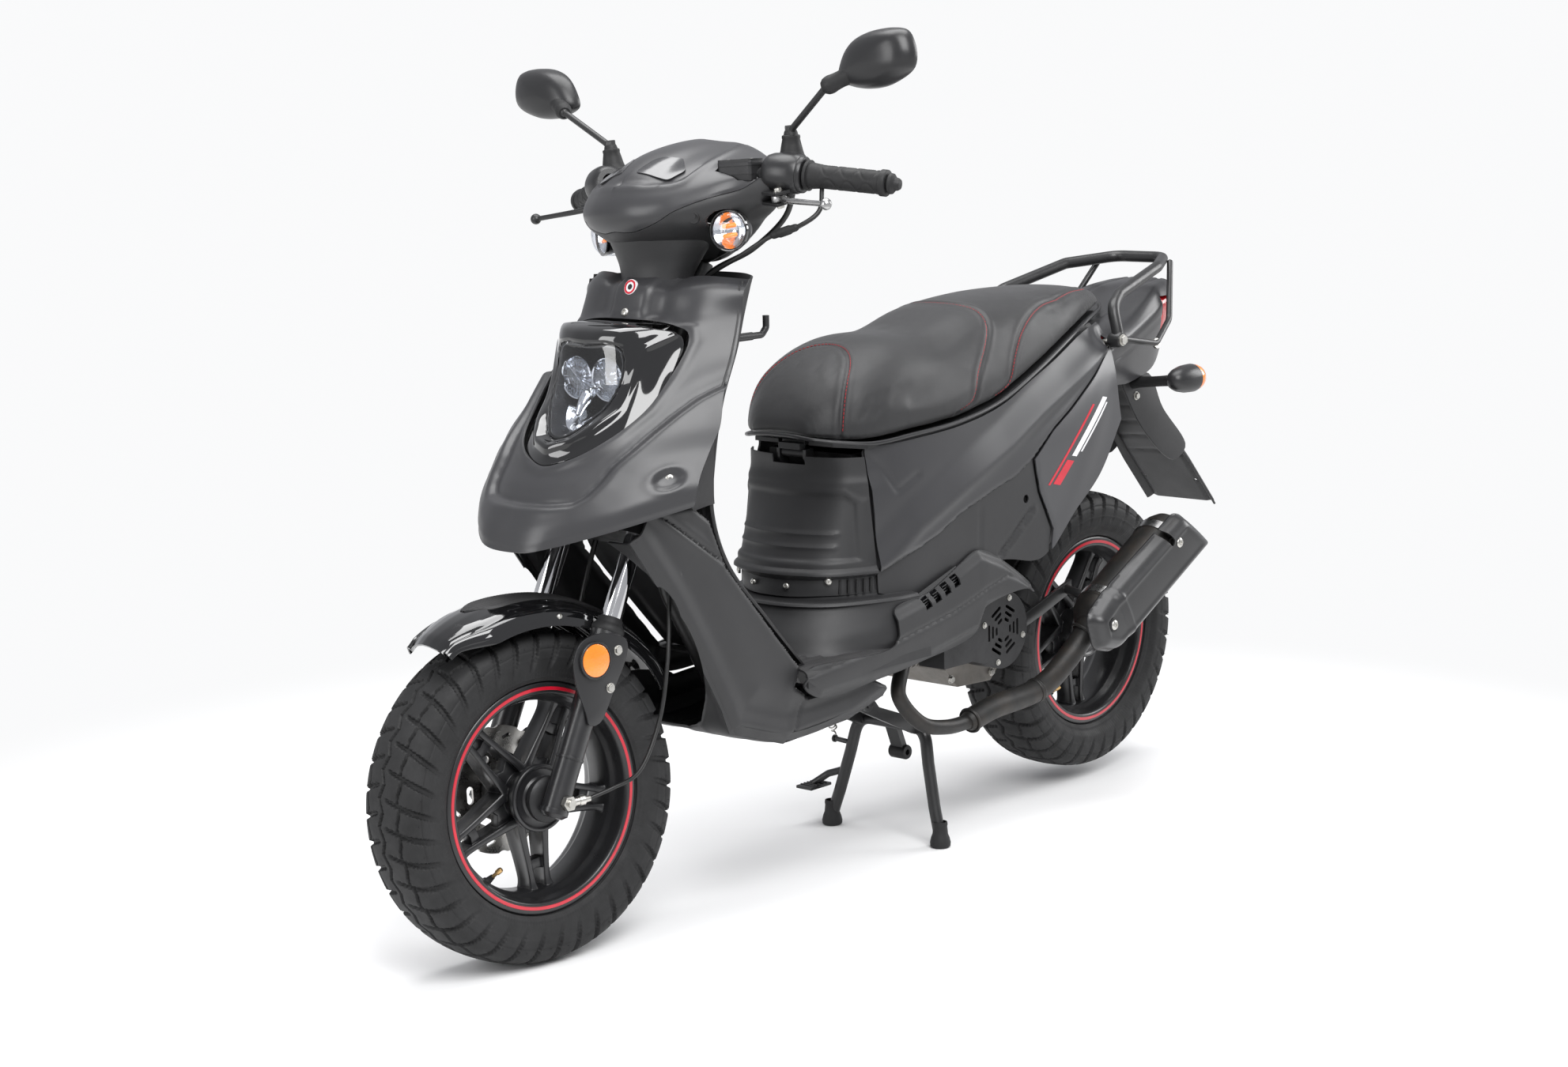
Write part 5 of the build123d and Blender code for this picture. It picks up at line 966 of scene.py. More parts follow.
    # edge bead: the vinyl's rolled lower hem over the base pan
    hem = []
    for s in SEAT_ST[1:]:
        hem.append((s[0], s[1] * .985, s[2] + 3))
    hemL = spline(hem, 160)
    hemR = hemL[::-1] * [1, -1, 1]
    front = spline([hemL[0], (99, 46, 690), (101, 20, 692), (101.5, 0, 692), (101, -20, 692), (99, -46, 690), hemR[-1]], 40)
    H = Geo()
    H.tube(np.vstack([hemL[::-1], front[1:-1], hemR[::-1]]), 3.2, seg=8)
    H.out("seat_hem", M["smooth"], "seat", slot="plastic_dark")


seat()
# ------------------------------------------------------------ panels: shared helpers
def poly_dist(P2, line):
    """Signed distance of 2-D points to an open polyline (positive to its left)."""
    P2 = np.asarray(P2, float)
    line = np.asarray(line, float)
    best = np.full(len(P2), 1e9)
    sg = np.ones(len(P2))
    for i in range(len(line) - 1):
        a, b = line[i], line[i + 1]
        d = b - a
        t = np.clip(((P2 - a) @ d) / (d @ d), 0, 1)
        q = a + t[:, None] * d
        v = P2 - q
        dist = np.hypot(v[:, 0], v[:, 1])
        cr = d[0] * (P2[:, 1] - a[1]) - d[1] * (P2[:, 0] - a[0])
        m_ = dist < best
        best[m_] = dist[m_]
        sg[m_] = np.sign(cr[m_])
    return best * sg


def grid_normals(G):
    n = np.cross(np.gradient(G, axis=0), np.gradient(G, axis=1))
    return n / np.maximum(np.linalg.norm(n, axis=2, keepdims=True), 1e-9)


def boolean(o, cutter, op="DIFFERENCE"):
    md = o.modifiers.new("b", "BOOLEAN")
    md.operation = op
    md.solver = "EXACT"
    md.object = cutter
    bake(o)
    bpy.data.objects.remove(cutter)
    return o


def cutter(geo):
    return make("cut", np.vstack(geo.v), geo.f, M["trim"], None, smooth=0)


def mirror_half(half):
    """[(y, z)...] left half from the centre line to the centre line -> closed loop."""
    return list(half) + [(-y, z) for y, z in reversed(half) if y > .01]


def round_loop(half, n=90):
    """Closed front-view loop with softened corners."""
    loop = np.array(mirror_half(half), float)
    return spline(loop, n, closed=True)


def x_prism(loop, x0, x1):
    g = Geo()
    g.prism([(x0, y, z) for y, z in loop], (x1 - x0, 0, 0))
    return g


def sheet(name, G, mat_, body, t=3.0, cut=(), keep=None, side=1, level=1, smooth=38, **k):
    """Panel from a grid: thickened inwards (side=1: normals already face out)."""
    nr, nc = G.shape[:2]
    o = make(name, G.reshape(-1, 3), grid_faces(nr, nc, flip=side < 0), mat_, None, smooth=0,
             normals=False, subsurf=level, solid=0)
    md = o.modifiers.new("s", "SOLIDIFY"); md.thickness = t * MM; md.offset = -1
    md.use_even_offset = False
    bake(o)
    for c in cut:
        boolean(o, cutter(c))
    if keep is not None:
        boolean(o, cutter(keep), "INTERSECT")
    finish_mesh(o, smooth)
    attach(o, body)
    if k.get("replaces"):
        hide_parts(*k["replaces"])
    return o


# ------------------------------------------------------------ front shield
SH = [
    [(366, 0, 957), (362, 60, 957), (352, 110, 956), (322, 152, 952)],
    [(404, 0, 940), (396, 60, 940), (378, 110, 940), (341, 158, 934)],
    [(422, 0, 900), (415, 60, 900), (395, 115, 900), (347, 158, 900)],
    [(470, 0, 850), (462, 60, 850), (430, 115, 850), (371, 166, 848)],
    [(520, 0, 800), (512, 60, 800), (470, 118, 800), (412, 182, 798)],
    [(562, 0, 750), (556, 60, 750), (505, 128, 752), (440, 198, 756)],
    [(594, 0, 704), (588, 60, 704), (543, 135, 712), (469, 204, 724)],
    [(636, 0, 656), (626, 60, 660), (575, 135, 670), (492, 205, 688)],
    [(674, 0, 592), (664, 60, 598), (602, 132, 620), (503, 204, 650)],
]


def mirrored_rows(rows):
    return [[(x, -y, z) for x, y, z in r[:0:-1]] + list(r) for r in rows]


MASK_HALF = [(0, 897), (60, 895), (96, 889), (112, 882), (118, 868), (117, 822), (110, 779),
             (91, 747), (64, 724), (30, 709), (0, 703)]
LENS_HALF = [(0, 866), (38, 869), (60, 864), (67, 845), (66, 812), (58, 782), (42, 762), (24, 745), (0, 738)]
CREASE = [(190, 822), (175, 811), (168, 806), (155, 794), (140, 772), (128, 750), (118, 727), (106, 707), (100, 685),
          (92, 670), (80, 661), (56, 658), (0, 656)]


def front():
    G = dense(mirrored_rows(SH), 14, 14)
    nrm = grid_normals(G)
    if (nrm[:, :, 0].mean()) < 0:
        nrm = -nrm
    Y, Z = np.abs(G[:, :, 1]).ravel(), G[:, :, 2].ravel()
    s = poly_dist(np.stack([Y, Z], 1), CREASE)
    # positive s: lower, outer side of the crease
    probe = poly_dist(np.array([[150.0, 700.0]]), CREASE)[0]
    s = s * (1 if probe > 0 else -1)
    low = np.where(s > 0, 7.5 * smooth01(s / 11) * np.exp(-np.maximum(s - 14, 0) / 30), 0)
    val = -3.4 * np.exp(-(s / 4.2) ** 2) - 2.2 * np.exp(-((s + 9) / 10) ** 2) * (s < 0)
    # rear flank: shallow hollow under the bulge, then the flange
    d = low + val
    # centre plateau of the hood with scooped shoulders
    hz = smooth01((Z - 893) / 14)
    d += hz * (5.0 * (1 - smooth01((Y - 27) / 11)) - 5.5 * np.exp(-((Y - 56) / 17) ** 2) + 1.5 * np.exp(-((Y - 110) / 24) ** 2))
    # lower lip roll
    zb = np.interp(Y, [0, 60, 132, 204], [592, 598, 620, 650])
    e = (Z - zb)
    d += 3.0 * np.exp(-((e - 26) / 16) ** 2) - 3.5 * (1 - smooth01(e / 9))
    # raised rim round the lamp unit
    sm = poly_dist(np.stack([Y, Z], 1), MASK_HALF)
    d += 2.6 * np.exp(-((np.abs(sm) - 6) / 5.5) ** 2) * (np.abs(sm) < 26) * (Z < 890)
    # screw recess on each flank
    rc = np.hypot(Y - 175.5, (Z - 688))
    d += -5.0 * (1 - smooth01((rc - 9) / 6)) + 1.0 * np.exp(-((rc - 18) / 3.5) ** 2)
    G = G + nrm * d.reshape(G.shape[:2])[:, :, None]
    n0 = np.cross(G[1, 0] - G[0, 0], G[0, 1] - G[0, 0])
    gn = grid_normals(G)
    side = 1 if (np.cross(G[40, 41] - G[40, 40], G[41, 40] - G[40, 40])[0]) > 0 else -1
    loop = round_loop(MASK_HALF, 120)
    o = sheet("shield_front", G, M["body"], "chassis", 3.0, cut=[x_prism(loop, 380, 720)],
              side=side, replaces=("front_shield",))
    # mask: visor, cheeks and chin in one gloss moulding
    ys = [0, 30, 60, 88, 106, 124]
    prof = [
        (893, [424, 424, 421, 412, 404, 394]),
        (897.5, [448, 447, 442, 428, 414, 398]),
        (896, [476, 474, 466, 446, 424, 402]),
        (889, [497, 495, 486, 463, 434, 408]),
        (878, [506, 504, 494, 470, 442, 414]),
        (858, [507, 505, 497, 475, 448, 424]),
        (822, [512, 510, 503, 486, 462, 446]),
        (790, [528, 526, 518, 500, 478, 464]),
        (762, [550, 547, 538, 518, 500, 488]),
        (742, [568, 565, 555, 535, 520, 508]),
        (724, [584, 580, 569, 550, 536, 526]),
        (700, [598, 594, 582, 566, 552, 542]),
    ]
    rows = [[(x, y, z) for x, y in zip(xs, ys)] for z, xs in prof]
    Mg = dense(mirrored_rows(rows), 9, 9)
    mn = grid_normals(Mg)
    if mn[:, :, 0].mean() < 0:
        mn = -mn
    Yg, Zg = np.abs(Mg[:, :, 1]).ravel(), Mg[:, :, 2].ravel()
    sl = np.abs(poly_dist(np.stack([Yg, Zg], 1), LENS_HALF))
    out_ = ~inside(np.stack([Yg, Zg], 1), LENS_HALF)
    dd = np.where(out_ & (Zg < 790), 7.0 * np.exp(-((sl - 13) / 7.5) ** 2) * smooth01((790 - Zg) / 40), 0)
    dd += np.where(out_, -2.4 * np.exp(-(sl / 3.0) ** 2), 0)
    # cheek crease from the brow down to the chin
    ck = poly_dist(np.stack([Yg, Zg], 1), [(116, 884), (88, 862), (80, 820), (76, 780), (56, 748), (30, 732), (0, 727)])
    dd += np.where(out_, 2.2 * np.exp(-(ck / 3.6) ** 2), 0)
    Mg2 = Mg + mn * dd.reshape(Mg.shape[:2])[:, :, None]
    sideM = 1 if np.cross(Mg[50, 51] - Mg[50, 50], Mg[51, 50] - Mg[50, 50])[0] > 0 else -1
    ml = spline(np.array(mirror_half([(max(y - 1.2, 0) if y > 0 else 0, z - 1.2 if z > 800 else z + 1.2) for y, z in MASK_HALF])), 120, closed=True)
    ll = round_loop(LENS_HALF, 100)
    sheet("lamp_mask", Mg2, M["gloss"], "chassis", 3.2, cut=[x_prism(ll, 470, 720)], keep=x_prism(ml, 385, 720),
          side=sideM, replaces=("headlight_unit",), slot="body_gloss")
    # clear lens, a touch proud of the recess
    lg = Mg - mn * 1.5
    li = spline(np.array(mirror_half([(max(y - .8, 0) if y > 0 else 0, z - .8 if z > 800 else z + .8) for y, z in LENS_HALF])), 100, closed=True)
    sheet("lamp_lens", lg, M["lens"], "chassis", 2.2, keep=x_prism(li, 470, 720), side=sideM,
          replaces=("headlight_lens",), slot="lens_clear")
    # lamp bowl behind the lens: dark surround, two faceted reflectors, chrome chin
    B = Geo()
    wall_ = round_loop([(0, 863), (36, 866), (57, 861), (63, 843), (62, 812), (54, 783), (38, 763), (22, 748), (0, 741)], 80)
    nW = len(wall_)
    def face_x(y, z):
        i = np.argmin((Mg[:, :, 1].ravel() - y) ** 2 + (Mg[:, :, 2].ravel() - z) ** 2)
        return Mg.reshape(-1, 3)[i][0]
    fx = np.array([face_x(y, z) for y, z in wall_])
    v = [(x - 4, y, z) for x, (y, z) in zip(fx, wall_)] + [(446, y * .92, 815 + (z - 815) * .92) for y, z in wall_]
    f = [[i, (i + 1) % nW, nW + (i + 1) % nW, nW + i] for i in range(nW)] + [list(range(nW, 2 * nW))]
    B.add(v, f)
    make("lamp_housing", np.vstack(B.v), B.f, M["dial"], "chassis", solid=1.6, slot="body_gloss")
    for sd in (1, -1):
        c = np.array([452.0, sd * 31, 817])
        seg, rows_ = 64, []
        prof_ = [(3, 7), (5, 9), (8.5, 13), (14, 18), (21, 22.6), (29, 26.2), (38, 28.6), (41, 29.6), (42.5, 31.2), (40, 32.0), (30, 30.5), (3, 12)]
        V_, F_ = [], []
        for k in range(seg):
            a = 2 * pi * k / seg
            for i_, (xx, rr) in enumerate(prof_):
                facet = (.9 if 1 < i_ < 7 else 0) * ((-1) ** (k // 4 + i_))
                V_.append(c + np.array([xx + facet * .6, (rr + facet * .4) * sin(a), (rr + facet * .4) * cos(a)]))
        F_ = grid_faces(seg, len(prof_), wrap_r=True)
        make("lamp_reflector_" + ("l" if sd > 0 else "r"), V_, F_, M["silver"], "chassis", smooth=24, slot="chrome")
        # cut-glass inner lens
        Lz = Geo()
        for rr0, rr1, x0 in ((0.2, 9, 41.5), (9.6, 18, 40.5), (18.6, 27.2, 39)):
            Lz.lathe([(x0 - 2, rr0), (x0, rr0), (x0 + 1.2, (rr0 + rr1) / 2), (x0, rr1), (x0 - 2, rr1), (x0 - 2, rr0)], c, (1, 0, 0), 60)
        for k in range(24):
            a = 2 * pi * k / 24
            e = np.array([0, sin(a), cos(a)])
            Lz.tube([c + np.array([40.6, 0, 0]) + e * 4, c + np.array([39.2, 0, 0]) + e * 26.5], [.5, 1.3], seg=6)
        Lz.out("lamp_inner_lens_" + ("l" if sd > 0 else "r"), M["lensrib"], "chassis", slot="lens_clear")
        Bu = Geo()
        Bu.lathe([(0, .1), (0, 6.5), (8, 6.5), (9, 4.6), (24, 4.4), (27, 3), (28, .1)], c, (1, 0, 0), 24)
        Bu.out("lamp_bulb_" + ("l" if sd > 0 else "r"), M["silver"], "chassis", slot="lens_clear")
    # chin: silver crescent with a raised nose between the lamps
    rows_ = []
    for t in np.linspace(-1, 1, 41):
        y = 46 * t
        zt = 772 + 14 * abs(t) ** 1.6 - 6 * math.exp(-(t / .22) ** 2)
        zb_ = 742 + 26 * abs(t) ** 2.2
        r_ = []
        for w_ in np.linspace(0, 1, 13):
            z = zb_ + (zt - zb_) * w_
            x = 545 - 40 * w_ ** 1.3 - 18 * abs(t) ** 2 + 9 * math.exp(-(t / .2) ** 2) * sin(pi * w_) - (z - 742) * .1
            r_.append((x - 10, y, z))
        rows_.append(r_)
    make("lamp_chin", np.array(rows_).reshape(-1, 3), grid_faces(41, 13), M["silver"], "chassis", solid=2.0, subsurf=1, slot="chrome")
    Nn = Geo()
    nose = [(478, 0, 800), (497, 0, 796), (512, 0, 784), (522, 0, 770)]
    P_ = spline(nose, 20)
    Nn.tube(P_, np.interp(np.linspace(0, 1, 20), [0, .5, 1], [6, 11, 5]), seg=20, round_ends=True)
    Nn.out("lamp_nose", M["silver"], "chassis", slot="chrome")
    # hood badge and its screw
    x_b = 405.5
    nb = unit(np.array([.93, 0, .36]))
    Bd = Geo()
    c = np.array([409.5, 0, 941.5])
    Bd.lathe([(-3, .1), (-3, 11.8), (.9, 11.8), (1.5, 11.2), (1.5, .1)], c, nb, 48)
    Bd.out("hood_badge", M["white"], "chassis", slot="body_gloss")
    Br = Geo()
    Br.lathe([(1.2, 7.6), (1.9, 7.6), (1.9, 10.6), (1.2, 10.6), (1.2, 7.6)], c, nb, 48)
    Br.out("hood_badge_ring", M["red"], "chassis", slot="body_gloss")
    Bk = Geo()
    Bk.lathe([(1.2, .1), (1.2, 4.2), (1.9, 4.2), (2.1, .1)], c, nb, 32)
    Bk.out("hood_badge_centre", M["gloss"], "chassis", slot="body_gloss")
    S_ = Geo()
    S_.screw((421.8, 0, 906), (.9, 0, .43), 6.6, 4.2)
    for sd in (1, -1):
        n_ = unit(np.array([.62, sd * .78, .08]))
        S_.screw(np.array([516.5, sd * 171.0, 688]), n_, 8.2, 4.5)
    S_.out("shield_screws", M["zinc"], "chassis", slot="zinc")
    Wr = Geo()
    for sd in (1, -1):
        n_ = unit(np.array([.62, sd * .78, .08]))
        Wr.lathe([(-2, 8), (1.0, 8), (2.2, 9.5), (2.2, 12.5), (.6, 14), (-2, 14), (-2, 8)], np.array([516.5, sd * 171.0, 688]), n_, 36)
    Wr.out("shield_grommets", M["rubber"], "chassis", slot="rubber")


def inside(P, half):
    loop = mirror_half(half)
    x, y = P[:, 0], P[:, 1]
    c = np.zeros(len(P), bool)
    n = len(loop)
    for i in range(n):
        x1, y1 = loop[i]
        x2, y2 = loop[(i + 1) % n]
        hit = ((y1 > y) != (y2 > y)) & (x < (x2 - x1) * (y - y1) / ((y2 - y1) if y2 != y1 else 1e-9) + x1)
        c ^= hit
    return c


front()
# ------------------------------------------------------------ handlebar covers and controls
def line_dist(P, line):
    """Distance of 3-D points to a 3-D polyline, with the nearest offset vector."""
    P = np.asarray(P, float)
    line = np.asarray(line, float)
    best = np.full(len(P), 1e9)
    off = np.zeros_like(P)
    tan = np.zeros_like(P)
    for i in range(len(line) - 1):
        a, b = line[i], line[i + 1]
        d = b - a
        t = np.clip(((P - a) @ d) / (d @ d), 0, 1)
        v = P - (a + t[:, None] * d)
        q = np.linalg.norm(v, axis=1)
        m_ = q < best
        best[m_] = q[m_]
        off[m_] = v[m_]
        tan[m_] = d / np.linalg.norm(d)
    return best, off, tan


def signed_line(P, nrm, line):
    """Signed surface distance to a line: positive on the side of tangent x normal."""
    d, off, tan = line_dist(P, line)
    s = np.einsum("ij,ij->i", np.cross(tan, nrm), off)
    return d * np.where(s >= 0, 1, -1)


def mir(line):
    return [(x, -y, z) for x, y, z in line]


def closed_rows(secs, mirror=True):
    """{y: [(x, z)...]} loops -> rows of padded closed loops across the model."""
    ys = sorted(set(list(secs) + ([-y for y in secs] if mirror else [])))
    rows = []
    for y in ys:
        c = secs[abs(y)] if mirror else secs[y]
        c = [c[-1]] + list(c) + [c[0], c[1]]
        rows.append([(x, y, z) for x, z in c])
    return np.array(rows, float)


def closed_dense(rows, ku, kv):
    """Dense grid from padded closed loops; the columns wrap."""
    S = np.asarray(rows, float)
    nc = S.shape[1] - 3
    vs = 1 + np.arange(nc * kv) / kv
    us = np.linspace(0, len(S) - 1, (len(S) - 1) * ku + 1)
    r1 = np.array([spline_at(S[r], vs) for r in range(len(S))])
    return np.array([spline_at(r1[:, c], us) for c in range(r1.shape[1])]).transpose(1, 0, 2)


def loop_normals(G, centre):
    Gp = np.concatenate([G[:, -1:], G, G[:, :1]], axis=1)
    n = np.cross(np.gradient(Gp, axis=0), np.gradient(Gp, axis=1))[:, 1:-1]
    n = n / np.maximum(np.linalg.norm(n, axis=2, keepdims=True), 1e-9)
    if np.mean(np.einsum("ijk,ijk->ij", n, G - np.asarray(centre))) < 0:
        n = -n
    return n


COWL = {
    0: [(427, 1034), (411, 1084), (338, 1130), (238, 1147), (192, 1124), (200, 1040), (240, 968), (362, 984)],
    34: [(424, 1035), (407, 1083), (334, 1128), (237, 1145), (191, 1122), (201, 1041), (240, 972), (360, 988)],
    62: [(416, 1036), (398, 1081), (325, 1121), (232, 1139), (190, 1116), (202, 1045), (238, 985), (360, 998)],
    90: [(402, 1040), (386, 1079), (322, 1115), (237, 1131), (198, 1111), (206, 1050), (239, 1002), (356, 1008)],
    112: [(385, 1042), (370, 1077), (318, 1108), (240, 1122), (205, 1105), (210, 1055), (240, 1020), (350, 1018)],
    138: [(356, 1048), (344, 1081), (304, 1104), (245, 1113), (215, 1101), (217, 1061), (242, 1033), (326, 1028)],
    160: [(325, 1055), (318, 1086), (290, 1100), (250, 1105), (226, 1097), (224, 1068), (245, 1046), (300, 1040)],
    180: [(305, 1062), (301, 1087), (282, 1098), (254, 1103), (231, 1096), (229, 1072), (246, 1054), (288, 1050)],
    196: [(289, 1068), (287, 1087), (275, 1098), (256, 1101), (236, 1095), (233, 1076), (246, 1062), (275, 1059)],
}
COWL_CREASE = [(405, 3, 1087), (395, 50, 1087), (378, 84, 1086), (366, 95, 1091), (349, 97, 1101), (322, 96, 1113),
               (290, 91, 1122), (262, 84, 1130), (238, 76, 1136)]
COWL_LOW = [(425, 0, 1021), (420, 32, 1019), (411, 73, 1029), (385, 112, 1050), (348, 142, 1063), (309, 172, 1074),
            (297, 184, 1086), (264, 190, 1102)]


def bars():
    rows = closed_rows(COWL)
    G = closed_dense(rows, 7, 11)
    C0 = np.array([300, 0, 1060.0])
    cen = np.stack([G[:, :, 0].mean(1), G[:, :, 1].mean(1), G[:, :, 2].mean(1)], -1)[:, None, :]
    n = loop_normals(G, C0)
    P, Nn = G.reshape(-1, 3), n.reshape(-1, 3)
    d = np.zeros(len(P))
    for sd in (1, -1):
        ln = COWL_CREASE if sd > 0 else mir(COWL_CREASE)
        s = signed_line(P, Nn, ln) * sd
        near = np.abs(s) < 60
        up_side = -1 if signed_line(np.array([[330.0, 40 * sd, 1128]]), np.array([[.4, 0, .9]]), ln)[0] * sd > 0 else 1
        s = s * -up_side                       # positive: towards the centre panel
        on = (np.sign(P[:, 1]) == sd) | (np.abs(P[:, 1]) < 1)
        d += np.where(on & near, -2.6 * np.exp(-(s / 2.6) ** 2) - 2.2 * smooth01(s / 5) * np.exp(-np.maximum(s - 5, 0) / 22)
                      + 1.6 * np.exp(-((s + 8) / 5) ** 2), 0)
        ln = COWL_LOW if sd > 0 else mir(COWL_LOW)
        dl, _, _ = line_dist(P, ln)
        d += np.where(on, -1.6 * np.exp(-(dl / 2.2) ** 2), 0)
    # bonnet: softly raised spine down the middle of the centre panel
    top = smooth01((P[:, 2] - 1092) / 14)
    d += top * (1.6 * np.exp(-(P[:, 1] / 26) ** 2))
    G = G + n * d.reshape(G.shape[:2])[:, :, None]
    nr, nc = G.shape[:2]
    f = grid_faces(nr, nc, wrap_c=True)
    f.append(list(range(nc))[::-1])
    f.append(list(range((nr - 1) * nc, nr * nc)))
    Vs = G.reshape(-1, 3)

    def hull(name, mat_, shrink=0.0):
        v = Vs - Nn * shrink
        o = make(name, v, f, mat_, None, smooth=0)
        return o

    def section(name, mat_, cuts, replaces=(), wall_=2.6, keep=None):
        o = make(name, Vs, f, mat_, None, smooth=0)
        inner = make("cut", Vs - Nn * wall_, f, M["trim"], None, smooth=0)
        boolean(o, inner)
        if keep is not None:
            boolean(o, cutter(keep), "INTERSECT")
        for c in cuts:
            boolean(o, cutter(c))
        o.data.transform(Matrix(((1, 0, 0, 0), (0, 1, 0, 0), (0, 0, 1, 0), (0, 0, 0, 1))))
        co = np.array([v.co[:] for v in o.data.vertices]) / MM
        co = steer(co) * MM
        o.data.vertices.foreach_set("co", co.ravel())
        o.data.update()
        finish_mesh(o, 34)
        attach(o, "bars")
        if replaces:
            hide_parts(*replaces)
        return o

    # the satin upper shell is everything above the lower parting surface
    low_full = mir(COWL_LOW)[:0:-1] + COWL_LOW
    lf = spline(np.array(low_full), 61)

    def ribbon(z_off, z_far, x0=-60, x1=200):
        """Solid bounded below (or above) by the parting line, running fore and aft."""
        g = Geo()
        m_ = len(lf)
        rows_ = []
        for p in lf:
            rows_.append([(p[0] + 60, p[1] * 1.0, p[2] + z_off), (p[0], p[1], p[2] + z_off), (235, p[1] * .93, p[2] + z_off - 2 + (p[0] - 235) * .05),
                          (150, p[1] * .93, p[2] + z_off - 6), (150, p[1] * .93, z_far), (p[0] + 60, p[1], z_far)])
        # extend sideways at both ends
        e0 = [(x, -260, z) for x, y, z in rows_[0]]
        e1 = [(x, 260, z) for x, y, z in rows_[-1]]
        rows_ = [e0] + rows_ + [e1]
        R_ = np.array(rows_, float)
        a, b = R_.shape[:2]
        ff = grid_faces(a, b, wrap_c=True)
        ff.append(list(range(b))[::-1])
        ff.append(list(range((a - 1) * b, a * b)))
        g.add(R_.reshape(-1, 3), ff)
        return g

    windows = []
    w1 = Geo()
    u_, v_ = unit((-0.25, .968, 0)), unit((.968, .25, 0))
    c_ = np.array([300, 150, 1084.0])
    corners = [c_ + u_ * a * 31 + v_ * b * 20 for a, b in ((-1, -1), (1, -1), (1, 1), (-1, 1))]
    w1.prism(corners, (0, 0, 60))
    openings = [w1]
    for sd in (1, -1):
        e = Geo()
        g_, dd_ = np.array([252, 240 * sd, 1085.0]), unit((204 - 252, 110 * sd, -18.0))
        e.add(*tube_geo([g_ - dd_ * 90, g_ + dd_ * 40], 21, 20))
        openings.append(e)
        m1 = Geo()
        m1.add(*tube_geo([(250, sd * 205, 1080), (250, sd * 205, 1145)], 18, 20))
        openings.append(m1)
        ind = Geo()
        cc = np.array([318, 143.0 * sd, 1014])
        dd = unit((.93, .36 * sd, 0))
        ind.add(*tube_geo([cc + dd * 1, cc + dd * 70], 30.8, 32))
        openings.append(ind)
    dash = Geo()
    nz_ = unit((-.407, 0, .914))
    xz = unit(np.cross((0, 1, 0), nz_))
    dpts = []
    for k in range(40):
        a = 2 * pi * k / 40
        ex = (abs(cos(a)) ** (2 / 3.2)) * np.sign(cos(a)) * 51.5
        ey = (abs(sin(a)) ** (2 / 3.2)) * np.sign(sin(a)) * 35.5
        dpts.append(np.array([228, 0, 1112.0]) + np.array([0, 1, 0]) * ex + xz * ey - nz_ * 18)
    dash.prism(dpts, nz_ * 80)
    openings.append(dash)
    neck = Geo()
    neck.add(*tube_geo([fp(745, 0), fp(835, 0)], 46, 32))
    openings.append(neck)
    section("cowl_upper", M["body"], openings, replaces=("bar_cover_front",), keep=ribbon(.4, 1220))
    section("cowl_lower", M["trim"], openings + [ribbon(-.4, 1220)], replaces=("bar_cover_rear",))

    # smoked trapezoid panels on the shoulders of the centre panel
    for sd in (1, -1):
        quad = [(386, 16), (378, 80), (352, 90), (330, 60), (350, 26)]
        Pm = P[(P[:, 2] > 1078)]
        Nm = Nn[(P[:, 2] > 1078)]
        qd = np.array([(x, y) for x, y in quad], float)
        pts = []
        for i in range(len(qd)):
            A_, B_, C_ = qd[i - 1], qd[i], qd[(i + 1) % len(qd)]
            u1, u2 = unit(A_ - B_), unit(C_ - B_)
            r1, r2 = min(7, .3 * np.linalg.norm(A_ - B_)), min(7, .3 * np.linalg.norm(C_ - B_))
            for t_ in np.linspace(0, 1, 5):
                pts.append((1 - t_) ** 2 * (B_ + u1 * r1) + 2 * t_ * (1 - t_) * B_ + t_ * t_ * (B_ + u2 * r2))
            for t_ in (.25, .5, .75):
                e_ = C_ - u2 * min(7, .3 * np.linalg.norm(C_ - B_))
                pts.append((B_ + u2 * r2) * (1 - t_) + e_ * t_)
        pts = np.array(pts)
        # fill the outline and drop it on the shell
        cx_, cy_ = pts.mean(0)
        V_, F_ = [(cx_, cy_)], []
        nn_ = len(pts)
        rings = 6
        for k in range(1, rings + 1):
            for p in pts:
                V_.append((cx_ + (p[0] - cx_) * k / rings, cy_ + (p[1] - cy_) * k / rings))
        for i in range(nn_):
            F_.append([0, 1 + i, 1 + (i + 1) % nn_])
        for k in range(rings - 1):
            for i in range(nn_):
                a = 1 + k * nn_
                F_.append([a + i, a + nn_ + i, a + nn_ + (i + 1) % nn_, a + (i + 1) % nn_])
        out_ = []
        for x, y in V_:
            q = (Pm[:, 0] - x) ** 2 + (Pm[:, 1] - y) ** 2
            w_ = np.exp(-q / 18.0)
            w_ /= w_.sum() + 1e-12
            nn2 = unit((Nm * w_[:, None]).sum(0))
            zz = (Pm[:, 2] * w_).sum() - ((x - (Pm[:, 0] * w_).sum()) * nn2[0] + (y - (Pm[:, 1] * w_).sum()) * nn2[1]) / max(nn2[2], .3)
            out_.append(np.array([x, y * sd, zz]) + nn2 * np.array([1, sd, 1]) * 1.2)
        make("cowl_glass_" + ("l" if sd > 0 else "r"), out_, [q[::sd] for q in F_], M["smoke"], "bars", steered=True,
             solid=2.4, smooth=40, slot="body_gloss")

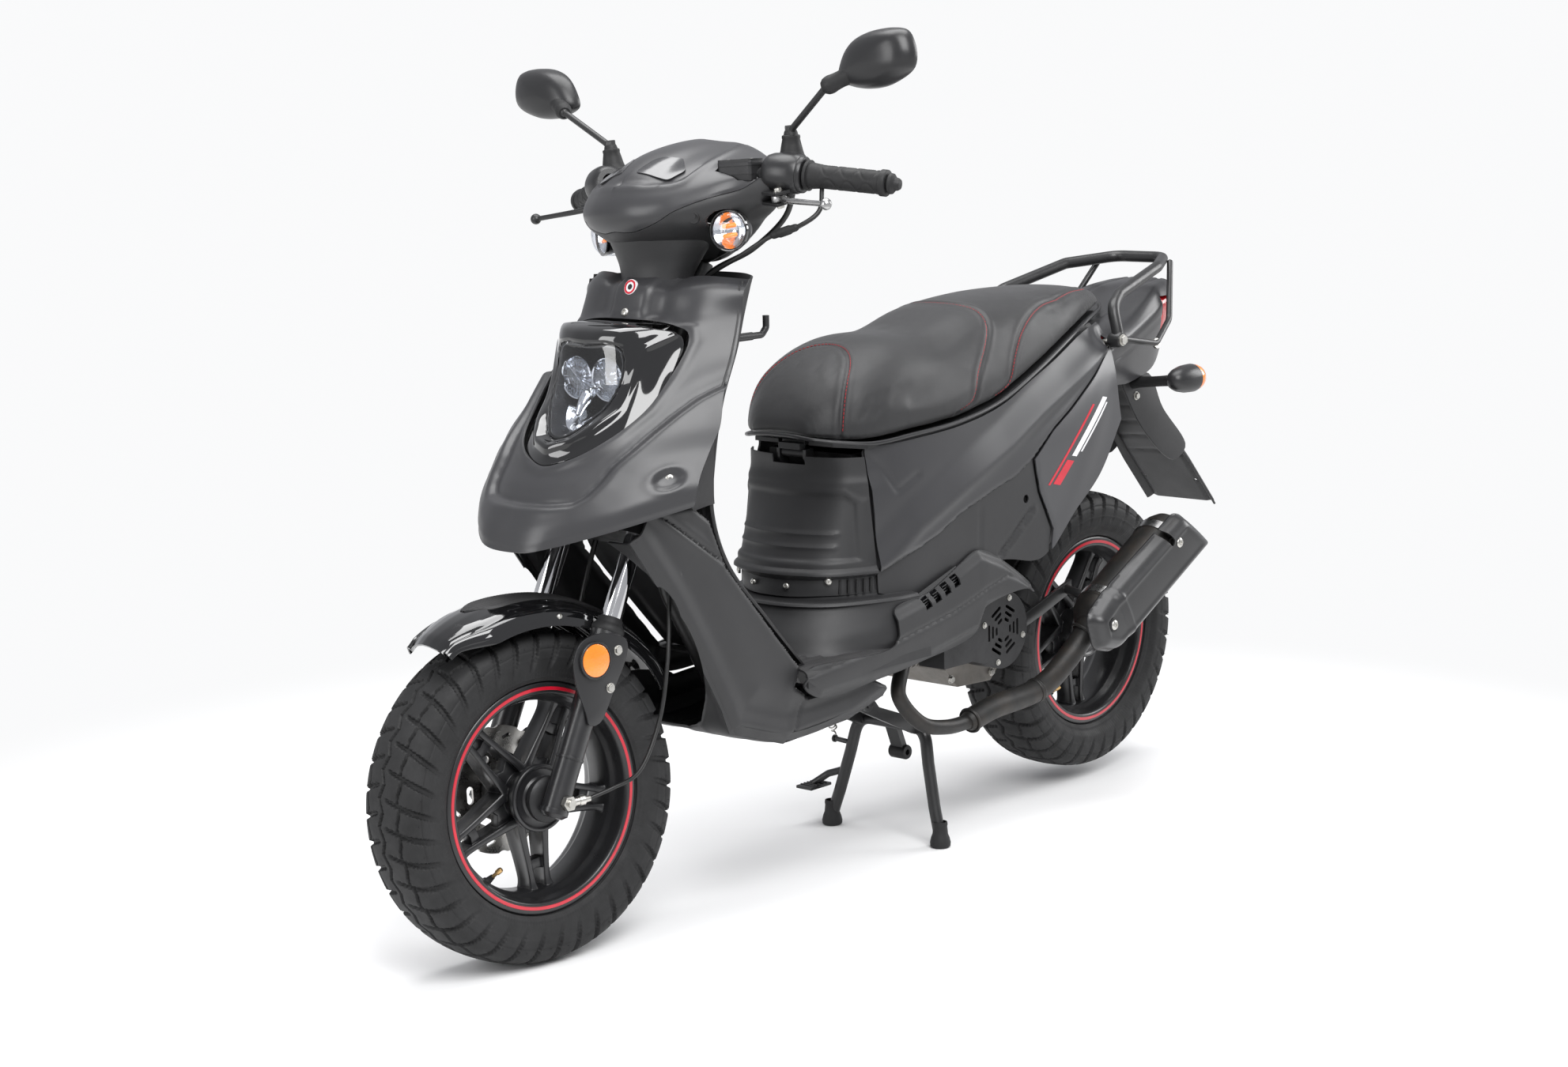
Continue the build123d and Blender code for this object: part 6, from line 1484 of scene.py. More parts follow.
    # neck collar: dark moulded throat between the cowl and the hood
    rows_ = []
    for z, rx, ry, xc in ((1012, 80, 92, 322), (996, 70, 84, 326), (975, 58, 72, 333), (952, 51, 62, 341), (932, 47, 58, 349), (925, 44, 55, 352)):
        rows_.append([(xc + rx * cos(a) * (1 if cos(a) > 0 else .9), ry * sin(a), z - 6 * cos(a)) for a in np.linspace(0, 2 * pi, 40, endpoint=False)])
    Rn = np.array(rows_)
    us = np.linspace(0, len(Rn) - 1, 31)
    Rn = np.array([spline_at(Rn[:, c], us) for c in range(Rn.shape[1])]).transpose(1, 0, 2)
    make("neck_collar", Rn.reshape(-1, 3), grid_faces(31, 40, wrap_c=True), M["trim"], "bars", steered=True, solid=2.0, slot="plastic_dark")

    # plugs on the lower housing
    pl = Geo()
    for sd in (1, -1):
        pl.lathe([(-3, .1), (-3, 8.5), (1.4, 8.5), (2.2, 7.6), (1.2, 5.8), (.6, .1)], (369, 121 * sd, 1035), (.83, .5 * sd, -.22), 32)
    pl.out("cowl_plugs", M["rubber"], "bars", steered=True, slot="rubber")

    # indicators: round body, flat reflector, amber bulb and domed clear lens
    for sd in (1, -1):
        L_ = "l" if sd > 0 else "r"
        c = np.array([318, 143.0 * sd, 1014])
        dd = unit((.93, .36 * sd, 0))
        g = Geo()
        g.lathe([(-34, .1), (-34, 12), (-28, 18), (-14, 24.5), (-2, 28), (9, 29.6), (11, 29.4), (11, 27.2), (2, 25.5), (-6, 21), (-8, .1)], c, dd, 56)
        g.tube([c - dd * 30, (288, 126 * sd, 1013), (272, 118 * sd, 1013)], 9, 18)
        g.out("indicator_body_" + L_, M["smooth"], "bars", steered=True, slot="plastic_dark",
              replaces=("front_indicators",) if sd > 0 else ())
        g = Geo()
        pr = [(-7, .1)] + [(-7 + 16 * (r / 26.0) ** 2, r) for r in np.linspace(4, 26, 10)] + [(8, 27), (-9, 24), (-9, .1)]
        g.lathe(pr, c, dd, 56)
        g.out("indicator_reflector_" + L_, M["silver"], "bars", steered=True, slot="chrome")
        g = Geo()
        up_ = np.array([0, 0, 1.0])
        side_ = np.cross(up_, dd)
        for a_ in (-8, 6):
            g.tube([c + dd * 6 + up_ * a_ - side_ * 9, c + dd * 8 + up_ * (a_ + 2) + side_ * 9], 3.6, 14, round_ends=True)
        g.out("indicator_bulb_" + L_, M["bulb"], "bars", steered=True, slot="amber")
        g = Geo()
        g.lathe([(9, 28.6)] + [(9 + 17 * cos(a), 28.6 * sin(a)) for a in np.linspace(pi / 2, .06, 14)], c, dd, 56)
        g.out("indicator_lens_" + L_, M["lens"], "bars", steered=True, solid=1.4, slot="lens_clear")
        g = Geo()
        g.lathe([(7, 27.6), (7, 30.6), (11.5, 30.4), (12.4, 29.2), (12, 27.8), (7, 27.6)], c, dd, 64)
        g.out("indicator_ring_" + L_, M["gloss"], "bars", steered=True, slot="body_gloss")

    # dash: bezel, round dial with ticks, needle, tell-tales
    o0 = np.array([228, 0, 1112.0])
    g = Geo()
    rim_ = []
    for r_, h_ in ((1.0, 2), (1.03, 10), (1.0, 17), (.93, 18), (.86, 14)):
        ring = []
        for k in range(48):
            a = 2 * pi * k / 48
            ex = (abs(cos(a)) ** (2 / 3.2)) * np.sign(cos(a)) * 49.5 * r_
            ey = (abs(sin(a)) ** (2 / 3.2)) * np.sign(sin(a)) * 33.5 * r_
            ring.append(o0 + np.array([0, 1, 0]) * ex + xz * ey + nz_ * h_)
        rim_.append(ring)
    R_ = np.array(rim_)
    g.add(R_.reshape(-1, 3), grid_faces(5, 48, wrap_c=True))
    g.out("dash_bezel", M["smooth"], "bars", steered=True, solid=1.6, slot="plastic_dark", replaces=("instrument_panel",))
    g = Geo()
    g.prism([p - nz_ * 6 for p in R_[4]], nz_ * 1.5)
    g.lathe([(8.6, .1), (8.6, 29), (10.5, 29), (10.5, 27), (9.6, 26.4), (9.6, .1)], o0 + xz * -2, nz_, 56)
    g.out("dash_face", M["dial"], "bars", steered=True, slot="body_gloss")
    g = Geo()
    for k in range(15):
        a = rad(-130 + 260 * k / 14)
        e = xz * -cos(a) + np.array([0, 1, 0]) * sin(a)
        t_ = np.cross(nz_, e)
        long_ = 6 if k % 2 == 0 else 3.5
        g.box(o0 + xz * -2 + e * (25 - long_ / 2) + nz_ * 10.2, (long_, 1.1, .5), e, t_, nz_)
    e = xz * -cos(rad(-128)) + np.array([0, 1, 0]) * sin(rad(-128))
    g.tube([o0 + xz * -2 - e * 5 + nz_ * 11, o0 + xz * -2 + e * 20 + nz_ * 11], [1.6, .5], 8)
    g.out("dash_marks", M["white"], "bars", steered=True, slot="plastic_dark")
    g = Geo()
    for y_ in (-39, 39):
        for k, e_ in enumerate((-12, 0, 12)):
            g.lathe([(8, .1), (8, 4), (10.4, 4), (11, 3.2), (11, .1)], o0 + np.array([0, y_, 0]) + xz * e_, nz_, 20)
    g.out("dash_lamps", M["amber"], "bars", steered=True, slot="amber")
    g = Geo()
    g.prism([p + nz_ * -2 for p in R_[3]], nz_ * 1.0)
    g.out("dash_window", M["lens"], "bars", steered=True, slot="lens_clear")

    # grips with moulded leaf relief
    for sd, body_, nd, nm in ((1, "throttle", "throttle_grip", "l"), (-1, "bars", "fixed_grip", "r")):
        g0 = np.array([252, 240.0 * sd, 1085])
        d_ = unit((204 - 252, 110 * sd, -18.0))
        prof, na = [], 60
        al = np.concatenate([[-2, -1.6, -1, 2.4, 3, 3.4], np.linspace(6, 112, 70), [113, 114, 115, 121, 122, 122.4]])
        def rad_at(a):
            if a < 3.2: return 22.0 - (0.8 if a < -1.4 else 0)
            if a < 6: return 18.5
            if a < 20: return 18.6 - 1.2 * smooth01((a - 6) / 14)
            if a < 112.5: return 16.9
            if a < 122.2: return 19.0 - (.8 if a > 121.5 else 0)
            return 12
        ref_u = unit(np.cross(d_, (0, 0, 1)))
        ref_w = np.cross(d_, ref_u)
        V_ = []
        for a in al:
            r0 = rad_at(a)
            for k in range(na):
                th = 2 * pi * k / na
                rr = r0
                if 22 < a < 110:
                    ph = (a - 22) / 88 * 3
                    l1 = abs(math.sin(pi * ph)) * .85
                    q = (th % (2 * pi / 3)) / (2 * pi / 3) * 2 - 1
                    edge = abs(abs(q) - l1)
                    rr -= 1.2 * math.exp(-(edge / .12) ** 2) * (math.sin(pi * (a - 22) / 88) > .03)
                    if abs(q) < l1 - .2:
                        rr -= .35 * (1 + math.sin(a * 2.1)) * .5
                V_.append(g0 + d_ * a + rr * (cos(th) * ref_u + sin(th) * ref_w))
        V_.append(g0 + d_ * 122.6)
        nl = len(al)
        F_ = grid_faces(nl, na, wrap_c=True)
        F_ += [[(nl - 1) * na + k, (nl - 1) * na + (k + 1) % na, nl * na] for k in range(na)]
        make("grip_" + nm, V_, F_, M["rubber"], body_, steered=True, smooth=50, replaces=(nd,), slot="rubber")
        g = Geo()
        g.lathe([(122, .1), (122, 12), (126, 15), (130, 14.4), (134, 9.6), (138, 8.8), (141, 7), (142, .1)], g0, d_, 36)
        g.out("bar_end_" + nm, M["rubber"], body_, steered=True, slot="rubber")

    # switch housings and their keys
    for sd, nm in ((1, "l"), (-1, "r")):
        g0 = np.array([252, 240.0 * sd, 1085])
        d_ = unit((204 - 252, 110 * sd, -18.0))
        g = Geo()
        prof = [(-66, 12), (-66, 20), (-62, 24), (-54, 27), (-40, 29), (-24, 29.5), (-14, 28), (-11.4, 26.6), (-11.2, 25.8), (-10.8, 26.6),
                (-6, 26), (-4.5, 24.5), (-4.5, 12), (-66, 12)]
        ox = np.array([0, 0, 0.0])
        g.lathe(prof, g0 + ox, d_, 44)
        g.out("switch_housing_" + nm, M["smooth"], "bars", steered=True, slot="plastic_dark",
              replaces=())
        g = Geo()
        r_ = unit(np.cross(d_, (0, 0, 1))) * (1 if sd < 0 else -1)
        back = -unit(np.array([d_[1] * sd, 0, 0]) * 0 + np.array([1, 0, 0]))
        for k, a_ in enumerate((-50, -36, -22)):
            cpt = g0 + d_ * a_ + back * 28.5
            g.box(cpt, (7, 11, 7 if k != 1 else 10), back, d_, np.cross(back, d_), taper=.8)
        g.out("switch_keys_" + nm, M["rubber"], "bars", steered=True, slot="rubber", bevel=1.0)


def lever_pt(sd, along=0.0, up=0.0, fwd=0.0):
    piv, tip = np.array([288, 215, 1056.0]), np.array([309, 336, 1044.0])
    up_ = unit((0.237, .256, .937))
    fw = unit(tip - piv)
    up_ = unit(up_ - fw * (up_ @ fw))
    f = -np.cross(up_, fw)
    v = piv + fw * along + up_ * up + f * fwd
    return v if sd > 0 else v * np.array([1, -1, 1])


def levers():
    for sd, nm, body_ in ((1, "left", "left_lever"), (-1, "right", "right_lever")):
        # blade: flattened, tapering, ball end
        Pl = spline([lever_pt(sd, -8, 0, -3), lever_pt(sd, 5, 0, 1), lever_pt(sd, 34, 0, 6), lever_pt(sd, 80, 0, 3.5),
                     lever_pt(sd, 121, 0, 0)], 46)
        ts = np.linspace(0, 1, 46)
        wid = np.interp(ts, [0, .1, .3, .7, .93, 1], [8.5, 9.5, 7.4, 5.6, 4.8, 4.6])
        thk = np.interp(ts, [0, .1, .3, .7, .93, 1], [4.6, 4.8, 4.3, 3.9, 3.9, 4.2])
        T, U, W = frames_along(Pl)
        up_ = unit(lever_pt(sd, 0, 1, 0) - lever_pt(sd, 0, 0, 0))
        fo_ = unit(lever_pt(sd, 0, 0, 1) - lever_pt(sd, 0, 0, 0))
        V_ = []
        for p, t, w_, h_ in zip(Pl, T, wid, thk):
            for k in range(20):
                a = 2 * pi * k / 20
                cx_ = abs(cos(a)) ** .8 * np.sign(cos(a))
                sx_ = abs(sin(a)) ** .8 * np.sign(sin(a))
                V_.append(p + fo_ * cx_ * w_ * .5 * 1.15 + up_ * sx_ * h_)
        F_ = grid_faces(46, 20, wrap_c=True) + [list(range(20))[::-1], list(range(45 * 20, 46 * 20))]
        g = Geo()
        g.add(V_, F_)
        c = lever_pt(sd, 122)
        g.lathe([(-8.4 * cos(a), 8.4 * sin(a) + .01) for a in np.linspace(0, pi, 15)], c, T[-1], 28)
        g.lathe([(-5, 3.4), (-5, 10.6), (-4.2, 11.4), (4.2, 11.4), (5, 10.6), (5, 3.4), (-5, 3.4)], lever_pt(sd), up_, 32)
        g.out("lever_" + nm, M["steel"] if sd > 0 else M["frame"], body_, steered=True, smooth=46,
              replaces=("brake_lever_" + nm,), slot="steel")
        g = Geo()
        g.hexbolt(lever_pt(sd, 0, 9.6), up_, 5.2, 5)
        g.hexbolt(lever_pt(sd, 0, -9.8), -up_, 5.2, 5)
        g.out("lever_pivot_screw_" + nm, M["zinc"], "bars", steered=True, slot="zinc")
    # reservoir: squared cup with a flat lid and two screws
    u_, v_ = unit((-0.25, .968, 0)), unit((.968, .25, 0))
    c_ = np.array([300, 150, 1092.0])

    def rr(a, b, r, z, k=6):
        pts = []
        for sx, sy, a0 in ((1, 1, 0), (-1, 1, 90), (-1, -1, 180), (1, -1, 270)):
            for i in range(k + 1):
                t = rad(a0 + 90 * i / k)
                pts.append(c_ + u_ * (sx * (a - r) + r * cos(t)) + v_ * (sy * (b - r) + r * sin(t)) + np.array([0, 0, z]))
        return pts
    Ls = [rr(27, 16.5, 5, -9), rr(28.6, 17.6, 5, -6), rr(28.6, 17.6, 5, 10), rr(26.6, 15.6, 5, 10.4), rr(26.6, 15.6, 5, 11.6), rr(29.4, 18.4, 5, 12), rr(29.4, 18.4, 5, 18), rr(28, 17, 5, 20)]
    R_ = np.array(Ls)
    ff = grid_faces(len(Ls), R_.shape[1], wrap_c=True) + [list(range(R_.shape[1]))[::-1], list(range((len(Ls) - 1) * R_.shape[1], len(Ls) * R_.shape[1]))]
    make("brake_reservoir", R_.reshape(-1, 3), ff, M["alublack"], "bars", steered=True, slot="body_matte")
    g = Geo()
    for a in (-20, 20):
        g.screw(c_ + u_ * a + np.array([0, 0, 20]), (0, 0, 1), 4.0, 2.4)
    g.out("reservoir_screws", M["zinc"], "bars", steered=True, slot="zinc")
    # mirror stems: conical boot, locknut, bent rod
    for sd, nm in ((1, "l"), (-1, "r")):
        s_ = lambda x, y, z: np.array([x, y * sd, z], float)
        g = Geo()
        up_ = unit(s_(250.8, 206.2, 1130) - s_(250, 205, 1112))
        g.lathe([(-8, 6), (-8, 20), (-3, 20.6), (0, 19.6), (3, 19.8), (5, 18.2), (12, 16.2), (20, 14.6), (28, 12.8), (30, 13.4), (33, 13.0), (34, 10.5), (38, 9.6), (40, 8.6), (41, 5)],
                s_(250, 205, 1110), up_, 40)
        g.out("mirror_boot_" + nm, M["rubber"], "bars", steered=True, slot="rubber", replaces=("mirror_stems",) if sd > 0 else ())
        g = Geo()
        path = fillet_path([s_(250, 205, 1118), s_(253, 210, 1150), s_(264, 302, 1206)], 22, 10)
        g.tube(path, 5.0, 20)
        g.lathe([(36, 5.2), (36, 8.6), (44, 8.6), (45, 7.8), (45, 5.2)], s_(250, 205, 1112), up_, 6)
        T = unit(s_(264, 302, 1206) - s_(253, 210, 1150))
        g.lathe([(-8.2 * cos(a), 8.2 * sin(a) + .01) for a in np.linspace(0, pi, 13)], s_(264, 302, 1206), T, 24)
        g.out("mirror_rod_" + nm, M["frame"], "bars", steered=True, slot="frame_black")
    # mirror heads: domed shell, recessed glass, flexible neck
    HO = [(306, 1214), (330, 1203), (366, 1198), (404, 1203), (444, 1222), (449, 1244), (438, 1270), (420, 1277), (366, 1275), (333, 1262), (314, 1240)]
    ho = spline(np.array(HO, float), 72, closed=True)
    cen = np.array([378.0, 1238.0])
    for sd, nm, body_ in ((1, "left", "left_mirror"), (-1, "right", "right_mirror")):
        rows_ = []
        for x, k in ((230.5, .955), (228.2, .965), (227.4, .985), (229, 1.0), (236, 1.003), (242, .985), (248, .94), (254, .85), (259, .70), (262.5, .5), (264.5, .27), (265, .08)):
            r_ = [(x, sd * (cen[0] + (y - cen[0]) * k), cen[1] + (z - cen[1]) * k) for y, z in ho]
            rows_.append(r_)
        R_ = np.array(rows_)
        nr = len(rows_)
        ff = grid_faces(nr, 72, wrap_c=True) + [list(range((nr - 1) * 72, nr * 72)), list(range(72))[::-1]]
        make("mirror_shell_" + nm, R_.reshape(-1, 3), ff, M["smooth"], body_, steered=True, smooth=40,
             replaces=("mirror_head_" + nm,), slot="plastic_dark")
        g = Geo()
        rg = []
        for x, k in ((229.4, .95), (228.6, .95), (228.0, .6), (227.7, .2)):
            rg.append([(x, sd * (cen[0] + (y - cen[0]) * k), cen[1] + (z - cen[1]) * k) for y, z in ho])
        R_ = np.array(rg)
        g.add(R_.reshape(-1, 3), grid_faces(4, 72, wrap_c=True) + [list(range(72))[::-1], list(range(3 * 72, 4 * 72))])
        g.out("mirror_glass_" + nm, M["mirror"], body_, steered=True, slot="chrome")
        g = Geo()
        a_, b_ = np.array([264, 302.0 * sd, 1206]), np.array([247, 336.0 * sd, 1221])
        g.tube(np.array([a_ + (b_ - a_) * t for t in np.linspace(-.12, 1, 12)]), [9, 12, 13, 13.2, 12.6, 12.2, 12, 12, 12.4, 13, 14, 15], 26)
        g.out("mirror_neck_" + nm, M["rubber"], body_, steered=True, slot="rubber")
    # starter key
    g = Geo()
    g.lathe([(-18, .1), (-18, 7), (-2, 7), (-1.5, 8.6), (2, 8.8), (3.4, 7.6), (3.8, .1)], (208, 126, 1078), (-1, 0, 0), 28)
    g.out("starter_cap", M["amber"], "starter", steered=True, replaces=("starter_button",), slot="amber")


bars()
levers()
# ------------------------------------------------------------ body panels
def y_prism(poly, y0, y1):
    g = Geo()
    g.prism([(x, y0, z) for x, z in poly], (0, y1 - y0, 0))
    return g


def z_prism(poly, z0, z1):
    g = Geo()
    g.prism([(x, y, z0) for x, y in poly], (0, 0, z1 - z0))
    return g


def out_normals(G, ref):
    """Normals turned to point along ref (a vector or a per-point array)."""
    n = grid_normals(G)
    if np.mean(np.einsum("ijk,ijk->ij", n, np.broadcast_to(ref, G.shape))) < 0:
        n = -n
    return n


def side_of(G, ref):
    """1 when the grid's own winding faces along ref."""
    a, b = G.shape[0] // 2, G.shape[1] // 2
    v = np.cross(G[a, b + 1] - G[a, b], G[a + 1, b] - G[a, b])
    return 1 if v @ np.asarray(ref, float) > 0 else -1


SIDE = [
    (24, [(118, 670), (131, 560), (142, 446)]),
    (-60, [(137, 676), (152, 560), (157, 426)]),
    (-175, [(146, 686), (160, 590), (159, 466)]),
    (-280, [(144, 705), (161, 600), (159, 456)]),
    (-370, [(138, 737), (160, 620), (164, 448)]),
    (-450, [(130, 765), (157, 660), (165, 512)]),
    (-530, [(119, 796), (150, 710), (162, 568)]),
    (-602, [(100, 812), (135, 760), (154, 650)]),
]
SIDE_RIDGE = [(24, 138, 478), (-60, 153, 540), (-175, 160, 594), (-290, 156, 641), (-382, 149, 684), (-548, 138, 753), (-620, 128, 790)]
SIDE_SEAM = [(40, 474), (22, 480), (-55, 505), (-110, 526), (-158, 549), (-240, 575), (-299, 590), (-344, 612), (-407, 654),
             (-462, 683), (-541, 731), (-640, 800)]
STRIP = [(-349, 640), (-352, 590), (-360, 556), (-378, 522), (-393, 492), (-388, 462), (-380, 400)]


def side_panels():
    for sd in (1, -1):
        L_ = "l" if sd > 0 else "r"
        G = dense([[(x, y * sd, z) for y, z in s] for x, s in SIDE], 16, 34)
        n = out_normals(G, (0, sd, 0))
        P, Nn = G.reshape(-1, 3), n.reshape(-1, 3)
        ln = [(x, y * sd, z) for x, y, z in SIDE_RIDGE]
        s = signed_line(P, Nn, ln)
        up_ = signed_line(np.array([[-175.0, 150 * sd, 670]]), np.array([[0, sd, 0.0]]), ln)[0]
        s = s * (1 if up_ > 0 else -1)
        d = np.where(s > 0, 5.0 * np.exp(-(s / 20) ** 2) - 2.6 * np.exp(-((s - 46) / 20) ** 2), 5.0 * np.exp(-(s / 11) ** 2))
        # cove between the ridge and the parting line
        sm = poly_dist(P[:, [0, 2]], SIDE_SEAM)
        d += -4.0 * np.exp(-((np.abs(sm) - 0) / 3.2) ** 2)
        # grip recess at the front edge
        r1, _, _ = line_dist(P, [(30, 120 * sd, 668), (-3, 131 * sd, 634), (-22, 139 * sd, 600), (-66, 147 * sd, 622)])
        d += -2.6 * np.exp(-(r1 / 5) ** 2) * (P[:, 0] > -70)
        e = np.clip((P[:, 0] + 18) / 40, 0, 1) * smooth01((P[:, 2] - 590) / 30)
        d += -8 * e * smooth01((P[:, 2] - 600) / 40)
        # flare round the rack foot
        rf = np.hypot(P[:, 0] + 598, P[:, 2] - 782)
        d += 4.0 * np.exp(-((rf - 24) / 9) ** 2) - 3 * np.exp(-(rf / 14) ** 2)
        Gu = G + n * d.reshape(G.shape[:2])[:, :, None]
        wind = side_of(G, (0, sd, 0))
        y0, y1 = (60, 230) if sd > 0 else (-230, -60)
        seam = SIDE_SEAM
        hole = Geo()
        hole.add(*tube_geo([(-600, sd * 100, 778), (-600, sd * 200, 778)], 14.5, 28))
        sheet("side_upper_" + L_, Gu, M["body"], "chassis", 2.8, keep=y_prism([(x, z + .6) for x, z in seam] + [(-640, 900), (40, 900)], y0, y1),
              side=wind, cut=[hole], replaces=("side_panels",) if sd > 0 else (), level=0)
        # lower front filler: dark, set back
        dl = -5.5 + 2.2 * np.exp(-((np.abs(poly_dist(P[:, [0, 2]], [(-208, 640), (-206, 545), (-213, 400)])) - 0) / 30) ** 2) * 0
        dl = dl - 1.8 * np.exp(-(poly_dist(P[:, [0, 2]], [(-200, 640), (-208, 545), (-213, 400)]) / 1.8) ** 2)
        dl = dl - 4.0 * np.exp(-(poly_dist(P[:, [0, 2]], [(-262, 466), (-300, 496), (-342, 530)]) / 5.5) ** 2)
        dl = dl + 3.2 * np.exp(-((poly_dist(P[:, [0, 2]], [(-256, 452), (-300, 487), (-352, 528)]) + 0) / 4.0) ** 2)
        dl = dl - 2.5 * smooth01((510 - P[:, 2]) / 60) * smooth01((P[:, 0] + 160) / 60)
        Gl = G + n * dl.reshape(G.shape[:2])[:, :, None]
        front_poly = [(x, z - .9) for x, z in seam if x > -345] + [(-347, 612), (-350, 590), (-358, 556), (-376, 522), (-391, 492), (-386, 462), (-378, 400), (40, 400)]
        port = Geo()
        port.add(*tube_geo([(-327, sd * 120, 549), (-327, sd * 200, 549)], 7, 20))
        louv = [port]
        sheet("side_filler_" + L_, Gl, M["trim"], "chassis", 2.6, keep=y_prism(front_poly, y0, y1), cut=louv, side=wind, slot="plastic_dark", level=0)
        # rear strip in the lighter finish, with plain two-colour trim stripes
        ds = -1.0 - 2.0 * np.exp(-(poly_dist(P[:, [0, 2]], STRIP) / 3) ** 2) + 1.2 * np.exp(-((poly_dist(P[:, [0, 2]], [(-430, 505), (-470, 560), (-590, 720)])) / 20) ** 2)
        Gs = G + n * ds.reshape(G.shape[:2])[:, :, None]
        rear_poly = [(-351, 611), (-407, 652), (-462, 681), (-541, 729), (-640, 798), (-640, 380), (-382, 380), (-390, 462), (-395, 492), (-380, 523), (-362, 556), (-354, 590)]
        sheet("side_strip_" + L_, Gs, M["body2"], "chassis", 2.6, keep=y_prism(rear_poly, y0, y1), side=wind, level=0)
        Gd = G + n * (ds + .5).reshape(G.shape[:2])[:, :, None]
        a_, b_ = np.array([-400.0, 566]), np.array([-556.0, 700])
        t_, w_ = unit(b_ - a_), np.array([-unit(b_ - a_)[1], unit(b_ - a_)[0]])

        def quad(u0, u1, v0, v1, sk=9):
            pts = [a_ + t_ * (u0 + sk * v / 12) + w_ * v for v in (v0,)] + [a_ + t_ * (u1 + sk * v0 / 12) + w_ * v0] + \
                  [a_ + t_ * (u1 + sk * v1 / 12) + w_ * v1] + [a_ + t_ * (u0 + sk * v1 / 12) + w_ * v1]
            return [(p[0], p[1]) for p in pts]
        for k, (u0, u1, v0, v1, mm, nm) in enumerate(((62, 196, 2, 12, "white", "a"), (-6, 176, -12, -8, "red", "b"), (-2, 52, -3, 12, "red", "c"), (74, 186, 15, 18, "white", "d"))):
            sheet("trim_stripe_%s_%s" % (nm, L_), Gd, M[mm], "chassis", .8, keep=y_prism(quad(u0, u1, v0, v1), y0, y1), side=wind, slot="body_gloss", level=0)
        # dark inner liner closes the view between the panels
        Lf = dense([[(x, (y - 13) * sd, z) for y, z in s] for x, s in SIDE], 4, 8)
        nl = out_normals(Lf, (0, sd, 0))
        sheet("side_liner_" + L_, Lf, M["trim"], "chassis", 2.0, side=side_of(Lf, (0, sd, 0)), slot="plastic_dark", level=1)


UNDER = [
    (657, [(77, 0), (72, 50), (58, 92), (30, 116)]),
    (620, [(78, 0), (72, 50), (58, 94), (28, 120)]),
    (540, [(106, 0), (98, 50), (74, 98), (26, 128)]),
    (474, [(130, 0), (120, 50), (92, 98), (24, 134)]),
    (446, [(134, 0), (124, 50), (88, 100), (24, 136)]),
]


def underseat():
    G = dense([[(x, -y, z) for x, y in r[:0:-1]] + [(x, y, z) for x, y in r] for z, r in UNDER], 26, 18)
    n = out_normals(G, (1, 0, 0))
    P = G.reshape(-1, 3)
    Y, Z = P[:, 1], P[:, 2]
    aY = np.abs(Y)
    # inset panel with a rounded top
    zt = 600 - 18 * smooth01((aY - 96) / 24)
    top = (Z - zt)
    edge = np.minimum(np.minimum(-top, 116 - aY + 0.10 * (540 - Z)), Z - 500)
    d = -2.6 * smooth01((edge + 1) / 4) + 2.0 * np.exp(-((edge + 5) / 5) ** 2)
    d += 2.6 * np.exp(-((Z - 541) / 3.2) ** 2) * smooth01((102 - aY) / 8)
    d += 2.6 * np.exp(-((Z - 521) / 3.2) ** 2) * smooth01((102 - aY) / 8)
    # shoulder over the panel and a rolled bottom flange
    d += 5.0 * np.exp(-((Z - 616) / 9) ** 2) * .5
    d += 6.0 * smooth01((490 - Z) / 9) * (1 - smooth01((478 - Z) / 5)) - 7.5 * smooth01((478 - Z) / 6)
    G2 = G + n * d.reshape(G.shape[:2])[:, :, None]
    slots = []
    for k in range(7):
        for sd in (1, -1):
            g = Geo()
            a = rad(28 + k * 9)
            g.box((62 + 34 * cos(a) * 1.2, sd * (62 + 56 * sin(a)), 458), (60, 4.5, 18), (cos(a), sd * sin(a), 0), (-sin(a) * sd, cos(a), 0))
            slots.append(g)
    notch = Geo()
    notch.box((70, 0, 657), (70, 66, 26))
    o = sheet("seat_post_cover", G2, M["trim"], "chassis", 2.8, side=side_of(G, (1, 0, 0)), cut=[notch], replaces=("underseat_cover",), slot="plastic_dark", level=0)
    g = Geo()
    for sd in (1, -1):
        for k in range(9):
            a = rad(20 + k * 8)
            g.tube([(88 * cos(a) + 22, sd * (120 * sin(a) + 6), 449), (88 * cos(a) + 21, sd * (120 * sin(a) + 6), 470)], 2.2, 10)
    g.out("post_cover_ribs", M["rubber"], "chassis", slot="rubber")
    g = Geo()
    for sd in (1, -1):
        g.screw((93, sd * 92, 470), (.8, sd * .6, 0), 6.2, 4)
        g.screw((124, sd * 34, 462), (.97, sd * .2, 0), 5.2, 3.6)
    g.out("post_cover_screws", M["zinc"], "chassis", slot="zinc")


SKIRT = [(222, 362), (236, 342), (201, 317), (52, 321), (-38, 329), (-186, 355), (-207, 389), (-306, 406), (-345, 394), (-341, 402),
         (-250, 464), (-195, 484), (-150, 468), (-73, 436), (14, 420), (22, 372)]


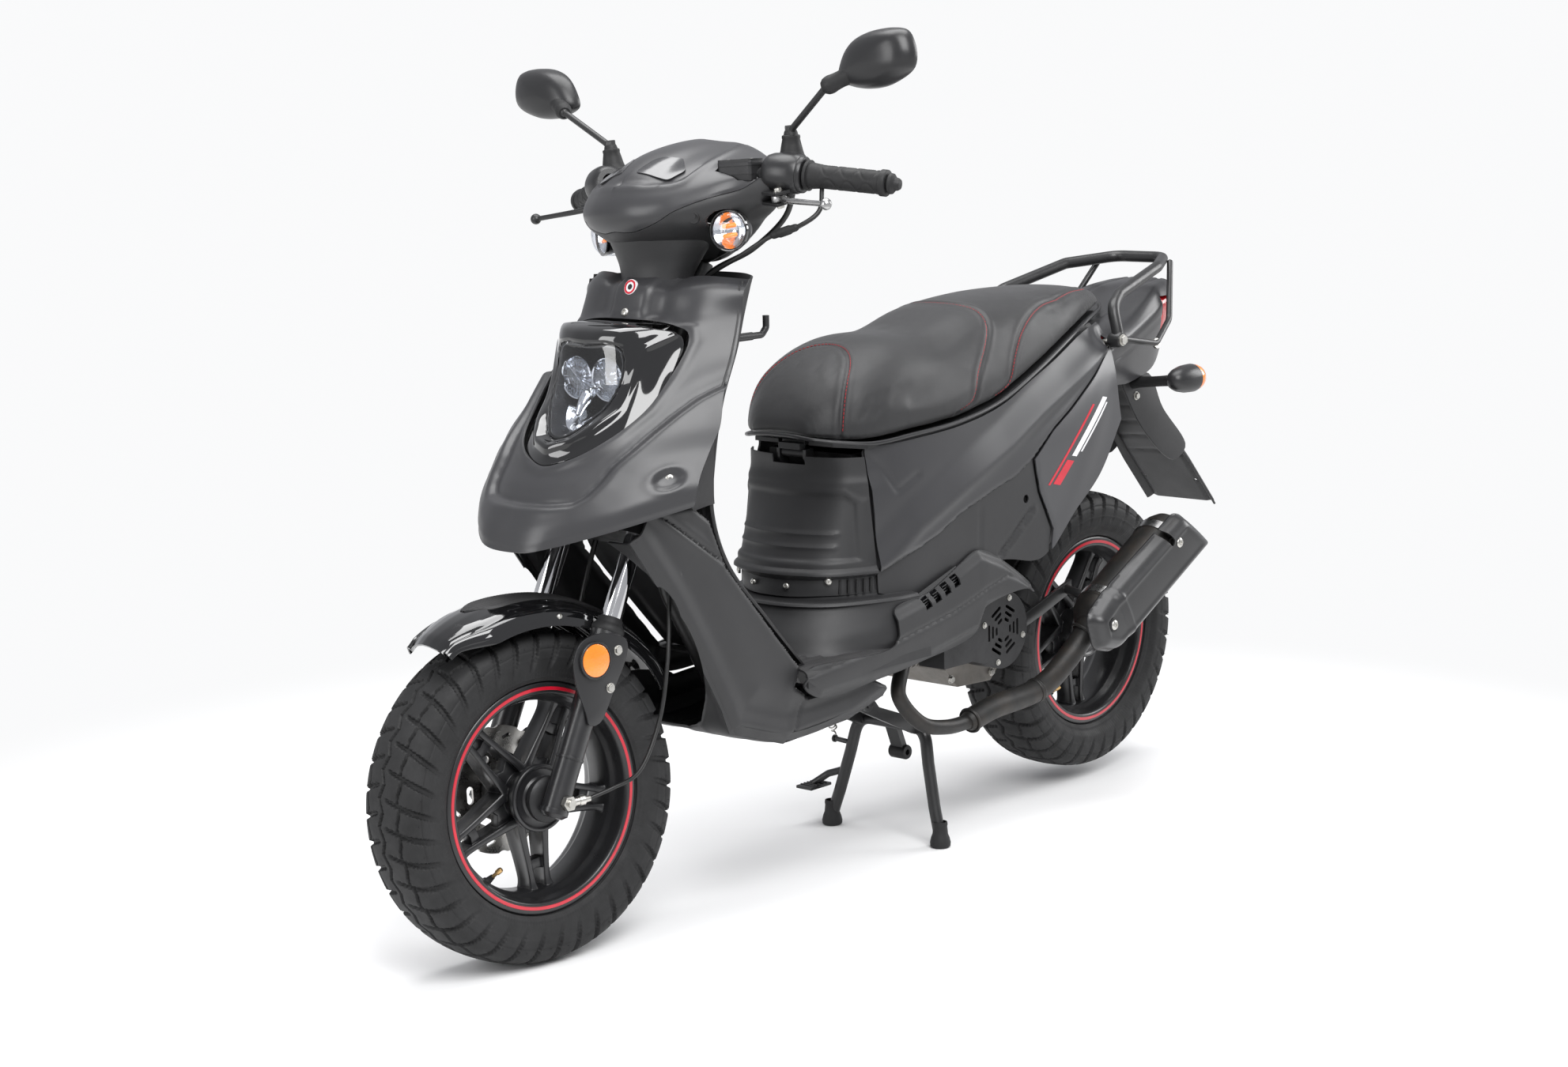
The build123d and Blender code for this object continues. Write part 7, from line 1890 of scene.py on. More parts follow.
def floor_board():
    # foot board: ribbed top, edges rolled down into the skirts
    xs = np.linspace(232, -60, 110)
    us = np.linspace(-1, 1, 121)
    V = []
    for x in xs:
        row = []
        for u in us:
            a = abs(u)
            w = 170.0
            y = w * min(a / .93, 1) if a < .93 else w
            z = 364.0
            e = w - y
            if e < 14:
                z -= (14 - math.sqrt(max(14 ** 2 - (14 - e) ** 2, 0))) * .9
            if a > .93:
                z = 364 - 12.6 - (a - .93) / .07 * 14
            q = abs(y)
            # tapering foot ribs
            for y0 in (34, 54, 74, 94, 114):
                yy = y0 + (x - 100) * .05
                if 20 < x < 200:
                    z += 2.2 * math.exp(-((q - yy) / 3.4) ** 4) * min(1, (x - 20) / 10, (200 - x) / 10)
            z += 2.0 * smooth01((q - 132) / 6) * (1 - smooth01((q - 152) / 5))
            row.append((x, math.copysign(y, u), z))
        V.append(row)
    G = np.array(V)
    body_hole = z_prism([(70, -104), (70, 104), (-90, 104), (-90, -104)], 300, 400)
    sheet("foot_board", G, M["floor"], "chassis", 3.0, side=side_of(G, (0, 0, 1)), cut=[body_hole], replaces=("floor_panel",), slot="plastic_dark", level=0)
    # skirts
    for sd in (1, -1):
        L_ = "l" if sd > 0 else "r"
        xs, zs = np.linspace(244, -352, 150), np.linspace(308, 492, 60)
        rows = []
        for x in xs:
            row = []
            for z in zs:
                top = np.interp(x, [-345, -250, -195, -150, -73, 14, 222], [400, 462, 484, 468, 436, 420, 366])
                bot = np.interp(x, [-345, -207, -186, -38, 52, 201, 236], [396, 389, 355, 329, 321, 317, 342])
                y = 169.0
                e = top - z
                y -= 9 * (1 - smooth01(e / 16)) + 1.5 * (1 - smooth01(e / 5))
                b = z - bot
                y -= 6 * (1 - smooth01(b / 13))
                mid = (top + bot) / 2
                y += 2.4 * math.exp(-((z - mid) / 24) ** 2)
                # crease that runs back from the foot board edge
                zc = np.interp(x, [-345, -260, -120, 20, 230], [402, 436, 398, 374, 356])
                y -= 2.8 * math.exp(-((z - zc) / 3.0) ** 2)
                row.append((x, sd * y, z))
            rows.append(row)
        G = np.array(rows)
        cuts = []
        for x, z in ((-56, 424), (-80, 431), (-104, 439), (-128, 448)):
            c = Geo()
            c.box((x, 166 * sd, z - 3), (15, 40, 19), (1, 0, -.32), (0, 1, 0), (.32, 0, 1))
            cuts.append(c)
        y0, y1 = (140, 190) if sd > 0 else (-190, -140)
        sk = spline(np.array(SKIRT, float), 170, closed=True)
        sheet("skirt_" + L_, G, M["trim"], "chassis", 3.0, keep=y_prism([tuple(p) for p in sk], y0, y1), cut=cuts, side=side_of(G, (0, sd, 0)), slot="plastic_dark", level=0)
        g = Geo()
        for x, z in ((-56, 424), (-80, 431), (-104, 439), (-128, 448)):
            for k in (-5, 0, 5):
                g.box((x, 161.5 * sd, z - 3 + k), (15, 5, 1.6), (1, 0, -.32), (0, 1, .3 * sd), (.32, 0, 1))
        g.box((-92, 157 * sd, 434), (110, 2, 34), (1, 0, -.32), (0, 1, 0), (.32, 0, 1))
        g.out("grill_" + L_, M["dial"], "chassis", slot="plastic_dark")
    # raised collar round the seat post
    rows = []
    for z, k, dx in ((362, 1.07, 14), (366, 1.03, 8), (376, 1.0, 3), (392, .995, 0), (408, .99, 0), (424, .985, -2), (433, .97, -5), (436, .955, -8)):
        base = [(172, 0), (160, 70), (120, 125), (30, 160), (-40, 165)]
        topb = [(144, 0), (134, 62), (97, 112), (16, 150), (-44, 160)]
        t = smooth01((z - 376) / 55)
        r_ = [((a[0] * (1 - t) + b[0] * t) + dx * (1 if i < 3 else .3), (a[1] * (1 - t) + b[1] * t) * (1 if i > 2 else k)) for i, (a, b) in enumerate(zip(base, topb))]
        rows.append([(x, -y, z) for x, y in r_[:0:-1]] + [(x, y, z) for x, y in r_])
    G = dense(rows, 6, 16)
    G[:, :, 1] = np.clip(G[:, :, 1], -166, 166)
    sheet("floor_collar", G, M["trim"], "chassis", 3.0, side=side_of(G, (1, 0, 0)), slot="plastic_dark", level=0)
    # shelf between the collar and the seat post cover
    xs = []
    rows = []
    for k, z in ((.90, 436), (1.0, 438.5), (1.05, 436), (1.10, 430)):
        pass
    top_in = [(118, 0), (108, 48), (80, 92), (18, 130), (-40, 140)]
    top_out = [(146, 0), (136, 62), (99, 113), (18, 152), (-44, 161)]
    rows = []
    for t, z in ((0, 446), (.2, 442), (.5, 440), (.85, 438.5), (1, 434)):
        r_ = [(a[0] * (1 - t) + b[0] * t, a[1] * (1 - t) + b[1] * t) for a, b in zip(top_in, top_out)]
        rows.append([(x, -y, z) for x, y in r_[:0:-1]] + [(x, y, z) for x, y in r_])
    G = dense(rows, 4, 14)
    sheet("collar_shelf", G, M["trim"], "chassis", 2.5, side=side_of(G, (0, 0, 1)), slot="plastic_dark", level=0)


LEG = [
    (950, [(214, 0), (226, 60), (273, 115), (334, 152)]),
    (900, [(232, 0), (246, 60), (295, 115), (343, 152)]),
    (850, [(252, 0), (264, 60), (312, 115), (362, 154)]),
    (780, [(288, 0), (300, 60), (345, 115), (394, 157)]),
    (700, [(322, 0), (332, 60), (368, 115), (410, 157)]),
    (620, [(338, 0), (346, 60), (372, 112), (400, 142)]),
    (537, [(318, 0), (324, 60), (344, 112), (366, 142)]),
    (450, [(250, 0), (256, 60), (270, 112), (288, 142)]),
    (366, [(186, 0), (190, 60), (198, 112), (208, 142)]),
]


def leg_shield():
    G = dense([[(x, -y, z) for x, y in r[:0:-1]] + [(x, y, z) for x, y in r] for z, r in LEG], 16, 18)
    n = out_normals(G, (-1, 0, 0))
    P = G.reshape(-1, 3)
    aY, Z = np.abs(P[:, 1]), P[:, 2]
    d = np.zeros(len(P))
    # glove box lid outline and its recessed pull
    bx = np.minimum(np.minimum(88 - aY, Z - 560), 742 - Z)
    d += -2.4 * np.exp(-(bx / 2.0) ** 2) + 1.6 * smooth01(bx / 8)
    d += -7 * (1 - smooth01((np.hypot(aY * .55, Z - 722) - 9) / 7))
    # ring round the lock, stiffening ribs low down
    rk = np.hypot(P[:, 1] + 78, Z - 878)
    d += 2.5 * np.exp(-((rk - 22) / 5) ** 2)
    for y0 in (26, 52, 78):
        d += 1.8 * np.exp(-((aY - y0) / 3.5) ** 2) * smooth01((540 - Z) / 14) * smooth01((Z - 385) / 16)
    # rolled outer edge
    d += 3.0 * np.exp(-((aY - 149) / 6) ** 2) * 0 + 2.4 * np.exp(-((aY - 132) / 7) ** 2)
    G2 = G + n * d.reshape(G.shape[:2])[:, :, None]
    cuts = []
    for y0, z0, r0 in ((-78, 878, 15.5), (96, 862, 8.0)):
        c = Geo()
        c.add(*tube_geo([(180, y0, z0), (360, y0, z0)], r0, 30))
        cuts.append(c)
    sheet("leg_shield_skin", G2, M["trim"], "chassis", 3.2, side=side_of(G, (-1, 0, 0)), cut=cuts, replaces=("leg_shield",), slot="plastic_dark", level=0)
    # side cheeks that close the gap between the front shield and the leg shield
    for sd in (1, -1):
        rows = []
        for z, xr, yr, xf, yf in ((944, 330, 150, 342, 153), (900, 342, 151, 350, 156), (850, 361, 153, 374, 164), (800, 386, 156, 412, 178), (756, 401, 157, 436, 193),
                                  (724, 408, 157, 462, 199), (688, 410, 156, 484, 199), (652, 405, 150, 496, 194), (636, 400, 146, 470, 170)):
            m_ = [(xr, yr), ((xr * 2 + xf) / 3, (yr * 2 + yf) / 3 - 2), ((xr + xf * 2) / 3, (yr + 2 * yf) / 3 - 2), (xf, yf)]
            rows.append([(x, sd * y, z) for x, y in m_])
        Gc = dense(rows, 6, 6)
        sheet("shield_return_" + ("l" if sd > 0 else "r"), Gc, M["trim"], "chassis", 2.6, side=side_of(Gc, (-.6, sd, 0)), slot="plastic_dark", level=0)


CHEEK = [(565, 600), (487, 496), (437, 415), (388, 330), (372, 291), (256, 253), (103, 262), (20, 284), (20, 300), (60, 322), (201, 315),
         (236, 338), (222, 362), (278, 424), (380, 540), (412, 612), (450, 640), (520, 640)]


def lower_fairing():
    prof = [(0, 137.5), (118, 137.5)]
    sweep = Geo()
    sw = [(90, 230), (118, 228), (170, 212), (230, 178), (300, 142), (520, 138), (540, 138)]
    sweep.lathe([(90, .1)] + sw + [(540, .1)], S0, AX, 72)
    for sd in (1, -1):
        xs, zs = np.linspace(575, 10, 150), np.linspace(245, 648, 110)
        P2 = np.array([(x, z) for x in xs for z in zs])
        ce = poly_dist(P2, [(520, 632), (412, 560), (330, 440), (262, 352), (236, 322), (120, 300), (20, 296)])
        le = np.abs(poly_dist(P2, CHEEK[:8]))
        te = np.abs(poly_dist(P2, CHEEK[8:] + [CHEEK[8]]))
        y = 148.0 - 11 * np.maximum(1 - smooth01(le / 22), 0) ** 1.4
        y = y - 7.0 * np.exp(-((le - 46) / 20) ** 2)
        y = y + 1.5 * np.exp(-((te - 8) / 6) ** 2) - 4 * (1 - smooth01(te / 4))
        # seam and the small service hole
        sm = np.abs(poly_dist(P2, [(204, 330), (222, 296), (250, 250)]))
        y = y - 2.4 * np.exp(-(sm / 1.8) ** 2)
        G = np.stack([P2[:, 0], sd * y, P2[:, 1]], -1).reshape(150, 110, 3)
        ck = [tuple(p) for p in CHEEK]
        y0, y1 = (100, 180) if sd > 0 else (-180, -100)
        hole = Geo()
        hole.add(*tube_geo([(214, sd * 110, 337), (214, sd * 190, 337)], 5.5, 20))
        sheet("fairing_cheek_" + ("l" if sd > 0 else "r"), G, M["trim"], "chassis", 3.0, keep=y_prism(ck, y0, y1), cut=[hole, sweep],
              side=side_of(G, (0, sd, 0)), replaces=("lower_fairing",) if sd > 0 else (), slot="plastic_dark", level=0)
    # front wall and belly in one curved skin
    line = spline(np.array([(562, 597), (487, 497), (437, 416), (390, 332), (368, 290), (330, 274), (256, 254), (180, 253), (103, 263), (60, 272)], float), 90)
    us = np.linspace(-1, 1, 61)
    rows = []
    tan = np.gradient(line, axis=0)
    for (x, z), t in zip(line, tan):
        nrm_ = unit(np.array([t[1], -t[0]]))          # inward (up and back)
        if nrm_[1] < 0:
            nrm_ = -nrm_
        row = []
        for u in us:
            yy = 146.2 * u
            e = 146.2 - abs(yy)
            lift = 17 * (1 - math.sqrt(max(0, 1 - ((24 - e) / 24) ** 2))) if e < 24 else 0
            rib = 1.6 * (math.exp(-((abs(yy) - 48) / 4) ** 2) + math.exp(-((abs(yy) - 84) / 4) ** 2))
            row.append((x + nrm_[0] * (lift - rib), yy, z + nrm_[1] * (lift - rib)))
        rows.append(row)
    G = np.array(rows)
    standcut = Geo()
    standcut.box((-10, 0, 290), (90, 172, 90))
    sheet("belly_pan", G, M["trim"], "chassis", 3.0, side=side_of(G, (.5, 0, -1)), cut=[sweep, standcut], slot="plastic_dark", level=0)


side_panels()
underseat()
floor_board()
leg_shield()
lower_fairing()
# ------------------------------------------------------------ front fender, tail, rack, guard
def fender():
    A = np.linspace(58, 150, 150)
    us = np.linspace(-1, 1, 71)
    sec_y = [0, 20, 40, 52, 62, 68, 71.5, 72.5]
    sec_r = [283, 281.6, 278, 275, 270.4, 264.5, 257, 246]
    rows, pads = [], []
    for a in A:
        t = smooth01((a - 58) / 16)
        e = smooth01((150 - a) / 14)
        wk = .70 + .30 * t
        wk *= .90 + .10 * e
        row = []
        for u in us:
            s_ = abs(u)
            i = s_ * 7
            y0 = float(np.interp(i, range(8), sec_y))
            r0 = float(np.interp(i, range(8), sec_r))
            r0 = 283 - (283 - r0) * (1.0 if s_ < .5 else (.55 + .45 * t))
            # crown, shoulder groove and a full bead along the edge
            r0 += 3.2 * math.exp(-((s_ - .0) / .30) ** 2) - 2.8 * math.exp(-((s_ - .50) / .075) ** 2) + 1.8 * math.exp(-((s_ - .66) / .09) ** 2)
            r0 -= 3.0 * (1 - smooth01((a - 58) / 4)) + 2 * (1 - smooth01((150 - a) / 4))
            bead = .9 * smooth01((s_ - .9) / .06)
            y = (y0 * wk + bead) * (1 if u >= 0 else -1)
            row.append(FRONT_AXLE + np.array([cos(rad(a)) * r0, y, sin(rad(a)) * r0]))
        rows.append(row)
    G = np.array(rows)
    rd = G - FRONT_AXLE
    rd[:, :, 1] = 0
    cuts = []
    for sd in (1, -1):
        c = Geo()
        c.add(*tube_geo([fp(175, 38, 85 * sd), fp(345, 38, 85 * sd)], 25, 36))
        cuts.append(c)

    def st(o):
        co = np.array([v.co[:] for v in o.data.vertices]) / MM
        o.data.vertices.foreach_set("co", (steer(co) * MM).ravel())
        o.data.update()
        return o
    wind = 1 if np.einsum("i,i", np.cross(G[70, 36] - G[70, 35], G[71, 35] - G[70, 35]), rd[70, 35]) > 0 else -1
    st(sheet("fender_blade", G, M["gloss"], "fork_lower", 3.0, cut=cuts, side=wind, replaces=("front_fender",), slot="body_gloss", level=0))
    # matt anti-scuff pad on the crown, with fine cross ribs
    rows = []
    As = np.linspace(74, 147, 230)
    for a in As:
        half = 36 * (smooth01((a - 73) / 10) ** .6) + .6
        half *= .82 + .18 * smooth01((147 - a) / 5)
        row = []
        for u in np.linspace(-1, 1, 41):
            y = half * u
            s_ = abs(y) / 72 * .98
            r0 = 283 - 2.2 * (abs(y) / 40) ** 2 + 3.2 * math.exp(-(abs(y) / 78 / .30) ** 2) + 1.6
            r0 -= 2.2 * (1 - smooth01((1 - abs(u)) / .10))
            r0 += .55 * math.sin(a * 2 * pi / .9) * math.cos(y * 2 * pi / 5.0) * smooth01((1 - abs(u)) / .2)
            row.append(FRONT_AXLE + np.array([cos(rad(a)) * r0, y, sin(rad(a)) * r0]))
        rows.append(row)
    Gp = np.array(rows)
    st(sheet("fender_pad", Gp, M["floor"], "fork_lower", 3.4, side=wind, slot="plastic_dark", level=0))
    g = Geo()
    for sd in (1, -1):
        for a in (72, 98):
            e = np.array([cos(rad(a)), 0, sin(rad(a))])
            g.screw(FRONT_AXLE + e * 259 + np.array([0, sd * (70.5 if a > 80 else 64), 0]), unit(np.array([0, sd, 0]) + e * .35), 4.4, 2.6)
    g.out("fender_screws", M["zinc"], "fork_lower", steered=True, slot="zinc")
    # reflectors and their bracket plates
    for sd in (1, -1):
        L_ = "l" if sd > 0 else "r"
        c = fp(200, 66, 111.5 * sd)
        ax = (0, sd, 0)
        g = Geo()
        g.lathe([(-4, .1), (-4, 26), (-3, 27), (4.6, 27), (5.6, 26), (5.6, 24.2), (3.4, 23.6), (3.4, .1)], c, ax, 56)
        g.out("reflector_cup_" + L_, M["smooth"], "fork_lower", steered=True, slot="plastic_dark", replaces=("side_reflectors",) if sd > 0 else ())
        g = Geo()
        g.lathe([(3, .1), (3, 23.4), (5.2, 23.2), (6.0, 21.5), (6.3, .1)], c, ax, 56)
        g.out("reflector_amber_" + L_, M["amber"], "fork_lower", steered=True, slot="amber")
        out_ = [fp(216, 96, 0), fp(240, 66, 0), fp(244, 20, 0), fp(226, 12, 0), fp(176, 16, 0), fp(120, 24, 0), (fp(112, 40, 0)), fp(126, 52, 0), fp(160, 84, 0), fp(186, 98, 0)]
        P_ = spline(np.array(out_), 60, closed=True)
        g = Geo()
        g.prism([p + np.array([0, 107.6 * sd, 0]) for p in P_], (0, 3.2 * sd, 0))
        for s_, n_ in ((200, 66), (170, 38)):
            g.lathe([(104, .1), (104, 7), (108.5, 7), (108.5, .1)], fp(s_, n_, 0), ax, 24)
        g.out("reflector_plate_" + L_, M["smooth"], "fork_lower", steered=True, bevel=.9, slot="plastic_dark")
        g = Geo()
        for s_, n_ in ((226, 30), (172, 24)):
            g.hexbolt(fp(s_, n_, 110.4 * sd), ax, 5.4, 4.4)
        g.out("reflector_bolts_" + L_, M["zinc"], "fork_lower", steered=True, slot="zinc")
        g = Geo()
        g.lathe([(248, 15.2), (248, 23.5), (251, 24.2), (256, 23.4), (259, 20.4), (263, 18.4), (268, 17.4), (270, 15.2)], fp(0, 38, 85 * sd), AX, 40)
        g.out("fork_dust_seal_" + L_, M["rubber"], "fork_lower", steered=True, slot="rubber")
        g = Geo()
        g.lathe([(-24, .1), (-24, 14), (-19, 20), (-19, 20.6), (-12, 20.6), (-12, 20)], fp(0, 38, 85 * sd), AX, 36)
        g.lathe([(60, 19.0), (60, 20.2), (64, 20.2), (64, 19.0), (60, 19.0)], fp(0, 38, 85 * sd), AX, 36)
        g.out("fork_foot_" + L_, M["rim"], "fork_lower", steered=True, slot="rim_black")


def tail():
    secs = [
        (-600, [(0, 806), (60, 803), (92, 797), (126, 770), (132, 752), (126, 722), (119, 700)]),
        (-650, [(0, 812), (60, 809), (92, 804), (120, 783), (124, 766), (118, 728), (111, 700)]),
        (-700, [(0, 819), (58, 817), (90, 811), (111, 797), (116, 782), (110, 738), (103, 700)]),
        (-800, [(0, 852), (52, 850), (78, 845), (92, 828), (96, 812), (88, 760), (80, 715)]),
        (-860, [(0, 862), (44, 860), (62, 857), (75, 843), (78, 832), (68, 786), (58, 752)]),
        (-893, [(0, 864), (36, 863), (49, 860), (58, 851), (60, 842), (52, 815), (45, 795)]),
    ]
    rows = [[(x, -y, z) for y, z in h[:0:-1]] + [(x, y, z) for y, z in h] for x, h in secs]
    G = dense(rows, 14, 9)
    n = out_normals(G, (0, 0, 1)) if False else grid_normals(G)
    if n[G.shape[0] // 2, G.shape[1] // 2, 2] < 0:
        n = -n
    P = G.reshape(-1, 3)
    d = -2.4 * np.exp(-((np.abs(np.abs(P[:, 1]) - np.interp(-P[:, 0], [600, 900], [64, 30]))) / 3.0) ** 2) * (P[:, 2] > 780)
    d += -2.0 * np.exp(-((P[:, 2] - np.interp(-P[:, 0], [600, 900], [736, 826])) / 2.4) ** 2)
    G2 = G + n * d.reshape(G.shape[:2])[:, :, None]
    win = y_prism([(-940, 838), (-816, 838), (-816, 748), (-940, 748)], -200, 200)
    feet = Geo()
    for sd in (1, -1):
        feet.add(*tube_geo([(-600, sd * 60, 778), (-600, sd * 170, 778)], 14, 24))
    ref = n[G.shape[0] // 2, G.shape[1] // 2]
    a, b = G.shape[0] // 2, G.shape[1] // 2
    wind = 1 if np.cross(G[a, b + 1] - G[a, b], G[a + 1, b] - G[a, b])[2] > 0 else -1
    sheet("tail_shell", G2, M["body"], "chassis", 2.8, cut=[win, feet], side=wind, replaces=("tail_cover",), level=0)
    g = Geo()
    g.prism([(-893, y, z) for y, z in ((-45, 862), (45, 862), (56, 850), (58, 842), (-58, 842), (-56, 850))], (4, 0, 0))
    g.out("tail_end", M["trim"], "chassis", slot="plastic_dark", bevel=1.0)
    # tail light: red fluted lens
    st_ = [(-816, [(66, 836), (86, 815), (72, 753)]), (-840, [(63, 836), (80, 819), (66, 763)]), (-864, [(58, 836), (71, 822), (56, 774)]), (-886, [(50, 835.5), (60, 828), (46, 796)]), (-896, [(42, 832), (48, 826), (38, 806)])]
    rows = []
    for x, h in st_:
        pts = [(0, h[0][1]), h[0], h[1], h[2], (0, h[2][1] - 3)]
        rows.append([(x, -y, z) for y, z in pts[::-1]] + [(x, y, z) for y, z in pts[1:]])
    Gt = dense(rows, 10, 12)
    nt_ = grid_normals(Gt)
    if nt_[20, Gt.shape[1] // 2, 2] < 0:
        nt_ = -nt_
    rib = .6 * np.sin(Gt[:, :, 0] * 2 * pi / 7.0) * (np.abs(Gt[:, :, 1]) > 20)
    Gt = Gt + nt_ * rib[:, :, None]
    v = Gt.reshape(-1, 3)
    nr, nc = Gt.shape[:2]
    f = grid_faces(nr, nc) + [list(range((nr - 1) * nc, nr * nc)), list(range(nc))[::-1]]
    make("tail_lens", v, f, M["redlens"], "chassis", replaces=("tail_light",), slot="lens_red")
    # mudguard: ribbed blade with rolled sides, plate recess and hanger
    path = spline(np.array([(-640, 692), (-720, 699), (-797, 702), (-826, 668), (-842, 640), (-905, 572.6), (-962, 511.9), (-1019, 451)], float), 110)
    tan = np.gradient(path, axis=0)
    rows = []
    L = np.concatenate([[0], np.cumsum(np.linalg.norm(np.diff(path, axis=0), axis=1))])
    for (x, z), t, l in zip(path, tan, L):
        nn = unit(np.array([t[1], -t[0]]))
        if nn[0] > 0:
            nn = -nn                                   # rearwards and up
        w = 76 if l < 150 else 76 - 4 * smooth01((l - 150) / 60) + 3 * smooth01((l - 330) / 60)
        row = []
        for u in np.linspace(-1, 1, 61):
            y = w * u
            e = w - abs(y)
            h = -9 * (1 - smooth01(e / 10))
            if l > 205:
                h += 2.0 * math.exp(-((abs(y) - 64) / 3.2) ** 2)
                for l0 in (236, 276, 316, 356):
                    h += 2.4 * math.exp(-((l - l0 - 6 * abs(y) / 60) / 4.2) ** 2) * smooth01((60 - abs(y)) / 6)
                h += -1.5 * smooth01((58 - abs(y)) / 5)
            elif l > 150:
                h += -3.5 * smooth01((50 - abs(y)) / 5) * smooth01((l - 162) / 8) * smooth01((204 - l) / 8)
            row.append((x + nn[0] * h, y, z + nn[1] * h))
        rows.append(row)
    Gm = np.array(rows)
    holes = Geo()
    pn = np.array([-.7295, 0, .684])
    for y in (-55, 55):
        for x, z in ((-883, 596.2), (-978.8, 494.1)):
            c = np.array([x, y, z])
            holes.add(*tube_geo([c + pn * 14, c - pn * 20], 3.4, 18))
    a, b = 80, 30
    wind = 1 if np.cross(Gm[a, b + 1] - Gm[a, b], Gm[a + 1, b] - Gm[a, b])[0] < 0 else -1
    sheet("mudguard_blade", Gm, M["trim"], "chassis", 3.4, cut=[holes], side=wind, replaces=("rear_mudguard",), slot="plastic_dark", level=0)
    g = Geo()
    for sd in (1, -1):
        web = [(-720, 700), (-800, 704), (-842, 641), (-916, 562), (-880, 541), (-790, 600), (-740, 660)]
        wp = spline(np.array(web, float), 40, closed=True)
        g.prism([(x, 69.5 * sd, z) for x, z in wp], (0, 4.5 * sd, 0))
    g.out("mudguard_webs", M["trim"], "chassis", bevel=1.0, slot="plastic_dark")
    g = Geo()
    g.screw(np.array([-868, 0, 616.0]) + pn * .5, pn, 6, 4)
    for sd in (1, -1):
        g.hexbolt((-760, 74 * sd, 668), (0, sd, 0), 5.5, 5)
    g.out("mudguard_screws", M["zinc"], "chassis", slot="zinc")
    # rear indicators on rubber stems
    for sd in (1, -1):
        L_ = "l" if sd > 0 else "r"
        g = Geo()
        g.tube(spline([(-752, 72 * sd, 693), (-748, 120 * sd, 697), (-742, 170 * sd, 703)], 12), [12, 11.5, 10.5, 9.8, 9.4, 9.2, 9.2, 9.2, 9.4, 9.8, 10.4, 11], 22)
        g.out("rear_stem_" + L_, M["rubber"], "chassis", slot="rubber", replaces=("rear_indicators",) if sd > 0 else ())
        c = np.array([-752, 186.0 * sd, 706])
        g = Geo()
        g.lathe([(-50, .1), (-49, 7), (-46, 12), (-40, 16.5), (-30, 20.5), (-14, 23.6), (0, 24.2), (10, 24.4), (12, 24.0), (12, 22), (4, 21.4), (4, .1)], c, (-1, 0, 0), 44)
        g.out("rear_indicator_shell_" + L_, M["smooth"], "chassis", slot="plastic_dark")
        g = Geo()
        g.lathe([(6, .1), (6, 21.8), (12, 22.8), (20, 22.6), (27, 20.4), (31, 15), (33, 8), (33.6, .1)], c, (-1, 0, 0), 44)
        g.out("rear_indicator_lens_" + L_, M["amber"], "chassis", slot="amber")
    # grab rail: one bent tube, stays, feet with bolts
    g = Geo()
    hoop = [(-600, 150, 784), (-604, 134, 838), (-640, 122, 857), (-790, 98, 892), (-880, 50, 901)]
    path = fillet_path([np.array(p, float) for p in hoop] + [np.array((x, -y, z), float) for x, y, z in hoop[::-1]], 34, 10)
    g.tube(path, 10, 26, round_ends=True)
    for sd in (1, -1):
        s_ = lambda x, y, z: np.array([x, y * sd, z], float)
        g.tube(fillet_path([s_(-600, 146, 786), s_(-728, 138, 766), s_(-806, 112, 800), s_(-862, 76, 894)], 30, 8), 5.4, 18, round_ends=True)
        g.lathe([(134, 7), (134, 12.4), (136, 13.4), (155, 13.4), (157, 12.4), (157, 7), (134, 7)], (-600, 0, 784), (0, sd, 0), 32)
    g.out("rack_tubes", M["frame"], "chassis", slot="frame_black", replaces=("grab_rail",))
    g = Geo()
    for sd in (1, -1):
        g.hexbolt((-600, 157 * sd, 784), (0, sd, 0), 7.4, 6)
        g.tube([(-600, 98 * sd, 772), (-600, 136 * sd, 780)], 7.2, 20)
        g.lathe([(-2, 4), (-2, 9), (2, 9), (2, 4)], (-728, 138 * sd, 766), (0, sd, .2), 20)
    g.out("rack_bolts", M["zinc"], "chassis", slot="zinc")


fender()
tail()
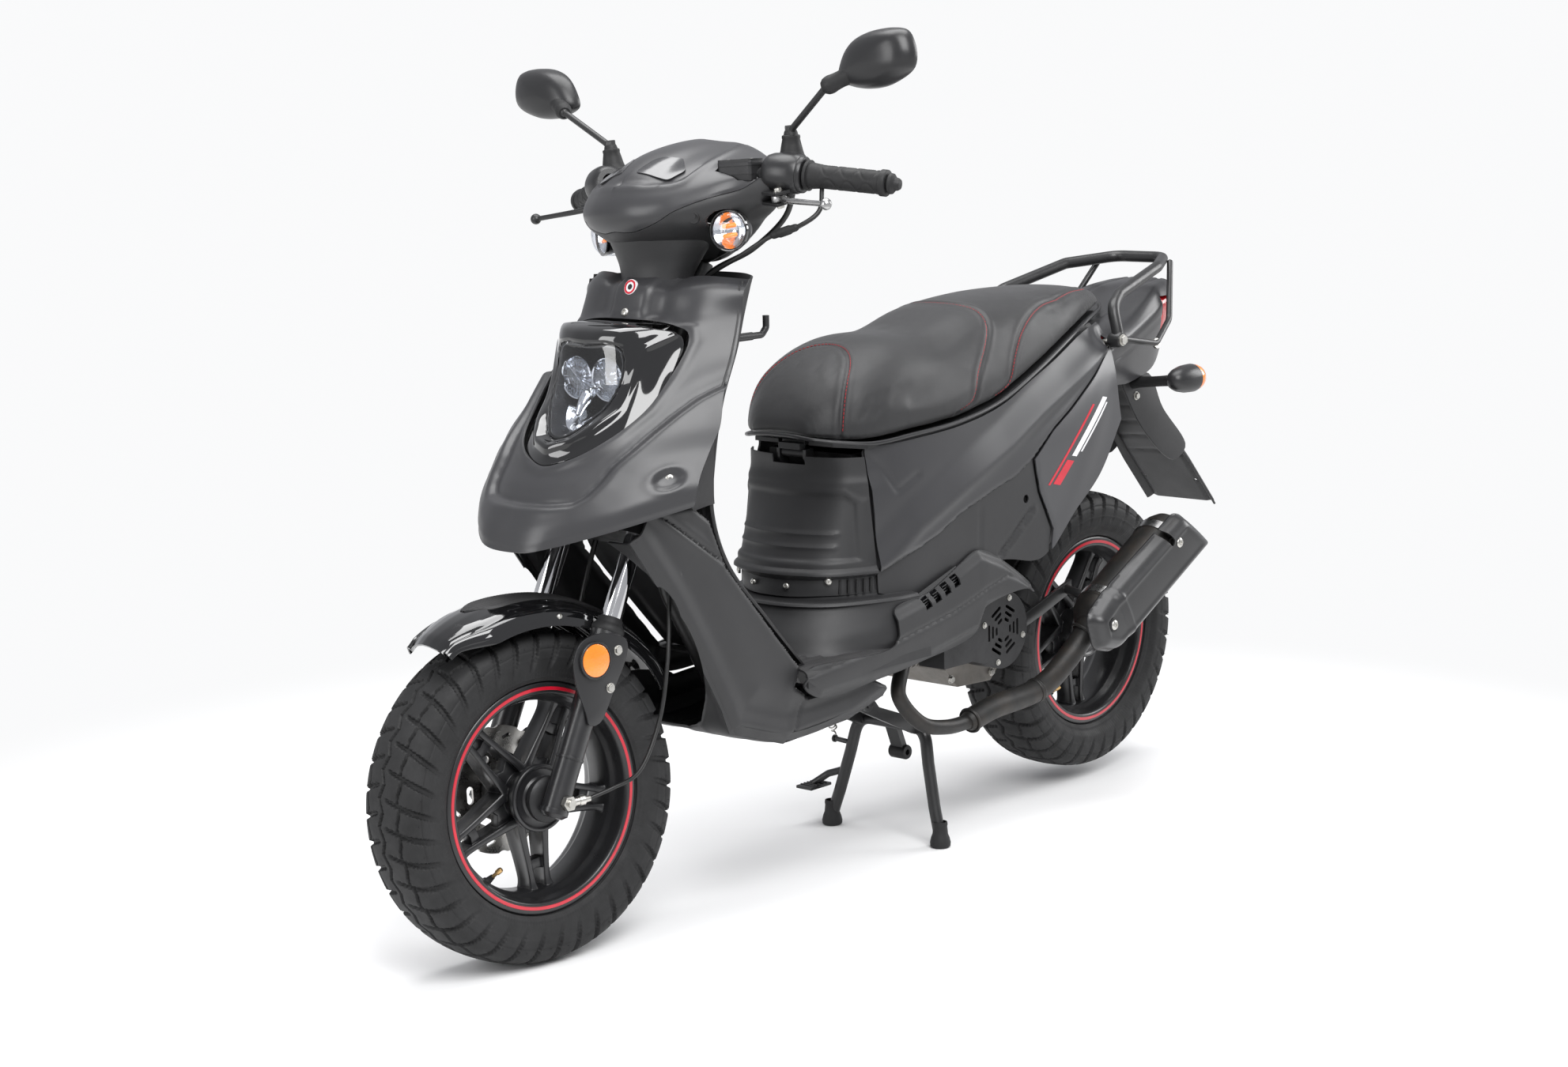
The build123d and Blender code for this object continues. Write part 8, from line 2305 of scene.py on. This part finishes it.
# ------------------------------------------------------------ exhaust, engine trim, stand, cables
def exhaust():
    g = Geo()
    p1 = spline([(-106, 52, 312), (-104, 74, 310), (-66, 98, 262), (-104, 112, 212), (-160, 118, 196), (-232, 120, 195)], 70)
    g.tube(p1, 12.2, 26)
    g.lathe([(-3, 12), (-3, 25), (4, 25), (4, 12), (-3, 12)], (-106, 52, 312), (0, 1, -.02), 30)
    g.out("exhaust_header", M["exhaust"], "engine", slot="exhaust_black", replaces=("exhaust",))
    g = Geo()
    p2 = spline([(-212, 120, 194), (-270, 122, 206), (-400, 130, 220), (-470, 138, 262), (-516, 152, 314)], 80)
    t = np.linspace(0, 1, 80)
    r2 = np.interp(t, [0, .02, .05, .9, 1], [13, 18.4, 19.4, 19.4, 24])
    g.tube(p2, r2, 32)
    g.out("exhaust_pipe", M["exhaust"], "engine", slot="exhaust_black")
    g = Geo()
    T, U, W = frames_along(p2)
    for i, rr in ((2, 21.0), (40, 20.2), (41, 20.2), (74, 25)):
        g.lathe([(-2.6, rr - 2), (-2.6, rr), (0, rr + 1.0), (2.6, rr), (2.6, rr - 2)], p2[i], T[i], 32)
    g.out("exhaust_welds", M["exhaust"], "engine", slot="exhaust_black")
    a, b = np.array([-509, 152, 310.0]), np.array([-752, 152, 440.0])
    d = unit(b - a)
    L = np.linalg.norm(b - a)
    g = Geo()
    g.lathe([(-4, .1), (-4, 22), (2, 33), (14, 41), (28, 45), (30, 45), (31, 46.2), (37, 46.2), (38, 45), (.86 * L, 45), (.87 * L, 46.2), (.87 * L + 6, 46.2), (.87 * L + 7, 45),
             (.93 * L, 43.5), (.985 * L, 37), (L, 28), (L + 1, 12.5), (L + 22, 12.5), (L + 22, 10), (L - 6, 10), (L - 6, .1)], a, d, 64)
    g.out("muffler_can", M["exhaust"], "engine", slot="exhaust_black")
    g = Geo()
    g.prism([(x, 67.5, z) for x, z in ((-382, 300), (-396, 300), (-480, 322), (-566, 350), (-566, 372), (-480, 346), (-384, 320))], (0, 6.5, 0))
    g.tube([(-389, 62, 310), (-389, 72, 310)], 6.5, 18)
    g.tube([(-550, 70, 358), (-552, 112, 348)], 8, 20)
    g.hexbolt((-389, 74, 310), (0, 1, 0), 6.5, 6)
    g.out("muffler_bracket", M["frame"], "engine", slot="frame_black", bevel=1.0)
    # satin heat shield with rolled edges, a screw at each end and a cooling slot
    OUT = [(-717, 480), (-803, 421), (-796, 405), (-528, 264), (-470, 278), (-455, 335), (-513, 376)]
    P_ = np.array(fillet_path([np.array([x, z, 0.0]) for x, z in [OUT[0]] + OUT[1:] + [OUT[0]]], 16, 6))[:, :2]
    # round every corner, the start as well
    n_ = len(OUT)
    pts = []
    for i in range(n_):
        A_, B_, C_ = (np.array(OUT[(i + k) % n_], float) for k in (-1, 0, 1))
        u, w = unit(A_ - B_), unit(C_ - B_)
        q = min(18, .4 * np.linalg.norm(A_ - B_), .4 * np.linalg.norm(C_ - B_))
        for k in range(7):
            t_ = k / 6
            pts.append((1 - t_) ** 2 * (B_ + u * q) + 2 * t_ * (1 - t_) * B_ + t_ * t_ * (B_ + w * q))
    loop = [tuple(p) for p in pts]
    e1 = unit(np.array([b[0] - a[0], b[2] - a[2]]))
    e2 = np.array([-e1[1], e1[0]])
    o_ = np.array([-470.0, 262])
    us, vs = np.linspace(-30, 400, 170), np.linspace(-70, 130, 90)
    P2 = np.array([o_ + e1 * u * 1 + e2 * -v for u in us for v in vs])
    inn = np.abs(poly_dist(P2, loop + [loop[0]]))
    c_in = np.zeros(len(P2), bool)
    for i in range(len(loop)):
        (x1, z1), (x2, z2) = loop[i], loop[(i + 1) % len(loop)]
        if z1 != z2:
            c_in ^= ((z1 > P2[:, 1]) != (z2 > P2[:, 1])) & (P2[:, 0] < (x2 - x1) * (P2[:, 1] - z1) / (z2 - z1) + x1)
    si = np.where(c_in, inn, 0)
    y = 210.6 - 13 * (1 - smooth01(si / 18)) - 10 * (1 - smooth01(si / 9))
    ax_c = (P2 - np.array([a[0], a[2]])) @ e2
    y = y - 5.5 * (ax_c / 60) ** 2
    y = y + 1.8 * np.exp(-((inn - 22) / 4) ** 2)
    # stepped panel towards the front end
    al = (P2 - np.array([a[0], a[2]])) @ e1
    y = y - 2.0 * smooth01((34 - al) / 10) + 1.6 * np.exp(-((al - 40) / 4) ** 2)
    G = np.stack([P2[:, 0], y, P2[:, 1]], -1).reshape(170, 90, 3)
    slot = Geo()
    sc = np.array([-667, 442.0])
    sl = []
    for k in range(32):
        t_ = 2 * pi * k / 32
        q = sc + np.array([cos(rad(62)), sin(rad(62))]) * cos(t_) * 17 + np.array([-sin(rad(62)), cos(rad(62))]) * sin(t_) * 8
        sl.append((q[0], 150, q[1]))
    slot.prism(sl, (0, 90, 0))
    sheet("heat_shield", G, M["shieldmetal"], "engine", 2.6, keep=y_prism(loop, 150, 230), cut=[slot], side=side_of(G, (0, 1, 0)),
          replaces=("muffler_shield",), slot="exhaust_black", level=0)
    g = Geo()
    for x, z in ((-694, 430), (-500, 318)):
        g.lathe([(196, 8), (204, 12), (209, 12.5), (210, 11), (210, 7.5), (196, 7.5)], (x, 0, z), (0, 1, 0), 30)
    g.out("shield_cups", M["rubber"], "engine", slot="rubber")
    g = Geo()
    for x, z in ((-694, 430), (-500, 318)):
        g.screw((x, 208.6, z), (0, 1, 0), 8.6, 4.2)
    g.out("shield_bolts", M["zinc"], "engine", slot="zinc")
    g = Geo()
    for x, z in ((-694, 430), (-500, 318)):
        g.tube([(x, 190, z), (x, 204, z)], 6, 16)
    for t0 in (.16, .84):
        c = a + (b - a) * t0
        g.lathe([(-9, 44.6), (-9, 46.8), (9, 46.8), (9, 44.6), (-9, 44.6)], c, d, 64)
    g.out("muffler_straps", M["steel"], "engine", slot="steel")


def engine_trim():
    g = Geo()
    for sd, y_ in ((1, 62.4), (-1, -72.4)):
        for x, z in ((-244, 252), (-352, 246), (-385, 276), (-384, 346)):
            g.hexbolt((x, y_, z), (0, sd, 0), 5.2, 5)
    for y in (-30, 34):
        for z in (306, 362):
            g.hexbolt((-90, y, z), (1, 0, 0), 5.5, 6)
    g.out("case_bolts", M["zinc"], "engine", slot="zinc")
    g = Geo()
    g.lathe([(0, .1), (0, 9.5), (4, 9.5), (5, 8), (16, 7.6), (17, 5.2), (34, 4.2), (35, .1)], (-150, 10, 385), (0, .2, 1), 24)
    g.out("spark_cap", M["rubber"], "engine", slot="rubber")
    g = Geo()
    g.tube(spline([(-150, 17, 418), (-170, 30, 440), (-205, 44, 448), (-235, 50, 432)], 26), 3.2, 12)
    g.out("spark_lead", M["brown"], "engine", slot="rubber")
    g = Geo()
    for k in range(8):
        a_ = 2 * pi * k / 8 + .3
        g.hexbolt((-317 + 54 * cos(a_), 116, 329 + 54 * sin(a_)), (0, 1, 0), 3.8, 3.4) if k % 2 == 0 else None
    g.out("shroud_bolts", M["zinc"], "engine", slot="zinc")
    # drive cover screws
    g = Geo()
    for x, z in ((-300, 282), (-360, 378), (-470, 372), (-560, 330), (-640, 305), (-560, 214), (-470, 222)):
        g.hexbolt((x, -134, z), (0, -1, 0), 4.6, 4)
    g.out("drive_cover_bolts", M["zinc"], "engine", slot="zinc")


def stand():
    g = Geo()
    legs = [(-145, 115, 15), (-150, 100, 62), (-158, 82, 130), (-165, 70, 187)]
    path = fillet_path([np.array(p, float) for p in legs] + [np.array((x, -y, z), float) for x, y, z in legs[::-1]], 40, 10)
    g.tube(path, 10, 24)
    g.tube([(-158, -80, 142), (-152, -112, 146)], 4.2, 14, round_ends=True)
    g.lathe([(-2, 3), (-2, 6.4), (1.5, 6.4), (1.5, 3)], (-152, -112, 146), (0, -1, 0), 18)
    for sd in (1, -1):
        pl = fillet_path([np.array([x, 0, z], float) for x, z in ((-14, 266), (-38, 266), (-60, 240), (-176, 196), (-176, 178), (-150, 178), (-22, 238), (-12, 246), (-14, 266))], 8, 5)
        g.prism([(p[0], 58 * sd - 4, p[2]) for p in pl[:-1]], (0, 8, 0))
        g.lathe([(54, 6.6), (54, 12), (70, 12), (70, 6.6), (54, 6.6)], (-25, 0, 252), (0, sd, 0), 30)
    g.prism([(x, -12, z) for x, z in ((-160, 186), (-172, 186), (-192, 138), (-182, 132))], (0, 24, 0))
    g.tube(fillet_path([np.array(p, float) for p in ((-154, -92, 96), (-150, -126, 84), (-140, -150, 66))], 12, 6), 6, 18)
    g.out("stand_frame", M["frame"], "stand", slot="frame_black", replaces=("center_stand",))
    g = Geo()
    for sd in (1, -1):
        leg_d = unit(np.array([-150, 100 * sd, 62.0]) - np.array([-145, 115 * sd, 14.0]))
        c = np.array([-145, 115 * sd, 12.0])
        g.lathe([(-11.6, .1), (-12, 14), (-10, 16.5), (-4, 17), (4, 15), (10, 12.6), (22, 11.6), (26, 12.2), (30, 11.4), (30, 9.8)], c, (0, 0, 1), 36)
    g.lathe([(-16, 5), (-16, 11.2), (-14, 12.2), (14, 12.2), (16, 11.2), (16, 5), (-16, 5)], (-186, 0, 134), (0, 1, 0), 30)
    g.out("stand_rubbers", M["rubber"], "stand", slot="rubber")
    g = Geo()
    g.box((-140, -150, 62.5), (52, 34, 5))
    for k in (-16, -8, 0, 8, 16):
        g.box((-140 + k, -150, 65.8), (3, 30, 2.2))
    g.out("stand_tread", M["frame"], "stand", slot="frame_black", bevel=1.2)
    # return spring, hooked between the frame lug and the stand
    A_, B_ = np.array([-100, -100, 236.0]), np.array([-142, -106, 166.0])
    ax = unit(B_ - A_)
    u = unit(np.cross(ax, (0, 1, 0)))
    w = np.cross(ax, u)
    P_ = []
    n_ = 15
    Ln = np.linalg.norm(B_ - A_)
    for k in range(n_ * 14 + 1):
        t = k / (n_ * 14)
        an = 2 * pi * n_ * t
        P_.append(A_ + ax * Ln * t + 6 * (cos(an) * u + sin(an) * w))
    g = Geo()
    g.tube(P_, 1.35, 8)
    g.tube(spline([A_ - ax * 16, A_ - ax * 8, A_ + u * 6], 8), 1.5, 8)
    g.tube(spline([B_ + u * 6, B_ + ax * 8, B_ + ax * 15], 8), 1.5, 8)
    g.out("stand_spring", M["zinc"], "stand", slot="zinc")


def cables():
    st = lambda L_: [tuple(p) for p in steer(np.array(L_, float))]
    # throttle and brake lines leaving the left control, with the inline connector
    g = Geo()
    g.tube(spline([(244, 258, 1066), (256, 262, 1034), (282, 244, 1014), (298, 205, 1003), (314, 150, 976), (314, 92, 955), (308, 44, 932), (302, 26, 905)], 64), 3.4, 12)
    g.tube(spline([(250, 205, 1068), (246, 180, 1030), (258, 118, 985), (286, 44, 948), (294, 24, 905)], 50), 4.2, 12)
    g.tube(spline([(250, -205, 1068), (246, -180, 1030), (258, -118, 985), (286, -44, 948), (294, -24, 905)], 50), 4.2, 12)
    g.tube(spline([(246, -252, 1066), (262, -240, 1028), (282, -176, 992), (300, -84, 955), (298, -30, 910)], 50), 3.4, 12)
    g.out("control_cables", M["brown"], "bars", steered=True, slot="rubber")
    g = Geo()
    g.tube([(284, 241, 1013), (297, 209, 1004)], [5.5, 5.5], 18, round_ends=True)
    g.lathe([(-12, 3.4), (-12, 5.4), (-8, 6.8), (8, 6.8), (12, 5.4), (12, 3.4)], (290.5, 225, 1008.5), unit((13, -32, -9)), 20)
    g.out("cable_joiner", M["rubber"], "bars", steered=True, slot="rubber")
    # speed drive at the hub and its cable up to the neck
    g = Geo()
    hub = fp(6, 60, 98)
    g.lathe([(52, .1), (52, 30), (54, 33), (61, 33), (64, 30), (66, 18), (66, .1)], FRONT_AXLE, (0, 1, 0), 44)
    g.out("speed_drive", M["alublack"], "fork_lower", steered=True, slot="body_matte")
    g = Geo()
    q0 = FRONT_AXLE + np.array([-26, 84, -6.0])
    dv = unit((-1, .25, .05))
    g.lathe([(0, .1), (0, 6.4), (9, 6.4), (9, 7.6), (17, 7.6), (17, 5), (26, 4.2), (26, .1)], q0, dv, 20)
    g.out("speed_fitting", M["zinc"], "fork_lower", steered=True, slot="zinc")
    path = [q0 + dv * 24, q0 + dv * 60 + np.array([0, 2, 8]), fp(70, -60, 118), fp(150, -72, 118), fp(235, -58, 116), fp(330, -40, 100), fp(430, -20, 88), fp(520, -6, 60), fp(600, 4, 40)]
    P_ = spline(path, 110)
    m1 = tube_geo(P_, 3.1, 12)
    o = make("speed_cable", m1[0], m1[1], M["brown"], None, steered=True)
    s0, e0 = steer([fp(450, -20, 88)])[0] * MM, steer([fp(150, -70, 118)])[0] * MM
    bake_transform(o)
    g = Geo()
    g.lathe([(-6, 3.2), (-6, 5.4), (6, 5.4), (6, 3.2), (-6, 3.2)], P_[26], unit(P_[27] - P_[25]), 16)
    # brake hose on the caliper side
    path = [(FRONT_AXLE + np.array([-78, -64, 66.0])), fp(100, -74, -88), fp(190, -72, -104), fp(300, -44, -100), fp(420, -20, -80), fp(540, 0, -50)]
    P_ = spline(path, 90)
    m1 = tube_geo(P_, 4.0, 12)
    o = make("brake_hose", m1[0], m1[1], M["brown"], None, steered=True)
    s0, e0 = steer([fp(430, -20, -80)])[0] * MM, steer([fp(150, -72, -98)])[0] * MM
    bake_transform(o)
    g = Geo()
    c = FRONT_AXLE + np.array([-78, -64, 62.0])
    g.lathe([(-6, .1), (-6, 8), (6, 8), (6, .1)], c, (0, 0, 1), 6)
    g.hexbolt(c + np.array([0, 0, 6]), (0, 0, 1), 6, 5)
    g.out("hose_banjo", M["zinc"], "fork_lower", steered=True, slot="zinc")


def shock_coil():
    top, bot = np.array([-590, -100, 655.0]), np.array([-672, -100, 345.0])
    ax = unit(bot - top)
    u = np.array([0, 1.0, 0])
    w = np.cross(ax, u)
    Ls = np.linalg.norm(bot - top) - 101
    n_, P_ = 8.4, []
    m_ = 420
    for k in range(m_ + 1):
        t = k / m_
        a = 2 * pi * n_ * t
        # closed end coils, open in the middle
        h = t - .045 * sin(2 * pi * t)
        P_.append(top + ax * (42 + (Ls - 4) * h) + 22 * (cos(a) * u + sin(a) * w))
    v, f = tube_geo(P_, 4.0, 12)
    o = make("spring_coil", v, f, M["frame"], "shock_upper", replaces=("shock_spring",), slot="frame_black")
    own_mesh(o)


exhaust()
shock_coil()
engine_trim()
stand()
cables()
# ------------------------------------------------------------ floor, light, camera
def stage_all():
    fl = bpy.data.meshes.new("floor")
    n = 24
    vs = [((i / n - .5) * 30, (j / n - .5) * 30, -0.0005) for j in range(n + 1) for i in range(n + 1)]
    fl.from_pydata(vs, [], grid_faces(n + 1, n + 1))
    fo = link(bpy.data.objects.new("studio_floor", fl))
    m = bpy.data.materials.new("studio_floor")
    m.use_nodes = True
    b = m.node_tree.nodes["Principled BSDF"]
    b.inputs["Base Color"].default_value = (.86, .86, .86, 1)
    b.inputs["Roughness"].default_value = .62
    ft = m.node_tree
    fc = ft.nodes.new("ShaderNodeTexCoord")
    fl_ = ft.nodes.new("ShaderNodeVectorMath"); fl_.operation = "LENGTH"
    fr_ = ft.nodes.new("ShaderNodeMapRange"); fr_.interpolation_type = "SMOOTHSTEP"
    fr_.inputs["From Min"].default_value = .75
    fr_.inputs["From Max"].default_value = 1.9
    fe = ft.nodes.new("ShaderNodeEmission")
    fe.inputs["Color"].default_value = (.955, .958, .965, 1)
    fm = ft.nodes.new("ShaderNodeMixShader")
    ft.links.new(fc.outputs["Object"], fl_.inputs[0])
    ft.links.new(fl_.outputs["Value"], fr_.inputs["Value"])
    ft.links.new(fr_.outputs["Result"], fm.inputs[0])
    ft.links.new(b.outputs["BSDF"], fm.inputs[1])
    ft.links.new(fe.outputs[0], fm.inputs[2])
    ft.links.new(fm.outputs[0], ft.nodes["Material Output"].inputs["Surface"])
    fl.materials.append(m)
    w = bpy.data.worlds.new("studio")
    bpy.context.scene.world = w
    w.use_nodes = True
    nt = w.node_tree
    bg = nt.nodes["Background"]
    bg.inputs["Color"].default_value = (.95, .96, 1.0, 1)
    bg.inputs["Strength"].default_value = .50
    bk = nt.nodes.new("ShaderNodeBackground")
    bk.inputs["Color"].default_value = (.955, .958, .965, 1)
    bk.inputs["Strength"].default_value = 1.0
    lp = nt.nodes.new("ShaderNodeLightPath")
    mx = nt.nodes.new("ShaderNodeMixShader")
    nt.links.new(lp.outputs["Is Camera Ray"], mx.inputs[0])
    nt.links.new(bg.outputs[0], mx.inputs[1])
    nt.links.new(bk.outputs[0], mx.inputs[2])
    nt.links.new(mx.outputs[0], nt.nodes["World Output"].inputs["Surface"])

    def area(name, loc, target, size, power, col=(1, 1, 1), sy=None):
        ld = bpy.data.lights.new(name, "AREA")
        ld.shape = "RECTANGLE"
        ld.size = size
        ld.size_y = sy or size
        ld.energy = power
        ld.color = col
        o = link(bpy.data.objects.new(name, ld))
        o.location = loc
        d = Vector(target) - Vector(loc)
        o.rotation_euler = d.to_track_quat("-Z", "Y").to_euler()
        return o

    area("key", (1.6, 2.6, 3.4), (0, 0, .6), 2.6, 190)
    area("top", (-.2, -.2, 3.6), (0, 0, .5), 3.0, 120, sy=2.2)
    area("front", (4.0, -.9, 1.7), (.3, 0, .6), 1.5, 60, sy=2.4)
    area("rear", (-3.4, 1.6, 2.0), (-.4, 0, .6), 1.8, 70)

    cd = bpy.data.cameras.new("photo_view")
    cam = link(bpy.data.objects.new("photo_view", cd))
    cd.sensor_width = 36
    cd.lens = 65.0
    cd.clip_end = 200
    y_, p_, r_ = rad(-138.25), rad(-9.49), rad(-1.28)
    f = np.array([cos(p_) * cos(y_), cos(p_) * sin(y_), sin(p_)])
    r = unit(np.cross(f, [0, 0, 1]))
    u = np.cross(r, f)
    R = cos(r_) * r + sin(r_) * u
    U = -sin(r_) * r + cos(r_) * u
    cam.matrix_world = Matrix(((R[0], U[0], -f[0], 3.3217), (R[1], U[1], -f[1], 2.8854),
                               (R[2], U[2], -f[2], 1.2599), (0, 0, 0, 1)))
    sc = bpy.context.scene
    sc.camera = cam
    sc.view_settings.view_transform = "Standard"
    sc.view_settings.look = "None"


stage_all()
